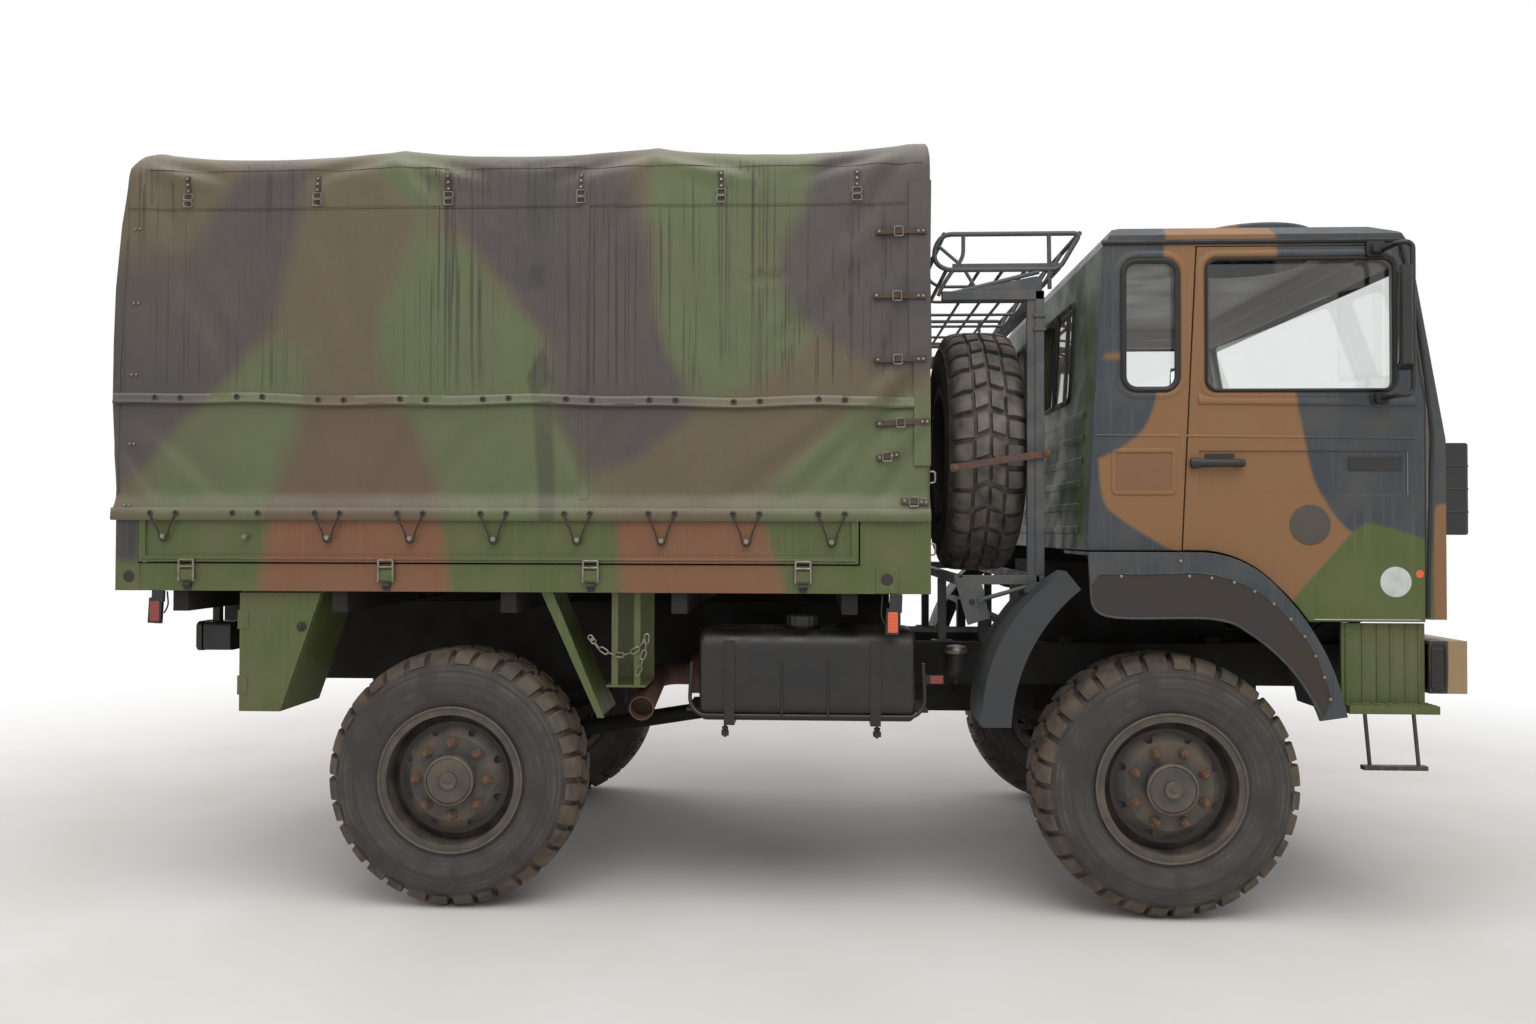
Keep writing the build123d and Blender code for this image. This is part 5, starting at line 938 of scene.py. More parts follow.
def on_line(line, way):
    """A point of a line and its outward direction, by the way along it."""
    for (a, b), (c, d) in zip(line, line[1:]):
        length = hypot(c - a, d - b)
        if way <= length or (c, d) == line[-1]:
            t = min(1.0, way / length)
            return a + (c - a) * t, b + (d - b) * t, -(d - b) / length, (c - a) / length
        way -= length
    raise ValueError("the way is past the line's end")


def add_tyre(name, hub, radius, body, node, sizes, turned, finish):
    """One tyre about its own hub."""
    depth, pitches = sizes.tread_depth, sizes.tread_pitches
    line = tyre_profile(radius)
    groove_end = 0.178
    shape = bmesh.new()
    # The carcass, with the floor of the grooves below the tread and a raised ring where they end
    half = []
    for way in spread(0, 0.186, 15) + [0.19, 0.195, 0.20, 0.21, 0.225, 0.24, 0.26, 0.28, 0.30]:
        y, r, out_y, out_r = on_line(line, way)
        sink = depth * min(1.0, max(0.0, (groove_end - way) / 0.03))
        rise = 0.003 if 0.187 < way < 0.197 or 0.255 < way < 0.262 else 0.0
        half.append((y + (rise - sink) * out_y, r + (rise - sink) * out_r))
    half.append(line[-1])
    inner = [(0.120, 0.290), (0.130, 0.36), (0.125, 0.42), (0.06, radius - 0.045)]
    loop = half + inner
    loop += [(-y, r) for y, r in reversed(loop)][:-1]
    lathe(shape, loop + [loop[0]], (0, 0, 0), steps=96, capped=False)
    bmesh.ops.remove_doubles(shape, verts=shape.verts, dist=0.0002)
    # The blocks stand on it
    for side in (-1, 1):
        for pitch in range(pitches):
            for b in TREAD_BLOCKS:
                shift = 0.0 if side < 0 else 0.45
                rows = []
                for i, t in enumerate((0.0, 0.05, 0.50, 0.95, 1.0)):
                    row = []
                    for j, v in enumerate((0.0, 0.05, 0.28, 0.42, 0.56, 0.70, 0.95, 1.0)):
                        y, r, out_y, out_r = on_line(line, b.inner + (b.outer - b.inner) * v)
                        # The block's rim goes down to the groove's floor
                        drop = depth + 0.002 if i in (0, 4) or j in (0, 7) else 0.0
                        y, r = y - drop * out_y, r - drop * out_r
                        turn = pitch + shift + b.start + (b.end - b.start) * t + b.skew * (v - 0.5)
                        angle = turn * tau / pitches
                        row.append(Vector((r * cos(angle), side * y, r * sin(angle))))
                    rows.append(row)
                skin(shape, rows)
    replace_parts(piece(name, shape, finish, body, at=hub, turn=turned, crease=42), node)


WHEELS = (("front_right", "wheel_front_right", 22.5), ("front_left", "wheel_front_left", 10.0),
    ("rear_right", "wheel_rear_right", 0.0), ("rear_left", "wheel_rear_left", 30.0),
    ("spare", "chassis", 0.0))


class TRUCK_OT_tyres(bpy.types.Operator):
    """Mould the five tyres with their block tread"""
    bl_idname = "truck.tyres"
    bl_label = "Tyres"

    def execute(self, context):
        for place, body, _ in WHEELS:
            low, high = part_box(f"tyre_{place}")
            spare = place == "spare"
            add_tyre(f"moulded_tyre_{place}", (low + high) / 2, SPARE_R if spare else TREAD_R, body,
                f"tyre_{place}", context.scene.truck_sizes, pi / 2 if spare else 0.0,
                "spare" if spare else "tyre")
        return {"FINISHED"}


NUT_CIRCLE = 0.1405           # radius of the circle that the wheel nuts stand on
NUT_COUNT = 8


class TRUCK_OT_wheel_nuts(bpy.types.Operator):
    """Screw on the wheel nuts, and put the brake drum and the cap's ring on each wheel"""
    bl_idname = "truck.wheel_nuts"
    bl_label = "Wheel nuts"

    def execute(self, context):
        for place, body, start in WHEELS[:4]:
            side = -1 if "right" in place else 1
            hub = REAR_HUB if "rear" in place else FRONT_HUB
            face = 0.128                     # the nuts' seat outside the wheel's middle plane
            nuts = bmesh.new()
            for n in range(NUT_COUNT):
                a = radians(90 + start + 360 / NUT_COUNT * n)
                x, z = NUT_CIRCLE * cos(a), NUT_CIRCLE * sin(a)
                lathe(nuts, [(-0.004, 0.021), (0.004, 0.020)], (x, side * face, z), (0, side, 0), 16)
                lathe(nuts, [(0.004, 0.0165), (0.019, 0.0165), (0.021, 0.014)], (x, side * face, z),
                    (0, side, 0), 6)
                lathe(nuts, [(0.021, 0.0095), (0.030, 0.0090), (0.031, 0.007)], (x, side * face, z),
                    (0, side, 0), 12)
            at = Vector((hub.x, 0.9 * side, hub.z))
            piece(f"wheel_nuts_{place}", nuts, "rust", body, at=at, crease=30)
            rings = bmesh.new()
            lathe(rings, [(0.1500, 0.2845), (0.1545, 0.2835), (0.1560, 0.2795), (0.1545, 0.2755),
                (0.1500, 0.2745)], (0, 0, 0), (0, side, 0), 96, capped=False)
            lathe(rings, [(0.1600, 0.0965), (0.1640, 0.0960), (0.1660, 0.0915), (0.1680, 0.0870)], (0, 0, 0),
                (0, side, 0), 64, capped=False)
            lathe(rings, [(0.1735, 0.0330), (0.1760, 0.0310), (0.1765, 0.0240), (0.1745, 0.0200),
                (0.1745, 0.0080), (0.1790, 0.0065), (0.1800, 0.0030)], (0, 0, 0), (0, side, 0), 32)
            piece(f"rim_lip_and_cap_rings_{place}", rings, "lip", body, at=at)
            drum = bmesh.new()
            lathe(drum, [(0.0, 0.172), (0.004, 0.172), (0.004, 0.218), (0.0, 0.218), (0.0, 0.172)],
                (0, side * 0.090, 0), (0, side, 0), 48, capped=False)
            piece(f"drum_ring_{place}", drum, "liner", body, at=at)
        return {"FINISHED"}


# Hardware on the cover. Heights and places along the truck are metres on its side
PAIR_START, PAIR_PITCH, PAIR_HALF, PAIRS = -2.362, 0.3225, 0.050, 9
STRIP_Z = (1.978, 1.955)      # the rolled strip at the back and at the front
HOOK_Z = (1.440, 1.424)
RIVET = ((0.0, 0.006), (0.003, 0.005), (0.004, 0.002))
TAB_X = (-2.296, -1.782, -1.266, -0.747, -0.206, 0.313)
# The straps over the front flap: first x, last x, height and lean in degrees
STRAPS = (
    (0.385, 0.575, 2.604, 0), (0.375, 0.575, 2.360, -1), (0.380, 0.575, 2.115, 1), (0.388, 0.590, 1.874, 2),
    (0.388, 0.475, 1.742, 9), (0.480, 0.585, 1.582, -4),
)


def way_of(z, side):
    """The way round the cover to a height on one side."""
    return z - HEM_Z if side < 0 else GIRTH - (z - HEM_Z)


def on_wall(x, z, side, lift=0.0):
    """A point on the cover's side."""
    return cloth(x, way_of(z, side), lift)


def strip_height(x):
    """The rolled strip's height, which waves a little."""
    t = (x - COVER_LOW.x) / (COVER_HIGH.x - COVER_LOW.x)
    return STRIP_Z[0] + (STRIP_Z[1] - STRIP_Z[0]) * t + 0.004 * sin(x * 5.1) + 0.003 * sin(x * 11.7)


def band(shape, path, width, lift, side, across=2):
    """A flat band sewn on the cover's side along points (x, z)."""
    fine = []
    for (x0, z0), (x1, z1) in zip(path, path[1:]):
        count = max(2, int(hypot(x1 - x0, z1 - z0) / 0.03))
        fine += [(x0 + (x1 - x0) * i / count, z0 + (z1 - z0) * i / count) for i in range(count)]
    fine.append(path[-1])
    rows = []
    for i, (x, z) in enumerate(fine):
        xa, za = fine[max(0, i - 1)]
        xb, zb = fine[min(len(fine) - 1, i + 1)]
        long = hypot(xb - xa, zb - za)
        nx, nz = (zb - za) / long, -(xb - xa) / long
        offsets = [-0.5, *spread(-0.5, 0.5, across + 1), 0.5]
        rows.append([on_wall(x + nx * o * width, z + nz * o * width, side,
            0.0 if k in (0, len(offsets) - 1) else lift) for k, o in enumerate(offsets)])
    # Closed at both ends, so that a strap has a thickness there too
    rows.insert(0, [on_wall(fine[0][0] + (p.x - fine[0][0]), p.z, side, -0.001) for p in rows[0]])
    rows.append([on_wall(p.x, p.z, side, -0.001) for p in rows[-1]])
    skin(shape, rows)


class TRUCK_OT_seams(bpy.types.Operator):
    """Sew the rolled strip, the hem, the seams and the front flaps on the cover"""
    bl_idname = "truck.seams"
    bl_label = "Cover seams"

    def execute(self, context):
        for name, side in SIDES:
            back, front = COVER_LOW.x + 0.02, COVER_HIGH.x
            roll = bmesh.new()
            rows = []
            for x in spread(back, 0.53, 120):
                z = strip_height(x)
                rows.append([on_wall(x, z + dz, side, lift)
                    for dz, lift in ((0.020, 0.0), (0.018, 0.007), (0.006, 0.010), (-0.008, 0.012),
                    (-0.016, 0.016), (-0.022, 0.012), (-0.020, 0.0))])
            skin(roll, rows)
            piece(f"rolled_strip_{name}", roll, "canvas", crease=60)
            hem = bmesh.new()
            rows = []
            for x in spread(back + 0.005, front - 0.002, 120):
                rows.append([on_wall(x, HEM_Z + dz, side, lift)
                    for dz, lift in ((0.046, 0.0), (0.044, 0.003), (0.024, 0.004), (0.003, 0.006),
                    (-0.003, 0.002), (0.0, -0.004))])
            skin(hem, rows)
            piece(f"hem_{name}", hem, "canvas", crease=60)
            seams = bmesh.new()
            for z in (2.718, 2.724):
                band(seams, ((back + 0.05, z), (0.50, z - 0.004)), 0.004, 0.0022, side)
            band(seams, ((back + 0.12, 2.877), (0.56, 2.872)), 0.005, 0.0020, side)
            band(seams, ((-0.729, 2.86), (-0.734, 2.00)), 0.034, 0.0022, side)
            band(seams, ((-0.734, 1.93), (-0.730, 1.585)), 0.034, 0.0022, side)
            band(seams, ((-2.535, 2.60), (-2.560, 2.10), (-2.565, 1.60)), 0.006, 0.003, side)
            piece(f"seams_{name}", seams, "canvas", crease=50)
            flaps = bmesh.new()
            band(flaps, ((0.552, 2.80), (0.549, 2.45), (0.555, 2.105)), 0.084, 0.006, side, 4)
            band(flaps, ((0.560, 2.11), (0.561, 1.90), (0.562, 1.715)), 0.062, 0.009, side, 4)
            piece(f"front_flaps_{name}", flaps, "canvas", crease=50)
        return {"FINISHED"}


def add_buckle(shape, x, z, side, lift, half_x, half_z, wire):
    """A wire ring on the cover's side."""
    out = on_wall(x, z, side, lift).y
    ring = rounded(x - half_x, x + half_x, z - half_z, z + half_z, 0.004, 3)
    tube(shape, [(a, out, b) for a, b in ring], wire, 6, closed=True)


def fit_straps(name, side):
    """The tabs, straps, buckles and rivets on one side of the cover."""
    leather, metal = blanks(2)
    for x in TAB_X:
        band(leather, ((x, 2.845), (x + 0.002, 2.735)), 0.019, 0.004, side)
        for z in (2.835, 2.812, 2.788):
            out = on_wall(x, z, side, 0.006)
            lathe(metal, RIVET, out, (0, side, 0), 10)
        for z in (2.765, 2.738):
            add_buckle(metal, x, z, side, 0.009, 0.017, 0.011, 0.0022)
    for x0, x1, z, lean in STRAPS:
        rise = (x1 - x0) * sin(radians(lean))
        band(leather, ((x0, z), ((x0 + x1) / 2, z + rise / 2 + 0.002), (x1, z + rise)), 0.020, 0.014, side)
        for x in (x0 + 0.012, x1 - 0.012, x1 - 0.030):
            out = on_wall(x, z + (x - x0) / (x1 - x0) * rise, side, 0.014)
            lathe(metal, RIVET, out, (0, side, 0), 10)
        add_buckle(metal, x0 + 0.45 * (x1 - x0), z + 0.45 * rise, side, 0.017, 0.016, 0.018, 0.0026)
    for z in (2.64, 2.35, 2.07, 1.80, 1.56):
        for dx in (0.0, 0.018):
            out = on_wall(-2.50 - 0.02 * (2.64 - z) + dx, z, side, 0.002)
            lathe(metal, RIVET, out, (0, side, 0), 10)
    piece(f"leather_straps_{name}", leather, "leather")
    piece(f"strap_buckles_{name}", metal, "steel")


class TRUCK_OT_straps(bpy.types.Operator):
    """Rivet the leather tabs and straps with their buckles on the cover"""
    bl_idname = "truck.straps"
    bl_label = "Cover straps"

    def execute(self, context):
        for name, side in SIDES:
            fit_straps(name, side)
        return {"FINISHED"}


def lace_hem(name, side, thick):
    """The eyelets, hooks and cords on one side of the cover."""
    eyelets, hole_shades, hooks = blanks(3)
    for k in range(PAIRS):
        middle = PAIR_START + PAIR_PITCH * k
        hook_z = HOOK_Z[0] + (HOOK_Z[1] - HOOK_Z[0]) * k / (PAIRS - 1)
        face = side * -DROP_LOW.y
        lathe(hooks, [(-0.002, 0.010), (0.003, 0.010), (0.003, 0.006), (0.016, 0.006), (0.016, 0.009),
            (0.019, 0.009)], (middle, face, hook_z), (0, side, 0), 12)
        for x in (middle - PAIR_HALF, middle + PAIR_HALF):
            for z, lift in ((strip_height(x) + 0.002, 0.011), (HEM_Z + 0.024, 0.0045)):
                out = on_wall(x, z, side, lift)
                lathe(eyelets, [(0.0, 0.013), (0.003, 0.011), (0.0035, 0.008), (0.0, 0.007)], out,
                    (0, side, 0), 16, capped=False)
                # A dark disc in each eyelet: painted shade in place of an opening through the cloth
                lathe(hole_shades, [(-0.001, 0.0075), (0.0008, 0.0072)], out, (0, side, 0), 12)
        if k == 1:
            continue
        start = on_wall(middle - PAIR_HALF, HEM_Z + 0.024, side, 0.004)
        end = on_wall(middle + PAIR_HALF, HEM_Z + 0.024, side, 0.004)
        out = face + side * 0.010
        path = [start, start + Vector((0.003, side * 0.010, -0.016)),
            Vector((middle - 0.018, out, hook_z + 0.022)), Vector((middle - 0.015, out, hook_z - 0.012)),
            Vector((middle, out, hook_z - 0.021)), Vector((middle + 0.015, out, hook_z - 0.012)),
            Vector((middle + 0.018, out, hook_z + 0.022)), end + Vector((-0.003, side * 0.010, -0.016)), end]
        curve = bpy.data.curves.new(f"elastic_cord_{name}_{k}", "CURVE")
        curve.dimensions, curve.bevel_depth, curve.bevel_resolution = "3D", thick / 2, 2
        line = curve.splines.new("NURBS")
        line.points.add(len(path) - 1)
        for spot, place in zip(line.points, path):
            spot.co = (*place, 1.0)
        line.order_u, line.use_endpoint_u, line.resolution_u = 3, True, 6
        curve.materials.append(finishes["cord"])
        cord = bpy.data.objects.new(curve.name, curve)
        bpy.context.scene.collection.objects.link(cord)
        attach(cord, "chassis")
    piece(f"eyelets_{name}", eyelets, "brass")
    piece(f"eyelet_hole_shades_{name}", hole_shades, "seal")
    piece(f"lacing_hooks_{name}", hooks, "steel")


class TRUCK_OT_lacing(bpy.types.Operator):
    """Set the eyelets and hooks, and lace the hem down with elastic cords"""
    bl_idname = "truck.lacing"
    bl_label = "Lacing"

    def execute(self, context):
        thick = context.scene.truck_sizes.cord_diameter
        for name, side in SIDES:
            lace_hem(name, side, thick)
        return {"FINISHED"}


# The cab's trim. Marks on its sides are metres along the truck and up; the side is at CAB_SIDE
WINDOW_Z = (1.994, 2.501)
DOOR_WINDOW = (1.623, 2.327, *WINDOW_Z, 0.045)
QUARTER_WINDOW = (1.310, 1.531, *WINDOW_Z, 0.060)
REAR_WINDOWS = ((-0.640, -0.060), (0.060, 0.640))
REAR_WINDOW_Z = (2.010, 2.420)
SCREEN = (-0.985, 0.985, 1.880, 2.490, 0.050)
NOSE_X = AXLE_X + 1.008
NOSE_Z = 1.812                # the front leans back above this height
NOSE_SLOPE = 0.174
REAR_X = (AXLE_X - 0.316, AXLE_X - 0.254)
REAR_Z = (1.397, 2.548)
SEAL = ((-0.012, -0.004), (-0.012, 0.002), (-0.007, 0.007), (0.002, 0.009), (0.008, 0.006), (0.012, 0.001),
    (0.012, -0.004))
CREASE = ((0.006, -0.002), (0.003, 0.0022), (0.0, 0.0030), (-0.004, 0.0016), (-0.006, -0.002))
LEDGE = ((0.036, -0.001), (0.016, 0.0050), (0.004, 0.0068), (0.0, 0.0058), (-0.005, -0.001))
PRESSED_LIP = ((0.010, -0.003), (0.013, 0.003), (0.020, 0.005), (0.030, 0.004), (0.044, -0.003))
DISC_PLACE, DISC_R = (2.321, 1.282), 0.057
EMBLEM_PLACE, EMBLEM_R = (2.008, 1.494), 0.076
DOT_PLACE, DOT_R = (2.409, 1.312), 0.015
DATA_PLATE = (1.281, 1.507, 1.612, 1.774)
DOOR_PLATE = (2.150, 2.350, 1.697, 1.750)
# The arch's band and its liner, from the front axle
ARCH_BAND = ((-0.281, 1.305), (-0.08, 1.306), (0.125, 1.306), (0.296, 1.244), (0.423, 1.130), (0.514, 1.001),
    (0.567, 0.846))
ARCH_LINER = ((-0.314, 1.260), (-0.255, 1.152), (0.139, 1.143), (0.281, 1.084), (0.412, 0.970),
    (0.502, 0.842), (0.534, 0.772))
ARCH_RIVETS = ((1.298, 1.300), (1.548, 1.301), (1.630, 1.295), (1.712, 1.279), (1.787, 1.246), (1.856, 1.200),
    (1.917, 1.144), (1.968, 1.080), (2.007, 1.008), (2.039, 0.930), (2.060, 0.849))


def trim_ring(shape, outline, place, section):
    """A strip round a closed outline on the face that place gives; its section is (outward, proud)."""
    rows = []
    for i, (a, b) in enumerate(outline):
        (a0, b0), (a1, b1) = outline[i - 1], outline[(i + 1) % len(outline)]
        long = hypot(a1 - a0, b1 - b0)
        na, nb = (b1 - b0) / long, (a0 - a1) / long
        rows.append([place(a + na * out, b + nb * out, proud) for out, proud in section])
    skin(shape, rows, round_rows=True, round_across=True)


def on_side(side, face=CAB_SIDE):
    """The place of a mark on a side of the cab, by x, z and how proud it stands."""
    return lambda x, z, proud: Vector((x, side * (face + proud), z))


def side_plate(shape, side, face, thick, outline):
    """A plate on the truck's side, its inner face at a distance from the middle plane."""
    plate(shape, [(x, side * face, z) for x, z in outline], (0, side * thick, 0))


def end_plate(shape, face, thick, outline):
    """A plate across the truck, from its face at an x."""
    plate(shape, [(face, y, z) for y, z in outline], (thick, 0, 0))


def on_screen(y, z, proud):
    """A place on the windscreen's slanting face."""
    return Vector((NOSE_X - NOSE_SLOPE * (z - NOSE_Z) + proud, y, z))


def on_rear(y, z, proud):
    """A place on the cab's rear wall."""
    t = (z - REAR_Z[0]) / (REAR_Z[1] - REAR_Z[0])
    return Vector((REAR_X[0] + (REAR_X[1] - REAR_X[0]) * t - proud, y, z))


def ridge(shape, x0, z0, x1, z1, place, section):
    """A pressed ridge from one mark to another; its section is (up, proud)."""
    rows = [[place(x0 + (x1 - x0) * t, z0 + (z1 - z0) * t + up, proud) for up, proud in section]
        for t in spread(0, 1, 12)]
    skin(shape, rows, round_across=True, capped=True)


def seal_windows(name, side):
    """The seals and lips of one side's two windows."""
    for part, body, window, wide in (("door", f"door_{name}", DOOR_WINDOW, 0.55),
            ("quarter", "cab", QUARTER_WINDOW, 0.9)):
        seal, lip = blanks(2)
        outline = rounded(*window, 7)
        trim_ring(seal, outline, on_side(side), [((o - 0.011) * wide, p) for o, p in SEAL])
        trim_ring(lip, outline, on_side(side), [(o - 0.009, p * 0.9) for o, p in PRESSED_LIP])
        piece(f"{part}_window_seal_{name}", seal, "seal", body)
        piece(f"{part}_window_lip_{name}", lip, "cab", body, crease=60)


class TRUCK_OT_window_seals(bpy.types.Operator):
    """Fit the rubber seals and pressed lips round the cab's windows"""
    bl_idname = "truck.window_seals"
    bl_label = "Window seals"

    def execute(self, context):
        for name, side in SIDES:
            seal_windows(name, side)
        seals = bmesh.new()
        trim_ring(seals, rounded(*SCREEN, 7), on_screen, [(o * 2.0, p * 1.3) for o, p in SEAL])
        for y0, y1 in REAR_WINDOWS:
            outline = rounded(y0, y1, *REAR_WINDOW_Z, 0.035, 7)
            trim_ring(seals, outline, on_rear, SEAL)
            middle = (y0 + y1) / 2
            ridge_line = [on_rear(middle, z, 0.002) for z in spread(REAR_WINDOW_Z[0], REAR_WINDOW_Z[1], 4)]
            tube(seals, ridge_line, 0.010, 8)
        piece("screen_and_rear_seals", seals, "seal", "cab")
        return {"FINISHED"}


def press_side(name, side):
    """The pressings, the gutter's seal and the painted shadow in the door's front gap of one side."""
    place = on_side(side)
    door, wall = blanks(2)
    # The crease and the ridge on the door's lower edge take the finish's pale edges, a painted highlight
    # along them
    ridge(door, 1.553, 1.829, 2.404, 1.819, place, CREASE)
    ridge(door, 1.598, 1.951, 2.398, 1.942, place, LEDGE)
    ridge(door, 2.020, 1.139, 2.410, 1.139, place, ((0.005, -0.002), (0.0, 0.005), (-0.005, -0.002)))
    ridge(wall, 1.212, 1.831, 1.530, 1.829, place, CREASE)
    piece(f"door_pressings_{name}", door, "cab", f"door_{name}", crease=40)
    piece(f"wall_pressings_{name}", wall, "cab", "cab", crease=40)
    seals = bmesh.new()
    # The gutter's black strip: partly rubber, partly painted shade under the roof's edge
    tube(seals, [(1.242, side * (CAB_SIDE + 0.001), 2.561), (2.350, side * (CAB_SIDE + 0.001), 2.563)], 0.010,
        8)
    # A black strip just ahead of the door's front gap: a painted shadow of the gap
    corner = [(x, side * (CAB_SIDE + 0.001), z) for x, z in ((2.348, 2.545), (2.372, 2.440), (2.407, 2.262),
        (2.430, 2.080), (2.458, 1.824), (2.449, 1.640), (2.445, 1.477), (2.441, 1.300), (2.439, 1.150))]
    tube(seals, bent(corner, 0.05, 4), 0.0075, 8)
    piece(f"gutter_seal_and_gap_shade_{name}", seals, "seal", "cab")


class TRUCK_OT_cab_pressings(bpy.types.Operator):
    """Press the ledge, the crease and the gutter's seal of the cab, and lay a painted shadow in each door's
    front gap
    """
    bl_idname = "truck.cab_pressings"
    bl_label = "Cab pressings"

    def execute(self, context):
        for name, side in SIDES:
            press_side(name, side)
        return {"FINISHED"}


def fit_door(name, side):
    """One door's handle, plates, discs, and its mirror's parts."""
    door = f"door_{name}"
    face = side * CAB_SIDE
    handle = bmesh.new()
    # The pull bar, flat and tapering, on its pivot
    rows = []
    for x, half, proud, thick in ((1.560, 0.010, 0.022, 0.006), (1.564, 0.019, 0.018, 0.012),
            (1.580, 0.021, 0.017, 0.014), (1.600, 0.016, 0.018, 0.013), (1.690, 0.014, 0.019, 0.012),
            (1.752, 0.015, 0.019, 0.012), (1.762, 0.013, 0.018, 0.010), (1.765, 0.009, 0.016, 0.006)):
        ring = [(half * cos(a), thick * sin(a)) for a in spread(0, tau, 17)[:-1]]
        rows.append([(x, face + side * (proud + p), 1.7245 + u) for u, p in ring])
    skin(handle, rows, round_across=True, capped=True)
    for x in (1.580, 1.748):
        lathe(handle, [(-0.006, 0.013), (0.016, 0.011)], (x, face, 1.7245), (0, side, 0), 20)
    side_plate(handle, side, CAB_SIDE - 0.0055, 0.0025, rounded(1.621, 1.732, 1.744, 1.762, 0.006, 4))
    piece(f"door_handle_{name}", handle, "plastic", door, edge=0.001)

    plates = bmesh.new()
    side_plate(plates, side, CAB_SIDE - 0.006, 0.0035, rounded(*DOOR_PLATE, 0.006, 4))
    piece(f"door_plate_{name}", plates, "plastic", door, edge=0.0008)
    data, border = blanks(2)
    x0, x1, z0, z1 = DATA_PLATE
    side_plate(data, side, CAB_SIDE - 0.001, 0.0025, rounded(x0 + 0.012, x1 - 0.008, z0 + 0.008, z1 - 0.012,
        0.006, 4))
    trim_ring(border, rounded(x0, x1, z0, z1, 0.010, 4), on_side(side),
        ((-0.010, -0.001), (-0.008, 0.0034), (0.0, 0.0046), (0.006, 0.003), (0.009, -0.001)))
    piece(f"data_plate_{name}", data, "plate", "cab", edge=0.0006)
    piece(f"data_plate_border_{name}", border, "cab", "cab")
    for kind, (x, z), radius in (("disc", DISC_PLACE, DISC_R), ("emblem", EMBLEM_PLACE, EMBLEM_R),
            ("orange", DOT_PLACE, DOT_R)):
        shape = bmesh.new()
        lathe(shape, [(-0.0005, radius), (0.0010, radius - 0.0003), (0.0013, radius - 0.0016),
            (0.0013, radius * 0.5)], (x, face, z), (0, side, 0), 48)
        piece(f"painted_{kind}_{name}", shape, kind, door)

    clamps = bmesh.new()
    for x, z, half in ((2.250, 2.528, 0.030), (2.260, 1.966, 0.022)):
        side_plate(clamps, side, CAB_SIDE - 0.001, 0.014,
            rounded(x - 0.034, x + 0.034, z - half, z + half, 0.012, 5))
        side_plate(clamps, side, CAB_SIDE + 0.010, 0.022,
            rounded(x - 0.020, x + 0.026, z - 0.018, z + 0.018, 0.010, 5))
    piece(f"mirror_clamps_{name}", clamps, "seal", door, edge=0.003)
    turn = radians(25) * -side
    spin = Matrix.Rotation(-turn, 3, "Z")
    heart = Vector((AXLE_X + 0.790, side * 1.200, 2.2425))
    glass, hood = blanks(2)
    back = spin @ Vector((-1, 0, 0))
    across = spin @ Vector((0, 1, 0))
    outline = rounded(-0.076, 0.076, -0.160, 0.160, 0.020, 5)

    def on_mirror(a, b, proud):
        return heart + back * (0.018 + proud) + across * a + Vector((0, 0, b))

    plate(glass, [on_mirror(a, b, 0.0015) for a, b in outline], back * 0.0025)
    trim_ring(hood, rounded(-0.078, 0.078, -0.163, 0.163, 0.022, 5), on_mirror,
        ((-0.004, 0.0), (-0.003, 0.005), (0.004, 0.006), (0.008, 0.0)))
    piece(f"mirror_glass_{name}", glass, "mirror", door)
    piece(f"mirror_rim_{name}", hood, "seal", door)


class TRUCK_OT_door_fittings(bpy.types.Operator):
    """Fit the door handles, blank plates and discs, and the mirrors' clamps and glass"""
    bl_idname = "truck.door_fittings"
    bl_label = "Door fittings"

    def execute(self, context):
        for name, side in SIDES:
            fit_door(name, side)
        return {"FINISHED"}


def fit_lamps(name, side):
    """One side's headlamp, turn lamp and bumper end."""
    lens, rim = blanks(2)
    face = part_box("headlamps")[1].x
    spot = (face, side * 0.760, 0.964)
    lathe(lens, [(-0.004, 0.070), (0.002, 0.068), (0.007, 0.050), (0.010, 0.025), (0.011, 0.004)], spot,
        (1, 0, 0), 40)
    lathe(rim, [(-0.004, 0.0795), (0.004, 0.079), (0.006, 0.075), (0.003, 0.070), (-0.002, 0.069)], spot,
        (1, 0, 0), 40, capped=False)
    piece(f"headlamp_lens_{name}", lens, "clear")
    piece(f"headlamp_rim_{name}", rim, "steel")
    # The turn lamp stands in the bumper's open end
    turn, casing = blanks(2)
    end_plate(turn, face - 0.003, 0.007, rounded(side * 0.985 - 0.045, side * 0.985 + 0.045, 0.920, 1.008,
        0.012, 5))
    piece(f"turn_lamp_{name}", turn, "orange", edge=0.002)
    side_plate(casing, side, 1.046, 0.006, rounded(2.462, 2.500, 0.905, 1.030, 0.010, 5))
    trim_ring(casing, rounded(2.456, 2.506, 0.882, 1.048, 0.014, 5), on_side(side, 1.049),
        ((-0.006, -0.001), (-0.005, 0.006), (0.004, 0.006), (0.006, -0.001)))
    piece(f"bumper_end_{name}", casing, "seal", edge=0.001)


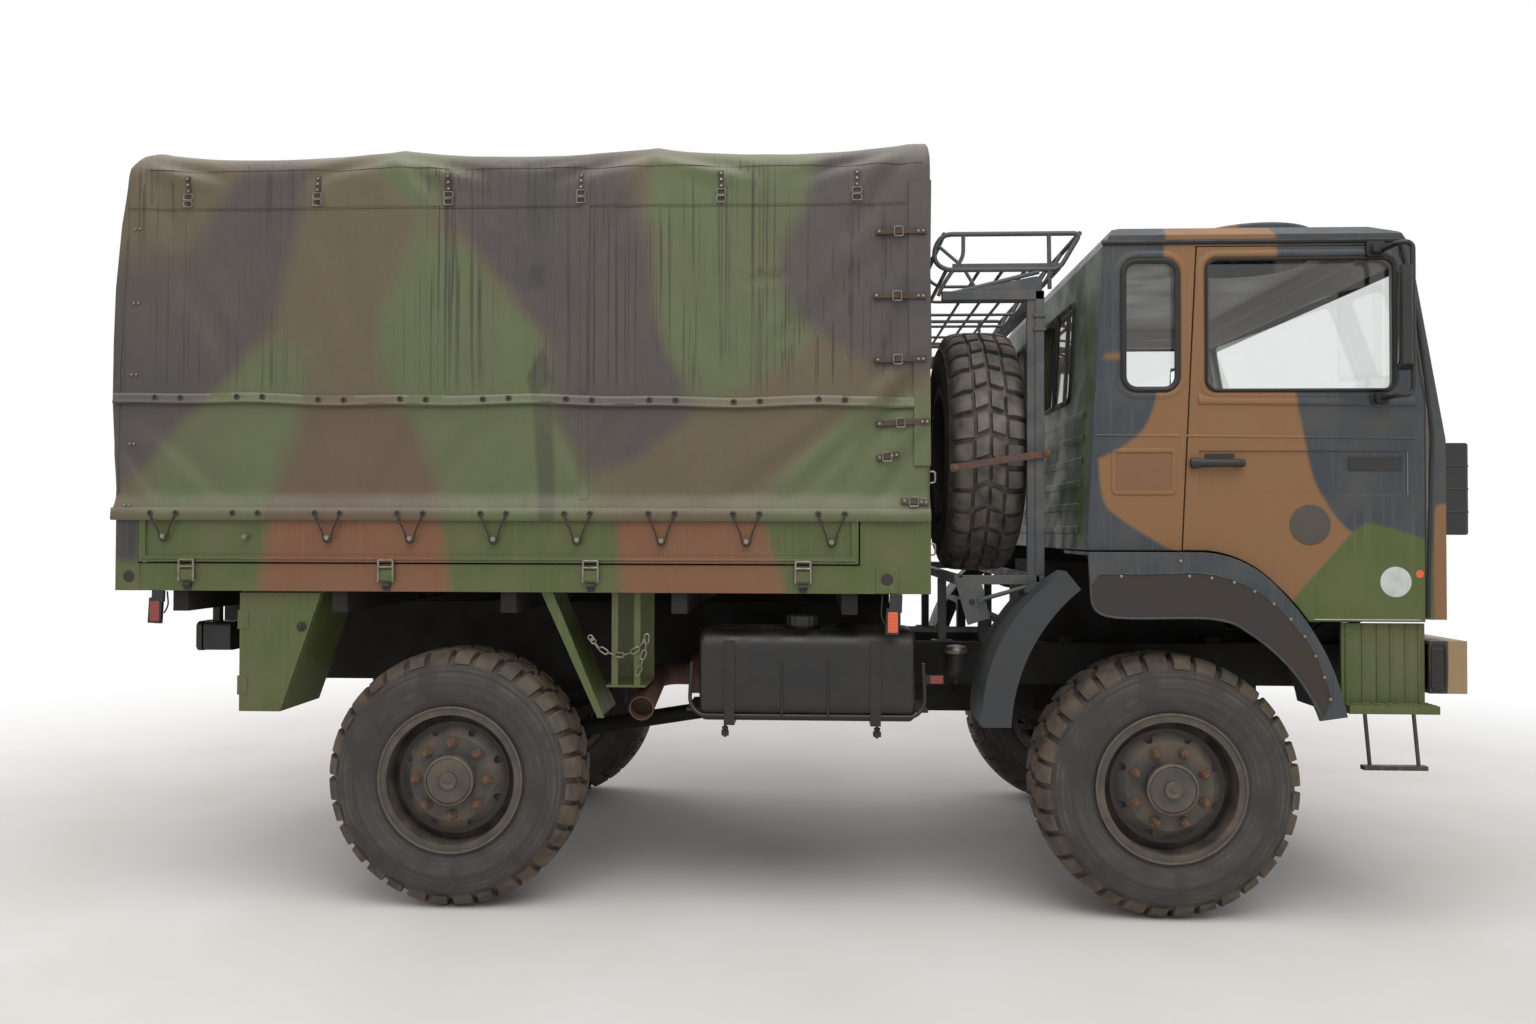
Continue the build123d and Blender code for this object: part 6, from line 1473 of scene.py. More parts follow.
class TRUCK_OT_nose(bpy.types.Operator):
    """Fit the wipers, the grille's bars and the lamps of the nose"""
    bl_idname = "truck.nose"
    bl_label = "Wipers, grille and lamps"

    def execute(self, context):
        wipers, blades = blanks(2)
        for y in (-0.70, 0.08, 0.70):
            reach = 0.50 if y > 0.5 else -0.50
            root = on_screen(y, 1.846, 0.0)
            lathe(wipers, [(0.0, 0.020), (0.014, 0.018), (0.024, 0.010)], root, (1, 0, 0), 20)
            tip = on_screen(y - reach * 0.55, 1.925, 0.028)
            tube(wipers, [root + Vector((0.016, 0, 0)), on_screen(y - reach * 0.1, 1.880, 0.030), tip], 0.006,
                8, flat=0.6)
            ends = [on_screen(y - reach * (0.55 + t), 1.925 - 0.010 * t, 0.016)
                for t in (-0.5, -0.2, 0.2, 0.42)]
            tube(blades, ends, 0.007, 8, flat=0.5)
        piece("wiper_arms", wipers, "steel", "cab")
        piece("wiper_blades", blades, "seal", "cab")

        low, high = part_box("grille")
        bars = bmesh.new()
        for z in (1.544, 1.630, 1.716):
            path = [(low.x + 0.004, low.y, z), (high.x - 0.020, low.y, z), (high.x - 0.006, low.y + 0.006, z),
                (high.x, low.y + 0.020, z), (high.x, -0.62, z)]
            for side in (1, -1):
                tube(bars, [(x, side * y, z) for x, y, z in path], 0.0035, 6)
        for y in spread(-0.60, 0.60, 25):
            tube(bars, [(high.x - 0.030, y, low.z + 0.03), (high.x - 0.030, y, high.z - 0.03)], 0.004, 6)
        piece("grille_bars", bars, "plastic", "cab")

        for name, side in SIDES:
            fit_lamps(name, side)
        return {"FINISHED"}


def line_arch(name, side):
    """One side's arch liner with its rivets, and its step panel's ribs."""
    upper = eased([(AXLE_X + x, z) for x, z in ARCH_BAND], 8)
    lower = eased([(AXLE_X + x, z) for x, z in ARCH_LINER], 8)
    liner, edge, rivets = blanks(3)
    place = on_side(side, ARCH_SIDE)
    rows = []
    for (xa, za), (xb, zb) in zip(upper, lower):
        rows.append([place(xa, za, -0.001), place(xa, za, 0.0022), place(xb, zb, 0.0016),
            place(xb, zb, -0.001)])
    skin(liner, rows, round_across=True, capped=True)
    tube(edge, [place(x, z, 0.0) for x, z in lower], 0.0045, 8)
    tube(edge, [place(x, z + 0.004, 0.0015) for x, z in upper], 0.0030, 8)
    for x, z in (*ARCH_RIVETS, (1.516, 1.358)):
        lathe(rivets, [(0.0, 0.0065), (0.003, 0.0055), (0.0045, 0.0025)], place(x, z, 0.002), (0, side, 0),
            12)
    piece(f"arch_liner_{name}", liner, "liner", "cab", crease=50)
    piece(f"arch_edges_{name}", edge, "grey", "cab")
    piece(f"arch_rivets_{name}", rivets, "steel", "cab")
    ribs = bmesh.new()
    for x in (2.152, 2.213, 2.268, 2.317, 2.372, 2.420):
        tube(ribs, [(x, side * 1.029, 0.826), (x, side * 1.029, 1.122)], 0.0065, 8)
    # Worn raised bars on the step's plate
    for k, x in enumerate(spread(2.150, 2.444, 14)):
        lean = 0.012 if k % 2 else -0.012
        for y in (1.012, 1.040, 1.068):
            tube(ribs, [(x - lean, side * (y - 0.010), 0.8255), (x + lean, side * (y + 0.010), 0.8255)],
                0.0028, 5)
    piece(f"step_panel_ribs_{name}", ribs, "green")


class TRUCK_OT_arches(bpy.types.Operator):
    """Line the arches over the front wheels and rivet them; rib the panels under the doors"""
    bl_idname = "truck.arches"
    bl_label = "Arches and step panels"

    def execute(self, context):
        for name, side in SIDES:
            line_arch(name, side)
        return {"FINISHED"}


# The bed and what hangs below it. The bed's side stands at BED_SIDE, the drop side at DROP_SIDE
BED_SIDE = -BED_LOW.y
DROP_SIDE = -DROP_LOW.y
LATCH_X = (-2.273, -1.490, -0.698, 0.111)
LATCH_Z = 1.342               # top of the drop side's latches, at its lower edge
POCKET_R = 0.022
POCKET_X, POCKET_Z = (-2.507, 0.428), 1.282
REAR_MARKER, FRONT_MARKER = (-2.403, 1.150), (0.449, 1.123)
TANK_STRAPS = (-0.189, 0.395)
CHAIN = ((-0.702, 1.046), (-0.680, 1.018), (-0.651, 1.000), (-0.618, 0.990), (-0.585, 0.987), (-0.550, 0.996),
    (-0.520, 1.014), (-0.499, 1.044))
CHAIN_TAIL = ((-0.490, 1.050), (-0.492, 1.018), (-0.503, 0.985), (-0.508, 0.955), (-0.521, 0.926))


def along(points, step):
    """Places every step along a line, with the direction there."""
    points = [Vector(p) for p in points]
    placed, left = [], 0.0
    for a, b in zip(points, points[1:]):
        length = (b - a).length
        while left <= length:
            placed.append((a.lerp(b, left / length), (b - a).normalized()))
            left += step
        left -= length
    return placed


def add_chain(shape, points, long, wide, wire):
    """Chain links along a line, each a quarter turn from the last."""
    for k, (place, way) in enumerate(along(points, long - 2.4 * wire)):
        side = way.cross(Vector((0, 1, 0))).normalized() if k % 2 == 0 else Vector((0, 1, 0))
        ring = []
        for a in spread(0, tau, 15)[:-1]:
            reach = long / 2 - wide / 2
            ring.append(place + way * (wide / 2 * cos(a) + copysign(reach, cos(a))) + side
                * (wide / 2 * sin(a)))
        tube(shape, ring, wire, 6, closed=True)


def fit_latches(name, side):
    """One side's latches, bead and corner pockets."""
    frames, levers, barrels = blanks(3)
    for x in LATCH_X:
        top, out = LATCH_Z + 0.012, side * (DROP_SIDE + 0.006)
        ring = [(x - 0.028, top - 0.002), (x + 0.028, top - 0.002), (x + 0.029, top - 0.086),
            (x - 0.029, top - 0.086)]
        loop = [(a, out, b) for a, b in ring]
        tube(frames, [loop[0], loop[3]], 0.0046, 8)
        tube(frames, [loop[1], loop[2]], 0.0046, 8)
        for z in (top - 0.004, top - 0.030):
            tube(frames, [(x - 0.028, out, z), (x + 0.028, out, z)], 0.0042, 8)
        side_plate(levers, side, BED_SIDE + 0.004, 0.010,
            rounded(x - 0.025, x + 0.025, top - 0.082, top - 0.042, 0.005, 4))
        block(levers, (x - 0.034, side * BED_SIDE - 0.003, top - 0.092),
            (x + 0.034, side * BED_SIDE + 0.003, top - 0.028))
        tube(barrels,
            [(x - 0.016, side * (BED_SIDE + 0.006), top - 0.100),
            (x + 0.016, side * (BED_SIDE + 0.006), top - 0.100)], 0.010, 12)
        block(barrels, (x - 0.014, side * BED_SIDE - 0.004, top - 0.122),
            (x + 0.014, side * BED_SIDE + 0.005, top - 0.098))
    piece(f"latch_frames_{name}", frames, "steel")
    piece(f"latch_levers_{name}", levers, "green", edge=0.0012)
    piece(f"latch_hinges_{name}", barrels, "chassis", edge=0.001)
    bead = bmesh.new()
    tube(bead, [(DROP_LOW.x + 0.012, side * DROP_SIDE, DROP_LOW.z + 0.014),
        (DROP_HIGH.x - 0.012, side * DROP_SIDE, DROP_LOW.z + 0.014)], 0.0055, 8)
    piece(f"drop_side_bead_{name}", bead, "bed")
    corners, shaded_cups = blanks(2)
    for x in POCKET_X:
        half_x, half_z = 0.043, 0.051
        corner = atan2(half_z, half_x)
        angles = sorted({*spread(0, tau, 41)[:-1], corner, pi - corner, pi + corner, tau - corner})
        rows = []
        for a in angles:
            c, s = cos(a), sin(a)
            reach = min(half_x / max(abs(c), 1e-9), half_z / max(abs(s), 1e-9))
            rows.append([(x + r * c, side * (BED_SIDE + p), POCKET_Z + r * s)
                for r, p in ((POCKET_R, -0.004), (POCKET_R + 0.001, 0.0022), (POCKET_R + 0.004, 0.0030),
                (reach - 0.001, 0.0030), (reach, 0.0018), (reach, -0.001))])
        skin(corners, rows, round_rows=True)
        # Near-black inside the bores: painted shade in the pockets
        lathe(shaded_cups, [(0.0, POCKET_R + 0.0005), (-0.060, POCKET_R - 0.003), (-0.062, 0.004)],
            (x, side * (BED_SIDE + 0.0015), POCKET_Z), (0, side, 0), 36)
    piece(f"corner_pockets_{name}", corners, "green")
    piece(f"pocket_shade_cups_{name}", shaded_cups, "liner")


class TRUCK_OT_latches(bpy.types.Operator):
    """Fit the drop sides' latches, the corner pockets and the tailgate's hinges and latches"""
    bl_idname = "truck.latches"
    bl_label = "Bed latches and pockets"

    def execute(self, context):
        for name, side in SIDES:
            fit_latches(name, side)
        # Rope staples on the front corners, one on the wall and one on the canvas above it
        front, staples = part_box("bed_panels")[1].x, bmesh.new()
        for _, side in SIDES:
            for z in (1.398, 1.671):
                y = side * 1.076
                tube(staples,
                    bent([(front - 0.002, y, z - 0.022), (front + 0.017, y, z - 0.020),
                    (front + 0.017, y, z + 0.020), (front - 0.002, y, z + 0.022)], 0.008), 0.0035, 8)
        piece("front_staples", staples, "steel")
        low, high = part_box("tailgate")
        hinges, handles = blanks(2)
        for y in (-0.72, -0.24, 0.24, 0.72):
            # The barrel turns about the gate's own axis, its lower outer edge
            tube(hinges, [(low.x, y - 0.045, low.z), (low.x, y + 0.045, low.z)], 0.0058, 12)
            end_plate(hinges, low.x + 0.001, -0.005,
                rounded(y - 0.024, y + 0.024, low.z + 0.006, low.z + 0.110, 0.010, 4))
        for y in (-0.955, 0.955):
            # Above the rim that the dropped gate lies against
            end_plate(handles, low.x + 0.001, -0.008,
                rounded(y - 0.030, y + 0.030, low.z + 0.122, high.z - 0.008, 0.010, 4))
            grip = low.z + 0.150
            tube(handles,
                bent([(low.x - 0.006, y - 0.022, grip), (low.x - 0.021, y - 0.022, grip + 0.002),
                (low.x - 0.021, y + 0.022, grip + 0.002), (low.x - 0.006, y + 0.022, grip)], 0.006), 0.0045,
                8)
        piece("tailgate_hinges", hinges, "green", "tailgate", edge=0.001)
        piece("tailgate_handles", handles, "steel", "tailgate", edge=0.001)
        return {"FINISHED"}


class TRUCK_OT_bed_lamps(bpy.types.Operator):
    """Hang the marker lamps and the tail lamps under the bed"""
    bl_idname = "truck.bed_lamps"
    bl_label = "Bed lamps"

    def execute(self, context):
        low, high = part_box("marker_lamps")
        holders, reds, oranges = blanks(3)
        for _, side in SIDES:
            for (x, z), lenses, cable in ((REAR_MARKER, reds, 0.028), (FRONT_MARKER, oranges, -0.028)):
                block(holders, (x - 0.012, side * 1.083 - 0.011, z + 0.036),
                    (x + 0.036, side * 1.083 + 0.003, high.z), (2, "Y"))
                block(holders, (x - 0.026, side * 1.081 - 0.011, z - 0.048),
                    (x + 0.026, side * 1.081 + 0.006, z + 0.050), (3, "Y"))
                side_plate(lenses, side, 1.086, 0.009,
                    rounded(x - 0.018, x + 0.020, z - 0.040, z + 0.038, 0.006, 4))
                tube(holders,
                    bent([(x + cable, side * 1.076, z - 0.010), (x + cable * 1.5, side * 1.07, z + 0.020),
                    (x + cable * 1.3, side * 1.07, high.z - 0.004)], 0.02), 0.0035, 6)
            y0, y1 = sorted((side * 0.740, side * 0.860))
            end_plate(holders, -2.342, 0.114, rounded(y0 + 0.002, y1 - 0.002, low.z + 0.002, 1.088, 0.018, 5))
            end_plate(holders, -2.369, 0.022, rounded(y0, y1, low.z, 1.090, 0.020, 5))
            for y2, y3, lenses in ((y0 + 0.008, (y0 + y1) / 2 - 0.002, reds),
                    ((y0 + y1) / 2 + 0.002, y1 - 0.008, oranges)):
                end_plate(lenses, -2.3685, -0.007, rounded(y2, y3, low.z + 0.010, 1.080, 0.008, 4))
            block(holders, (-2.327, side * 0.800 - 0.015, 1.086), (-2.297, side * 0.800 + 0.015, 1.149))
        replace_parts(piece("lamp_holders", holders, "plastic", edge=0.003), "marker_lamps")
        piece("red_lamp_lenses", reds, "red", edge=0.002)
        piece("orange_lamp_lenses", oranges, "orange", edge=0.002)
        return {"FINISHED"}


def fit_locker(name, side):
    """One locker door's hinges and lock."""
    door = f"locker_door_{name}"
    low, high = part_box(door)
    face = abs(low.y if side < 0 else high.y)
    hinges, lock = blanks(2)
    for z in (1.116, 0.861):
        side_plate(hinges, side, face - 0.001, 0.0035,
            rounded(low.x + 0.001, low.x + 0.034, z - 0.036, z + 0.036, 0.004, 3))
        tube(hinges,
            [(low.x - 0.003, side * (face - 0.002), z - 0.037),
            (low.x - 0.003, side * (face - 0.002), z + 0.037)], 0.0058, 10)
    lathe(lock, [(-0.001, 0.020), (0.003, 0.019), (0.003, 0.014), (0.006, 0.012)],
        (-1.836, side * face, 1.090), (0, side, 0), 24)
    block(lock, (-1.841, side * (face + 0.008) - 0.004, 1.078),
        (-1.831, side * (face + 0.008) + 0.004, 1.102))
    piece(f"locker_hinges_{name}", hinges, "green", door, edge=0.001)
    piece(f"locker_lock_{name}", lock, "liner", door, edge=0.001)


class TRUCK_OT_underside(bpy.types.Operator):
    """Fit the tank's strap bolts, the filter, the tray's chain and the lockers' hinges and locks"""
    bl_idname = "truck.underside"
    bl_label = "Tank, tray and locker fittings"

    def execute(self, context):
        low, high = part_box("fuel_tank")
        bolts, ribs, cap = blanks(3)
        for x in TANK_STRAPS:
            y = low.y + 0.030
            tube(bolts, [(x, y, 0.760), (x, y, 0.672)], 0.0060, 10)
            lathe(bolts, [(0.0, 0.013), (0.010, 0.013)], (x, y, 0.712), (0, 0, -1), 6)
            block(bolts, (x - 0.013, y - 0.013, 0.678), (x + 0.013, y + 0.013, 0.698), (12, "Z"))
            lathe(bolts, [(0.0, 0.007), (0.005, 0.006)], (x, low.y - 0.0005, 0.925), (0, -1, 0), 12)
        spots = [v.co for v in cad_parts["fuel_tank"].data.vertices if v.co.z > high.z - 0.003]
        middle = sum(spots, Vector()) / len(spots)
        round_ = max((v - middle).length for v in spots)
        grip = [(k * tau / 36, round_ * (1.05 if k % 2 else 0.99)) for k in range(36)]
        rows = [[middle + Vector((r * cos(a), r * sin(a), dz)) for a, r in grip] for dz in (-0.034, 0.001)]
        skin(cap, rows, round_across=True, capped=True)
        lathe(cap, [(0.0, round_ * 1.04), (0.007, round_ * 1.12), (0.010, round_ * 1.02)],
            middle + Vector((0, 0, -0.047)), (0, 0, 1), 36, capped=False)
        piece("tank_strap_bolts", bolts, "chassis", edge=0.001)
        piece("tank_cap_grip", cap, "plastic", edge=0.0008)
        # The tank's two halves meet in a rolled lip, and its face has two shallow ribs
        lip = bent([(low.x + 0.020, low.y + 0.030, 0.960), (low.x + 0.012, low.y + 0.030, 0.800),
            (low.x + 0.050, low.y + 0.010, 0.757), (high.x - 0.050, low.y + 0.010, 0.757),
            (high.x - 0.012, low.y + 0.030, 0.800), (high.x - 0.020, low.y + 0.030, 0.960)], 0.060, 6)
        tube(ribs, lip, 0.0075, 8)
        for x in (0.030, 0.207):
            tube(ribs,
                bent([(x, low.y + 0.080, high.z - 0.080), (x, low.y + 0.006, high.z - 0.130),
                (x, low.y + 0.006, 0.762)], 0.060, 6), 0.0050, 8)
        piece("tank_lip_and_ribs", ribs, "tank")

        # The fuel filter on the frame rail, and the reflector on the tank's end
        rail = -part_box("frame_rails")[0].y
        body, top = blanks(2)
        spot = Vector((0.760, -rail - 0.075, 0.0))
        lathe(body, [(0.845, 0.020), (0.855, 0.033), (0.870, 0.038), (0.945, 0.038)], spot, (0, 0, 1), 28)
        lathe(body, [(0.812, 0.008), (0.846, 0.010)], spot, (0, 0, 1), 12)
        lathe(top, [(0.944, 0.047), (0.958, 0.052), (0.972, 0.046), (0.978, 0.020)], spot, (0, 0, 1), 28)
        block(top, (0.735, -rail - 0.050, 0.950), (0.785, -rail + 0.002, 0.968))
        piece("filter_bowl", body, "plastic")
        piece("filter_head", top, "steel", edge=0.0015)
        holder, mark = blanks(2)
        block(holder, (high.x - 0.010, low.y + 0.092, 0.872), (high.x + 0.066, low.y + 0.096, 0.908))
        outline = rounded(high.x + 0.012, high.x + 0.062, 0.876, 0.904, 0.003, 3)
        plate(mark, [(a, low.y + 0.0925, b) for a, b in outline], (0, -0.006, 0))
        piece("reflector_bracket", holder, "chassis")
        piece("reflector", mark, "red", edge=0.001)

        links = bmesh.new()
        add_chain(links, [(x, -1.047, z) for x, z in CHAIN], 0.038, 0.018, 0.0026)
        add_chain(links, [(x, -1.050, z) for x, z in CHAIN_TAIL], 0.038, 0.018, 0.0026)
        for x, z in (CHAIN[0], CHAIN[-1]):
            lathe(links, [(0.0, 0.008), (0.008, 0.007)], (x, -1.040, z), (0, -1, 0), 12)
        piece("tray_chain", links, "steel")

        for name, side in SIDES:
            fit_locker(name, side)
        return {"FINISHED"}


# The spare wheel's carrier and the basket above it
CARRIER_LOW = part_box("spare_carrier")[0]
POST_X = AXLE_X - 0.465
BAR = 0.018                   # half a square bar
CARRIER_HALF = 0.930
SPRING_Y = 0.3675
POST_Y = CARRIER_HALF - BAR
CRADLE_Z = SPARE_HUB.z - SPARE_R - 0.001
CRADLE_X = SPARE_HUB.x - 0.130
CARRIER_TOP = 2.410
BASKET_Z = (2.497, 2.638)
CLAMP_BAR = ((0.684, 1.714), (1.072, 1.773))


class TRUCK_OT_carrier(bpy.types.Operator):
    """Weld the spare wheel's carrier from square bars, with its clamp, and bend the basket's rods above it"""
    bl_idname = "truck.carrier"
    bl_label = "Carrier and basket"

    def execute(self, context):
        bars, rods, clamp, plates = blanks(4)
        for x in (CRADLE_X, POST_X):
            block(bars, (x - BAR, -CARRIER_HALF, CRADLE_Z - 2 * BAR), (x + BAR, CARRIER_HALF, CRADLE_Z))
            for y in (-SPRING_Y, SPRING_Y):
                block(bars, (x - BAR, y - BAR, CARRIER_LOW.z), (x + BAR, y + BAR, CRADLE_Z - 2 * BAR))
                block(plates, (x - 0.045, y - 0.030, CARRIER_LOW.z),
                    (x + 0.045, y + 0.030, CARRIER_LOW.z + 0.008))
        block(bars, (POST_X - BAR, -CARRIER_HALF, CARRIER_TOP - 2 * BAR),
            (POST_X + BAR, CARRIER_HALF, CARRIER_TOP))
        for side in (-1, 1):
            y = side * POST_Y
            block(bars, (POST_X - BAR, y - BAR, CRADLE_Z), (POST_X + BAR, y + BAR, CARRIER_TOP))
            block(bars, (CRADLE_X, y - BAR, CRADLE_Z - 2 * BAR), (POST_X, y + BAR, CRADLE_Z))
            block(bars, (CARRIER_LOW.x + 0.040, y - BAR, CARRIER_TOP - 2 * BAR),
                (POST_X, y + BAR, CARRIER_TOP))
            # A flange behind the post, and two collars where its upper part slides
            block(plates, (POST_X - BAR - 0.030, y - 0.012, CRADLE_Z),
                (POST_X - BAR + 0.002, y + 0.012, CARRIER_TOP))
            for z in (2.258, 2.312):
                block(plates, (POST_X - BAR - 0.006, y - BAR - 0.006, z - 0.006),
                    (POST_X + BAR + 0.006, y + BAR + 0.006, z + 0.006))
            gusset = [(0.700, 2.380), (0.740, 2.412), (1.015, 2.468), (1.045, 2.468), (1.045, 2.400),
                (0.985, 2.396), (0.760, 2.368)]
            plate(plates, [(a, y - 0.008, b) for a, b in gusset], (0, 0.016, 0))
            # The side's rods: one bent ring, its uprights and braces
            ring = bent([(0.900, y, BASKET_Z[1]), (1.196, y, BASKET_Z[1]), (1.112, y, BASKET_Z[0]),
                (0.668, y, BASKET_Z[0]), (0.625, y, 2.528), (0.625, y, 2.590), (0.662, y, BASKET_Z[1]),
                (0.899, y, BASKET_Z[1])], 0.030, 6)
            tube(rods, ring, 0.0095, 10)
            tube(rods,
                bent([(0.738, y, BASKET_Z[1]), (0.738, y, 2.545), (0.700, y, 2.500), (0.660, y, 2.440),
                (0.640, y, 2.395)], 0.04, 6), 0.0078, 8)
            tube(rods, bent([(1.072, y, BASKET_Z[1]), (1.075, y, 2.420)], 0.02), 0.0085, 8)
            tube(rods, [(0.640, y, 2.592), (0.735, y, 2.510), (0.800, y, 2.400)], 0.0068, 8)
            tube(rods, [(CARRIER_LOW.x + 0.070, y, CARRIER_TOP - 0.009), (POST_X, y, BASKET_Z[0] - 0.010)],
                0.009, 8)
            block(plates, (0.695, y - 0.004, 2.494), (1.118, y + 0.004, 2.521))
        # Rods across the basket: round the rim, then its bottom
        for x, z, thick in ((0.662, BASKET_Z[1], 0.0095), (1.192, BASKET_Z[1], 0.0095),
                (0.628, 2.560, 0.0078), (0.672, BASKET_Z[0], 0.0085), (1.108, BASKET_Z[0], 0.0085),
                (0.803, BASKET_Z[0], 0.0068), (0.895, BASKET_Z[0], 0.0068), (0.983, BASKET_Z[0], 0.0068)):
            tube(rods, [(x, -POST_Y, z), (x, POST_Y, z)], thick, 8)
        for y in (-0.61, -0.30, 0.0, 0.30, 0.61):
            tube(rods,
                bent([(0.662, y, BASKET_Z[1]), (0.628, y, 2.590), (0.628, y, 2.530), (0.672, y, BASKET_Z[0]),
                (1.108, y, BASKET_Z[0]), (1.192, y, BASKET_Z[1])], 0.03, 5), 0.0068, 8)
        # The clamp across the spare tyre with its rusted ends
        (x0, z0), (x1, z1) = CLAMP_BAR
        y = -(CARRIER_HALF + 0.010)
        flat = bmesh.new()
        lean = Vector((z0 - z1, 0, x1 - x0)).normalized() * 0.014
        plate(flat, [Vector((x0, y - 0.003, z0)) - lean, Vector((x1, y - 0.003, z1)) - lean,
            Vector((x1, y - 0.003, z1)) + lean, Vector((x0, y - 0.003, z0)) + lean], (0, 0.006, 0))
        piece("spare_clamp_bar", flat, "clamp", edge=0.0015)
        for x, z, way in ((x0, z0, -1), (x1, z1, 1)):
            lathe(clamp, [(-0.004, 0.017), (0.010, 0.017), (0.012, 0.009), (0.020, 0.008)],
                (x - way * 0.014, y, z), (0, -1, 0), 6)
        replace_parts(piece("carrier_bars", bars, "carrier", edge=0.003), "spare_carrier")
        piece("carrier_plates", plates, "carrier", edge=0.0012)
        piece("basket_rods", rods, "carrier")
        piece("spare_clamp_nuts", clamp, "rust")
        # A plate with a dark disc painted on as the shade of a bore, a rod and a clevis below the cradle
        hung, hole_shade = blanks(2)
        sheet = [(0.700, CRADLE_Z - 0.010), (0.802, CRADLE_Z - 0.006), (0.838, 1.128), (0.752, 1.100)]
        plate(hung, [(a, -CARRIER_HALF - 0.004, b) for a, b in sheet], (0, 0.006, 0))
        tube(hung, [(0.800, -CARRIER_HALF - 0.010, 1.200), (0.980, -CARRIER_HALF - 0.010, 1.252)], 0.009, 10)
        block(hung, (0.968, -CARRIER_HALF - 0.026, 1.236), (1.030, -CARRIER_HALF + 0.002, 1.262), (-16, "Y"))
        lathe(hung, [(0.0, 0.012), (0.008, 0.012)], (0.800, -CARRIER_HALF - 0.012, 1.200), (0, -1, 0), 6)
        # The dark disc on the plate is painted shade for a bore
        lathe(hole_shade, [(0.0, 0.013), (0.0012, 0.013)], (0.768, -CARRIER_HALF - 0.0035, 1.190), (0, -1, 0), 24)
        piece("cradle_plate", hung, "carrier", edge=0.001)
        piece("cradle_plate_hole_shade", hole_shade, "seal")
        return {"FINISHED"}


# The seats: cushions blown up by a cloth simulation, on steel frames
SEATS_LOW, SEATS_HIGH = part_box("seats")
CUSHION_TOP, CUSHION = SEATS_LOW.z + 0.164, 0.120
SEAT_X = (AXLE_X - 0.190, AXLE_X + 0.310)
SEAT_Y = (0.400, 0.900)
BACK_THICK, BACK_LEAN = 0.105, 0.030
PAD_INSET, PAD_SWELL = 0.014, 0.013
PAD_VOXEL = 0.010
PAD_PRESSURE, PAD_FRAMES = 4.0, 20


def padded_mesh(name, low, high):
    """A soft-edged block, remeshed and blown up as cloth; no point moves further than PAD_SWELL."""
    scene = bpy.context.scene
    shape = bmesh.new()
    low, high = Vector(low) + Vector((PAD_INSET,) * 3), Vector(high) - Vector((PAD_INSET,) * 3)
    block(shape, low, high)
    bmesh.ops.bevel(shape, geom=shape.edges[:], offset=0.022, segments=3, affect="EDGES")
    mesh = bpy.data.meshes.new(f"{name}_plain")
    shape.to_mesh(mesh)
    shape.free()
    blown = bpy.data.objects.new(f"{name}_plain", mesh)
    scene.collection.objects.link(blown)
    grid = blown.modifiers.new("grid", "REMESH")
    grid.mode, grid.voxel_size = "VOXEL", PAD_VOXEL
    depsgraph = bpy.context.evaluated_depsgraph_get()
    even = bpy.data.meshes.new_from_object(blown.evaluated_get(depsgraph))
    blown.modifiers.clear()
    blown.data = even
    rest = [v.co.copy() for v in even.vertices]
    fabric = blown.modifiers.new("fabric", "CLOTH")
    fabric.settings.use_pressure = True
    fabric.settings.uniform_pressure_force = PAD_PRESSURE
    fabric.settings.effector_weights.gravity = 0.0
    fabric.point_cache.frame_start, fabric.point_cache.frame_end = 1, PAD_FRAMES
    for step in range(1, PAD_FRAMES + 1):
        scene.frame_set(step)
    moved = blown.evaluated_get(bpy.context.evaluated_depsgraph_get()).data
    places = [v.co.copy() for v in moved.vertices]
    blown.modifiers.clear()
    scene.frame_set(1)
    for v, start, end in zip(even.vertices, rest, places):
        move = end - start
        v.co = start + move * min(1.0, PAD_SWELL / max(move.length, 1e-9))
    bpy.data.objects.remove(blown)
    return even


def place_pad(name, mesh, flip, lean):
    """A padded piece from a blown-up mesh: mirrored for the left-hand seat, and leant back."""
    shape = bmesh.new()
    shape.from_mesh(mesh)
    for v in shape.verts:
        v.co.x -= lean * (v.co.z - CUSHION_TOP)
        v.co.y *= flip
    bmesh.ops.subdivide_edges(shape, edges=shape.edges[:], cuts=1, use_grid_fill=True, smooth=0.3)
    return piece(name, shape, "seat", "cab", crease=180)


def stitch(shape, pad, points, thick, lift, closed=False):
    """A seam laid on a pad's surface, near the points given."""
    laid = []
    for point in points:
        _, place, normal, _ = pad.closest_point_on_mesh(Vector(point))
        laid.append(place + normal * lift)
    tube(shape, laid, thick, 6, closed=closed)


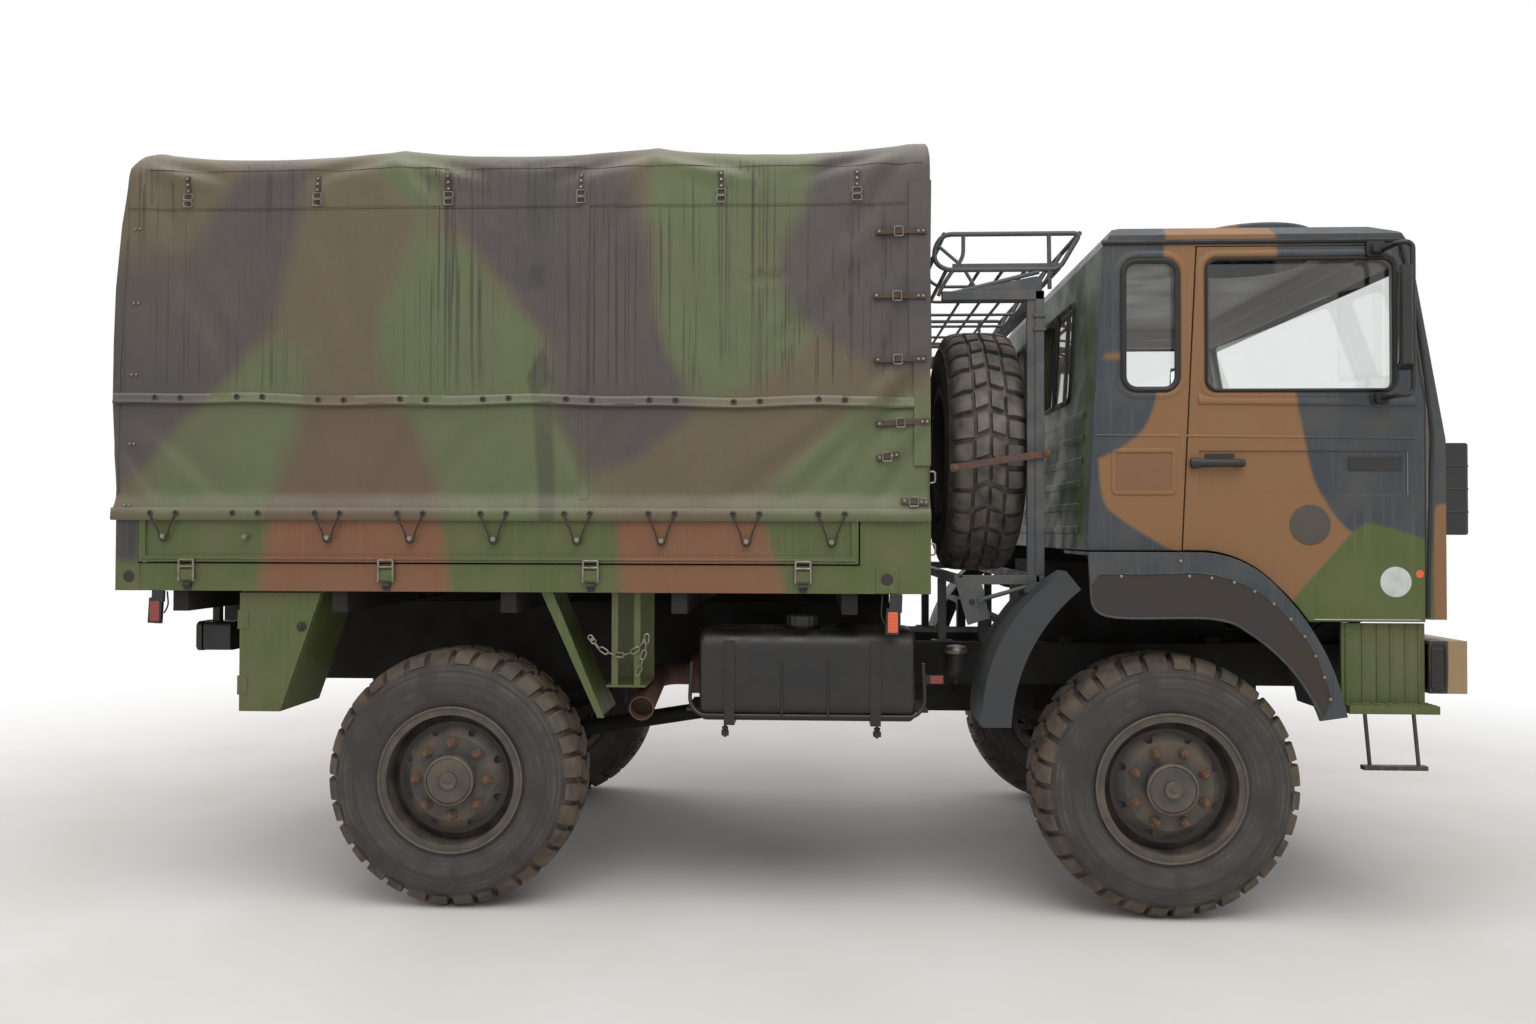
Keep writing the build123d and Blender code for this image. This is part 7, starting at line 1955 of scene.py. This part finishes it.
class TRUCK_OT_seats(bpy.types.Operator):
    """Blow up the seats' cushions and backs, sew their seams and weld their frames"""
    bl_idname = "truck.seats"
    bl_label = "Cab seats"

    def execute(self, context):
        x0, x1 = SEAT_X
        cushion = padded_mesh("seat_cushion", (x0, -SEAT_Y[1], CUSHION_TOP - CUSHION),
            (x1, -SEAT_Y[0], CUSHION_TOP))
        back = padded_mesh("seat_back", (x0, -SEAT_Y[1], CUSHION_TOP),
            (x0 + BACK_THICK, -SEAT_Y[0], SEATS_HIGH.z))
        lean = BACK_LEAN / (SEATS_HIGH.z - CUSHION_TOP)
        seams, frames = blanks(2)
        for name, side in SIDES:
            seat = place_pad(f"seat_cushion_{name}", cushion, -side, 0.0)
            rest = place_pad(f"seat_back_{name}", back, -side, lean)
            y0, y1 = sorted((side * (SEAT_Y[0] + 0.016), side * (SEAT_Y[1] - 0.016)))
            welt = rounded(x0 + 0.016, x1 - 0.016, y0, y1, 0.03, 5)
            stitch(seams, seat, [(a, b, CUSHION_TOP - 0.018) for a, b in welt], 0.0042, 0.001, closed=True)
            for y in spread(y0 + 0.11, y1 - 0.11, 3):
                stitch(seams, seat, [(x, y, CUSHION_TOP) for x in spread(x0 + 0.02, x1 - 0.02, 24)],
                    0.0028, 0.0)
            front = x0 + BACK_THICK - 0.018
            welt = rounded(y0, y1, CUSHION_TOP + 0.016, SEATS_HIGH.z - 0.016, 0.03, 5)
            stitch(seams, rest, [(front - lean * (b - CUSHION_TOP), a, b) for a, b in welt], 0.0042, 0.001,
                closed=True)
            for y in spread(y0 + 0.11, y1 - 0.11, 3):
                stitch(seams, rest,
                    [(front + 0.018 - lean * (z - CUSHION_TOP), y, z)
                    for z in spread(CUSHION_TOP + 0.03, SEATS_HIGH.z - 0.03, 24)], 0.0028, 0.0)
            middle = side * (SEAT_Y[0] + SEAT_Y[1]) / 2
            block(frames, (x0 + 0.045, middle - 0.185, SEATS_LOW.z + 0.022),
                (x1 - 0.065, middle + 0.185, CUSHION_TOP - CUSHION + 0.012))
            for y in (middle - 0.170, middle + 0.170):
                block(frames, (x0 + 0.040, y - 0.020, SEATS_LOW.z),
                    (x1 - 0.060, y + 0.020, SEATS_LOW.z + 0.026))
        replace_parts(piece("seat_frames", frames, "plastic", "cab", edge=0.003), "seats")
        piece("seat_seams", seams, "leather", "cab")
        return {"FINISHED"}


STEPS = (TRUCK_OT_finishes, TRUCK_OT_stage, TRUCK_OT_cover, TRUCK_OT_seams, TRUCK_OT_straps, TRUCK_OT_lacing,
    TRUCK_OT_tyres, TRUCK_OT_wheel_nuts, TRUCK_OT_window_seals, TRUCK_OT_cab_pressings,
    TRUCK_OT_door_fittings, TRUCK_OT_nose, TRUCK_OT_arches, TRUCK_OT_latches, TRUCK_OT_bed_lamps,
    TRUCK_OT_underside, TRUCK_OT_carrier, TRUCK_OT_seats)


class TRUCK_PT_panel(bpy.types.Panel):
    """The truck's pieces in the 3D view's sidebar"""
    bl_idname = "TRUCK_PT_panel"
    bl_label = "Military cargo truck"
    bl_space_type = "VIEW_3D"
    bl_region_type = "UI"
    bl_category = "Truck"

    def draw(self, context):
        for group in (context.scene.truck_sizes, context.scene.truck_colours):
            for name in group.__annotations__:
                self.layout.prop(group, name)
        for step in STEPS:
            self.layout.operator(step.bl_idname)


CLASSES = (TruckSizes, TruckColours, *STEPS, TRUCK_PT_panel)


def register():
    for made in CLASSES:
        bpy.utils.register_class(made)
    bpy.types.Scene.truck_sizes = PointerProperty(type=TruckSizes)
    bpy.types.Scene.truck_colours = PointerProperty(type=TruckColours)


def unregister():
    del bpy.types.Scene.truck_colours
    del bpy.types.Scene.truck_sizes
    for made in reversed(CLASSES):
        bpy.utils.unregister_class(made)


def main():
    register()
    for step in STEPS:
        group, name = step.bl_idname.split(".")
        getattr(getattr(bpy.ops, group), name)()


if __name__ == "__main__":
    main()
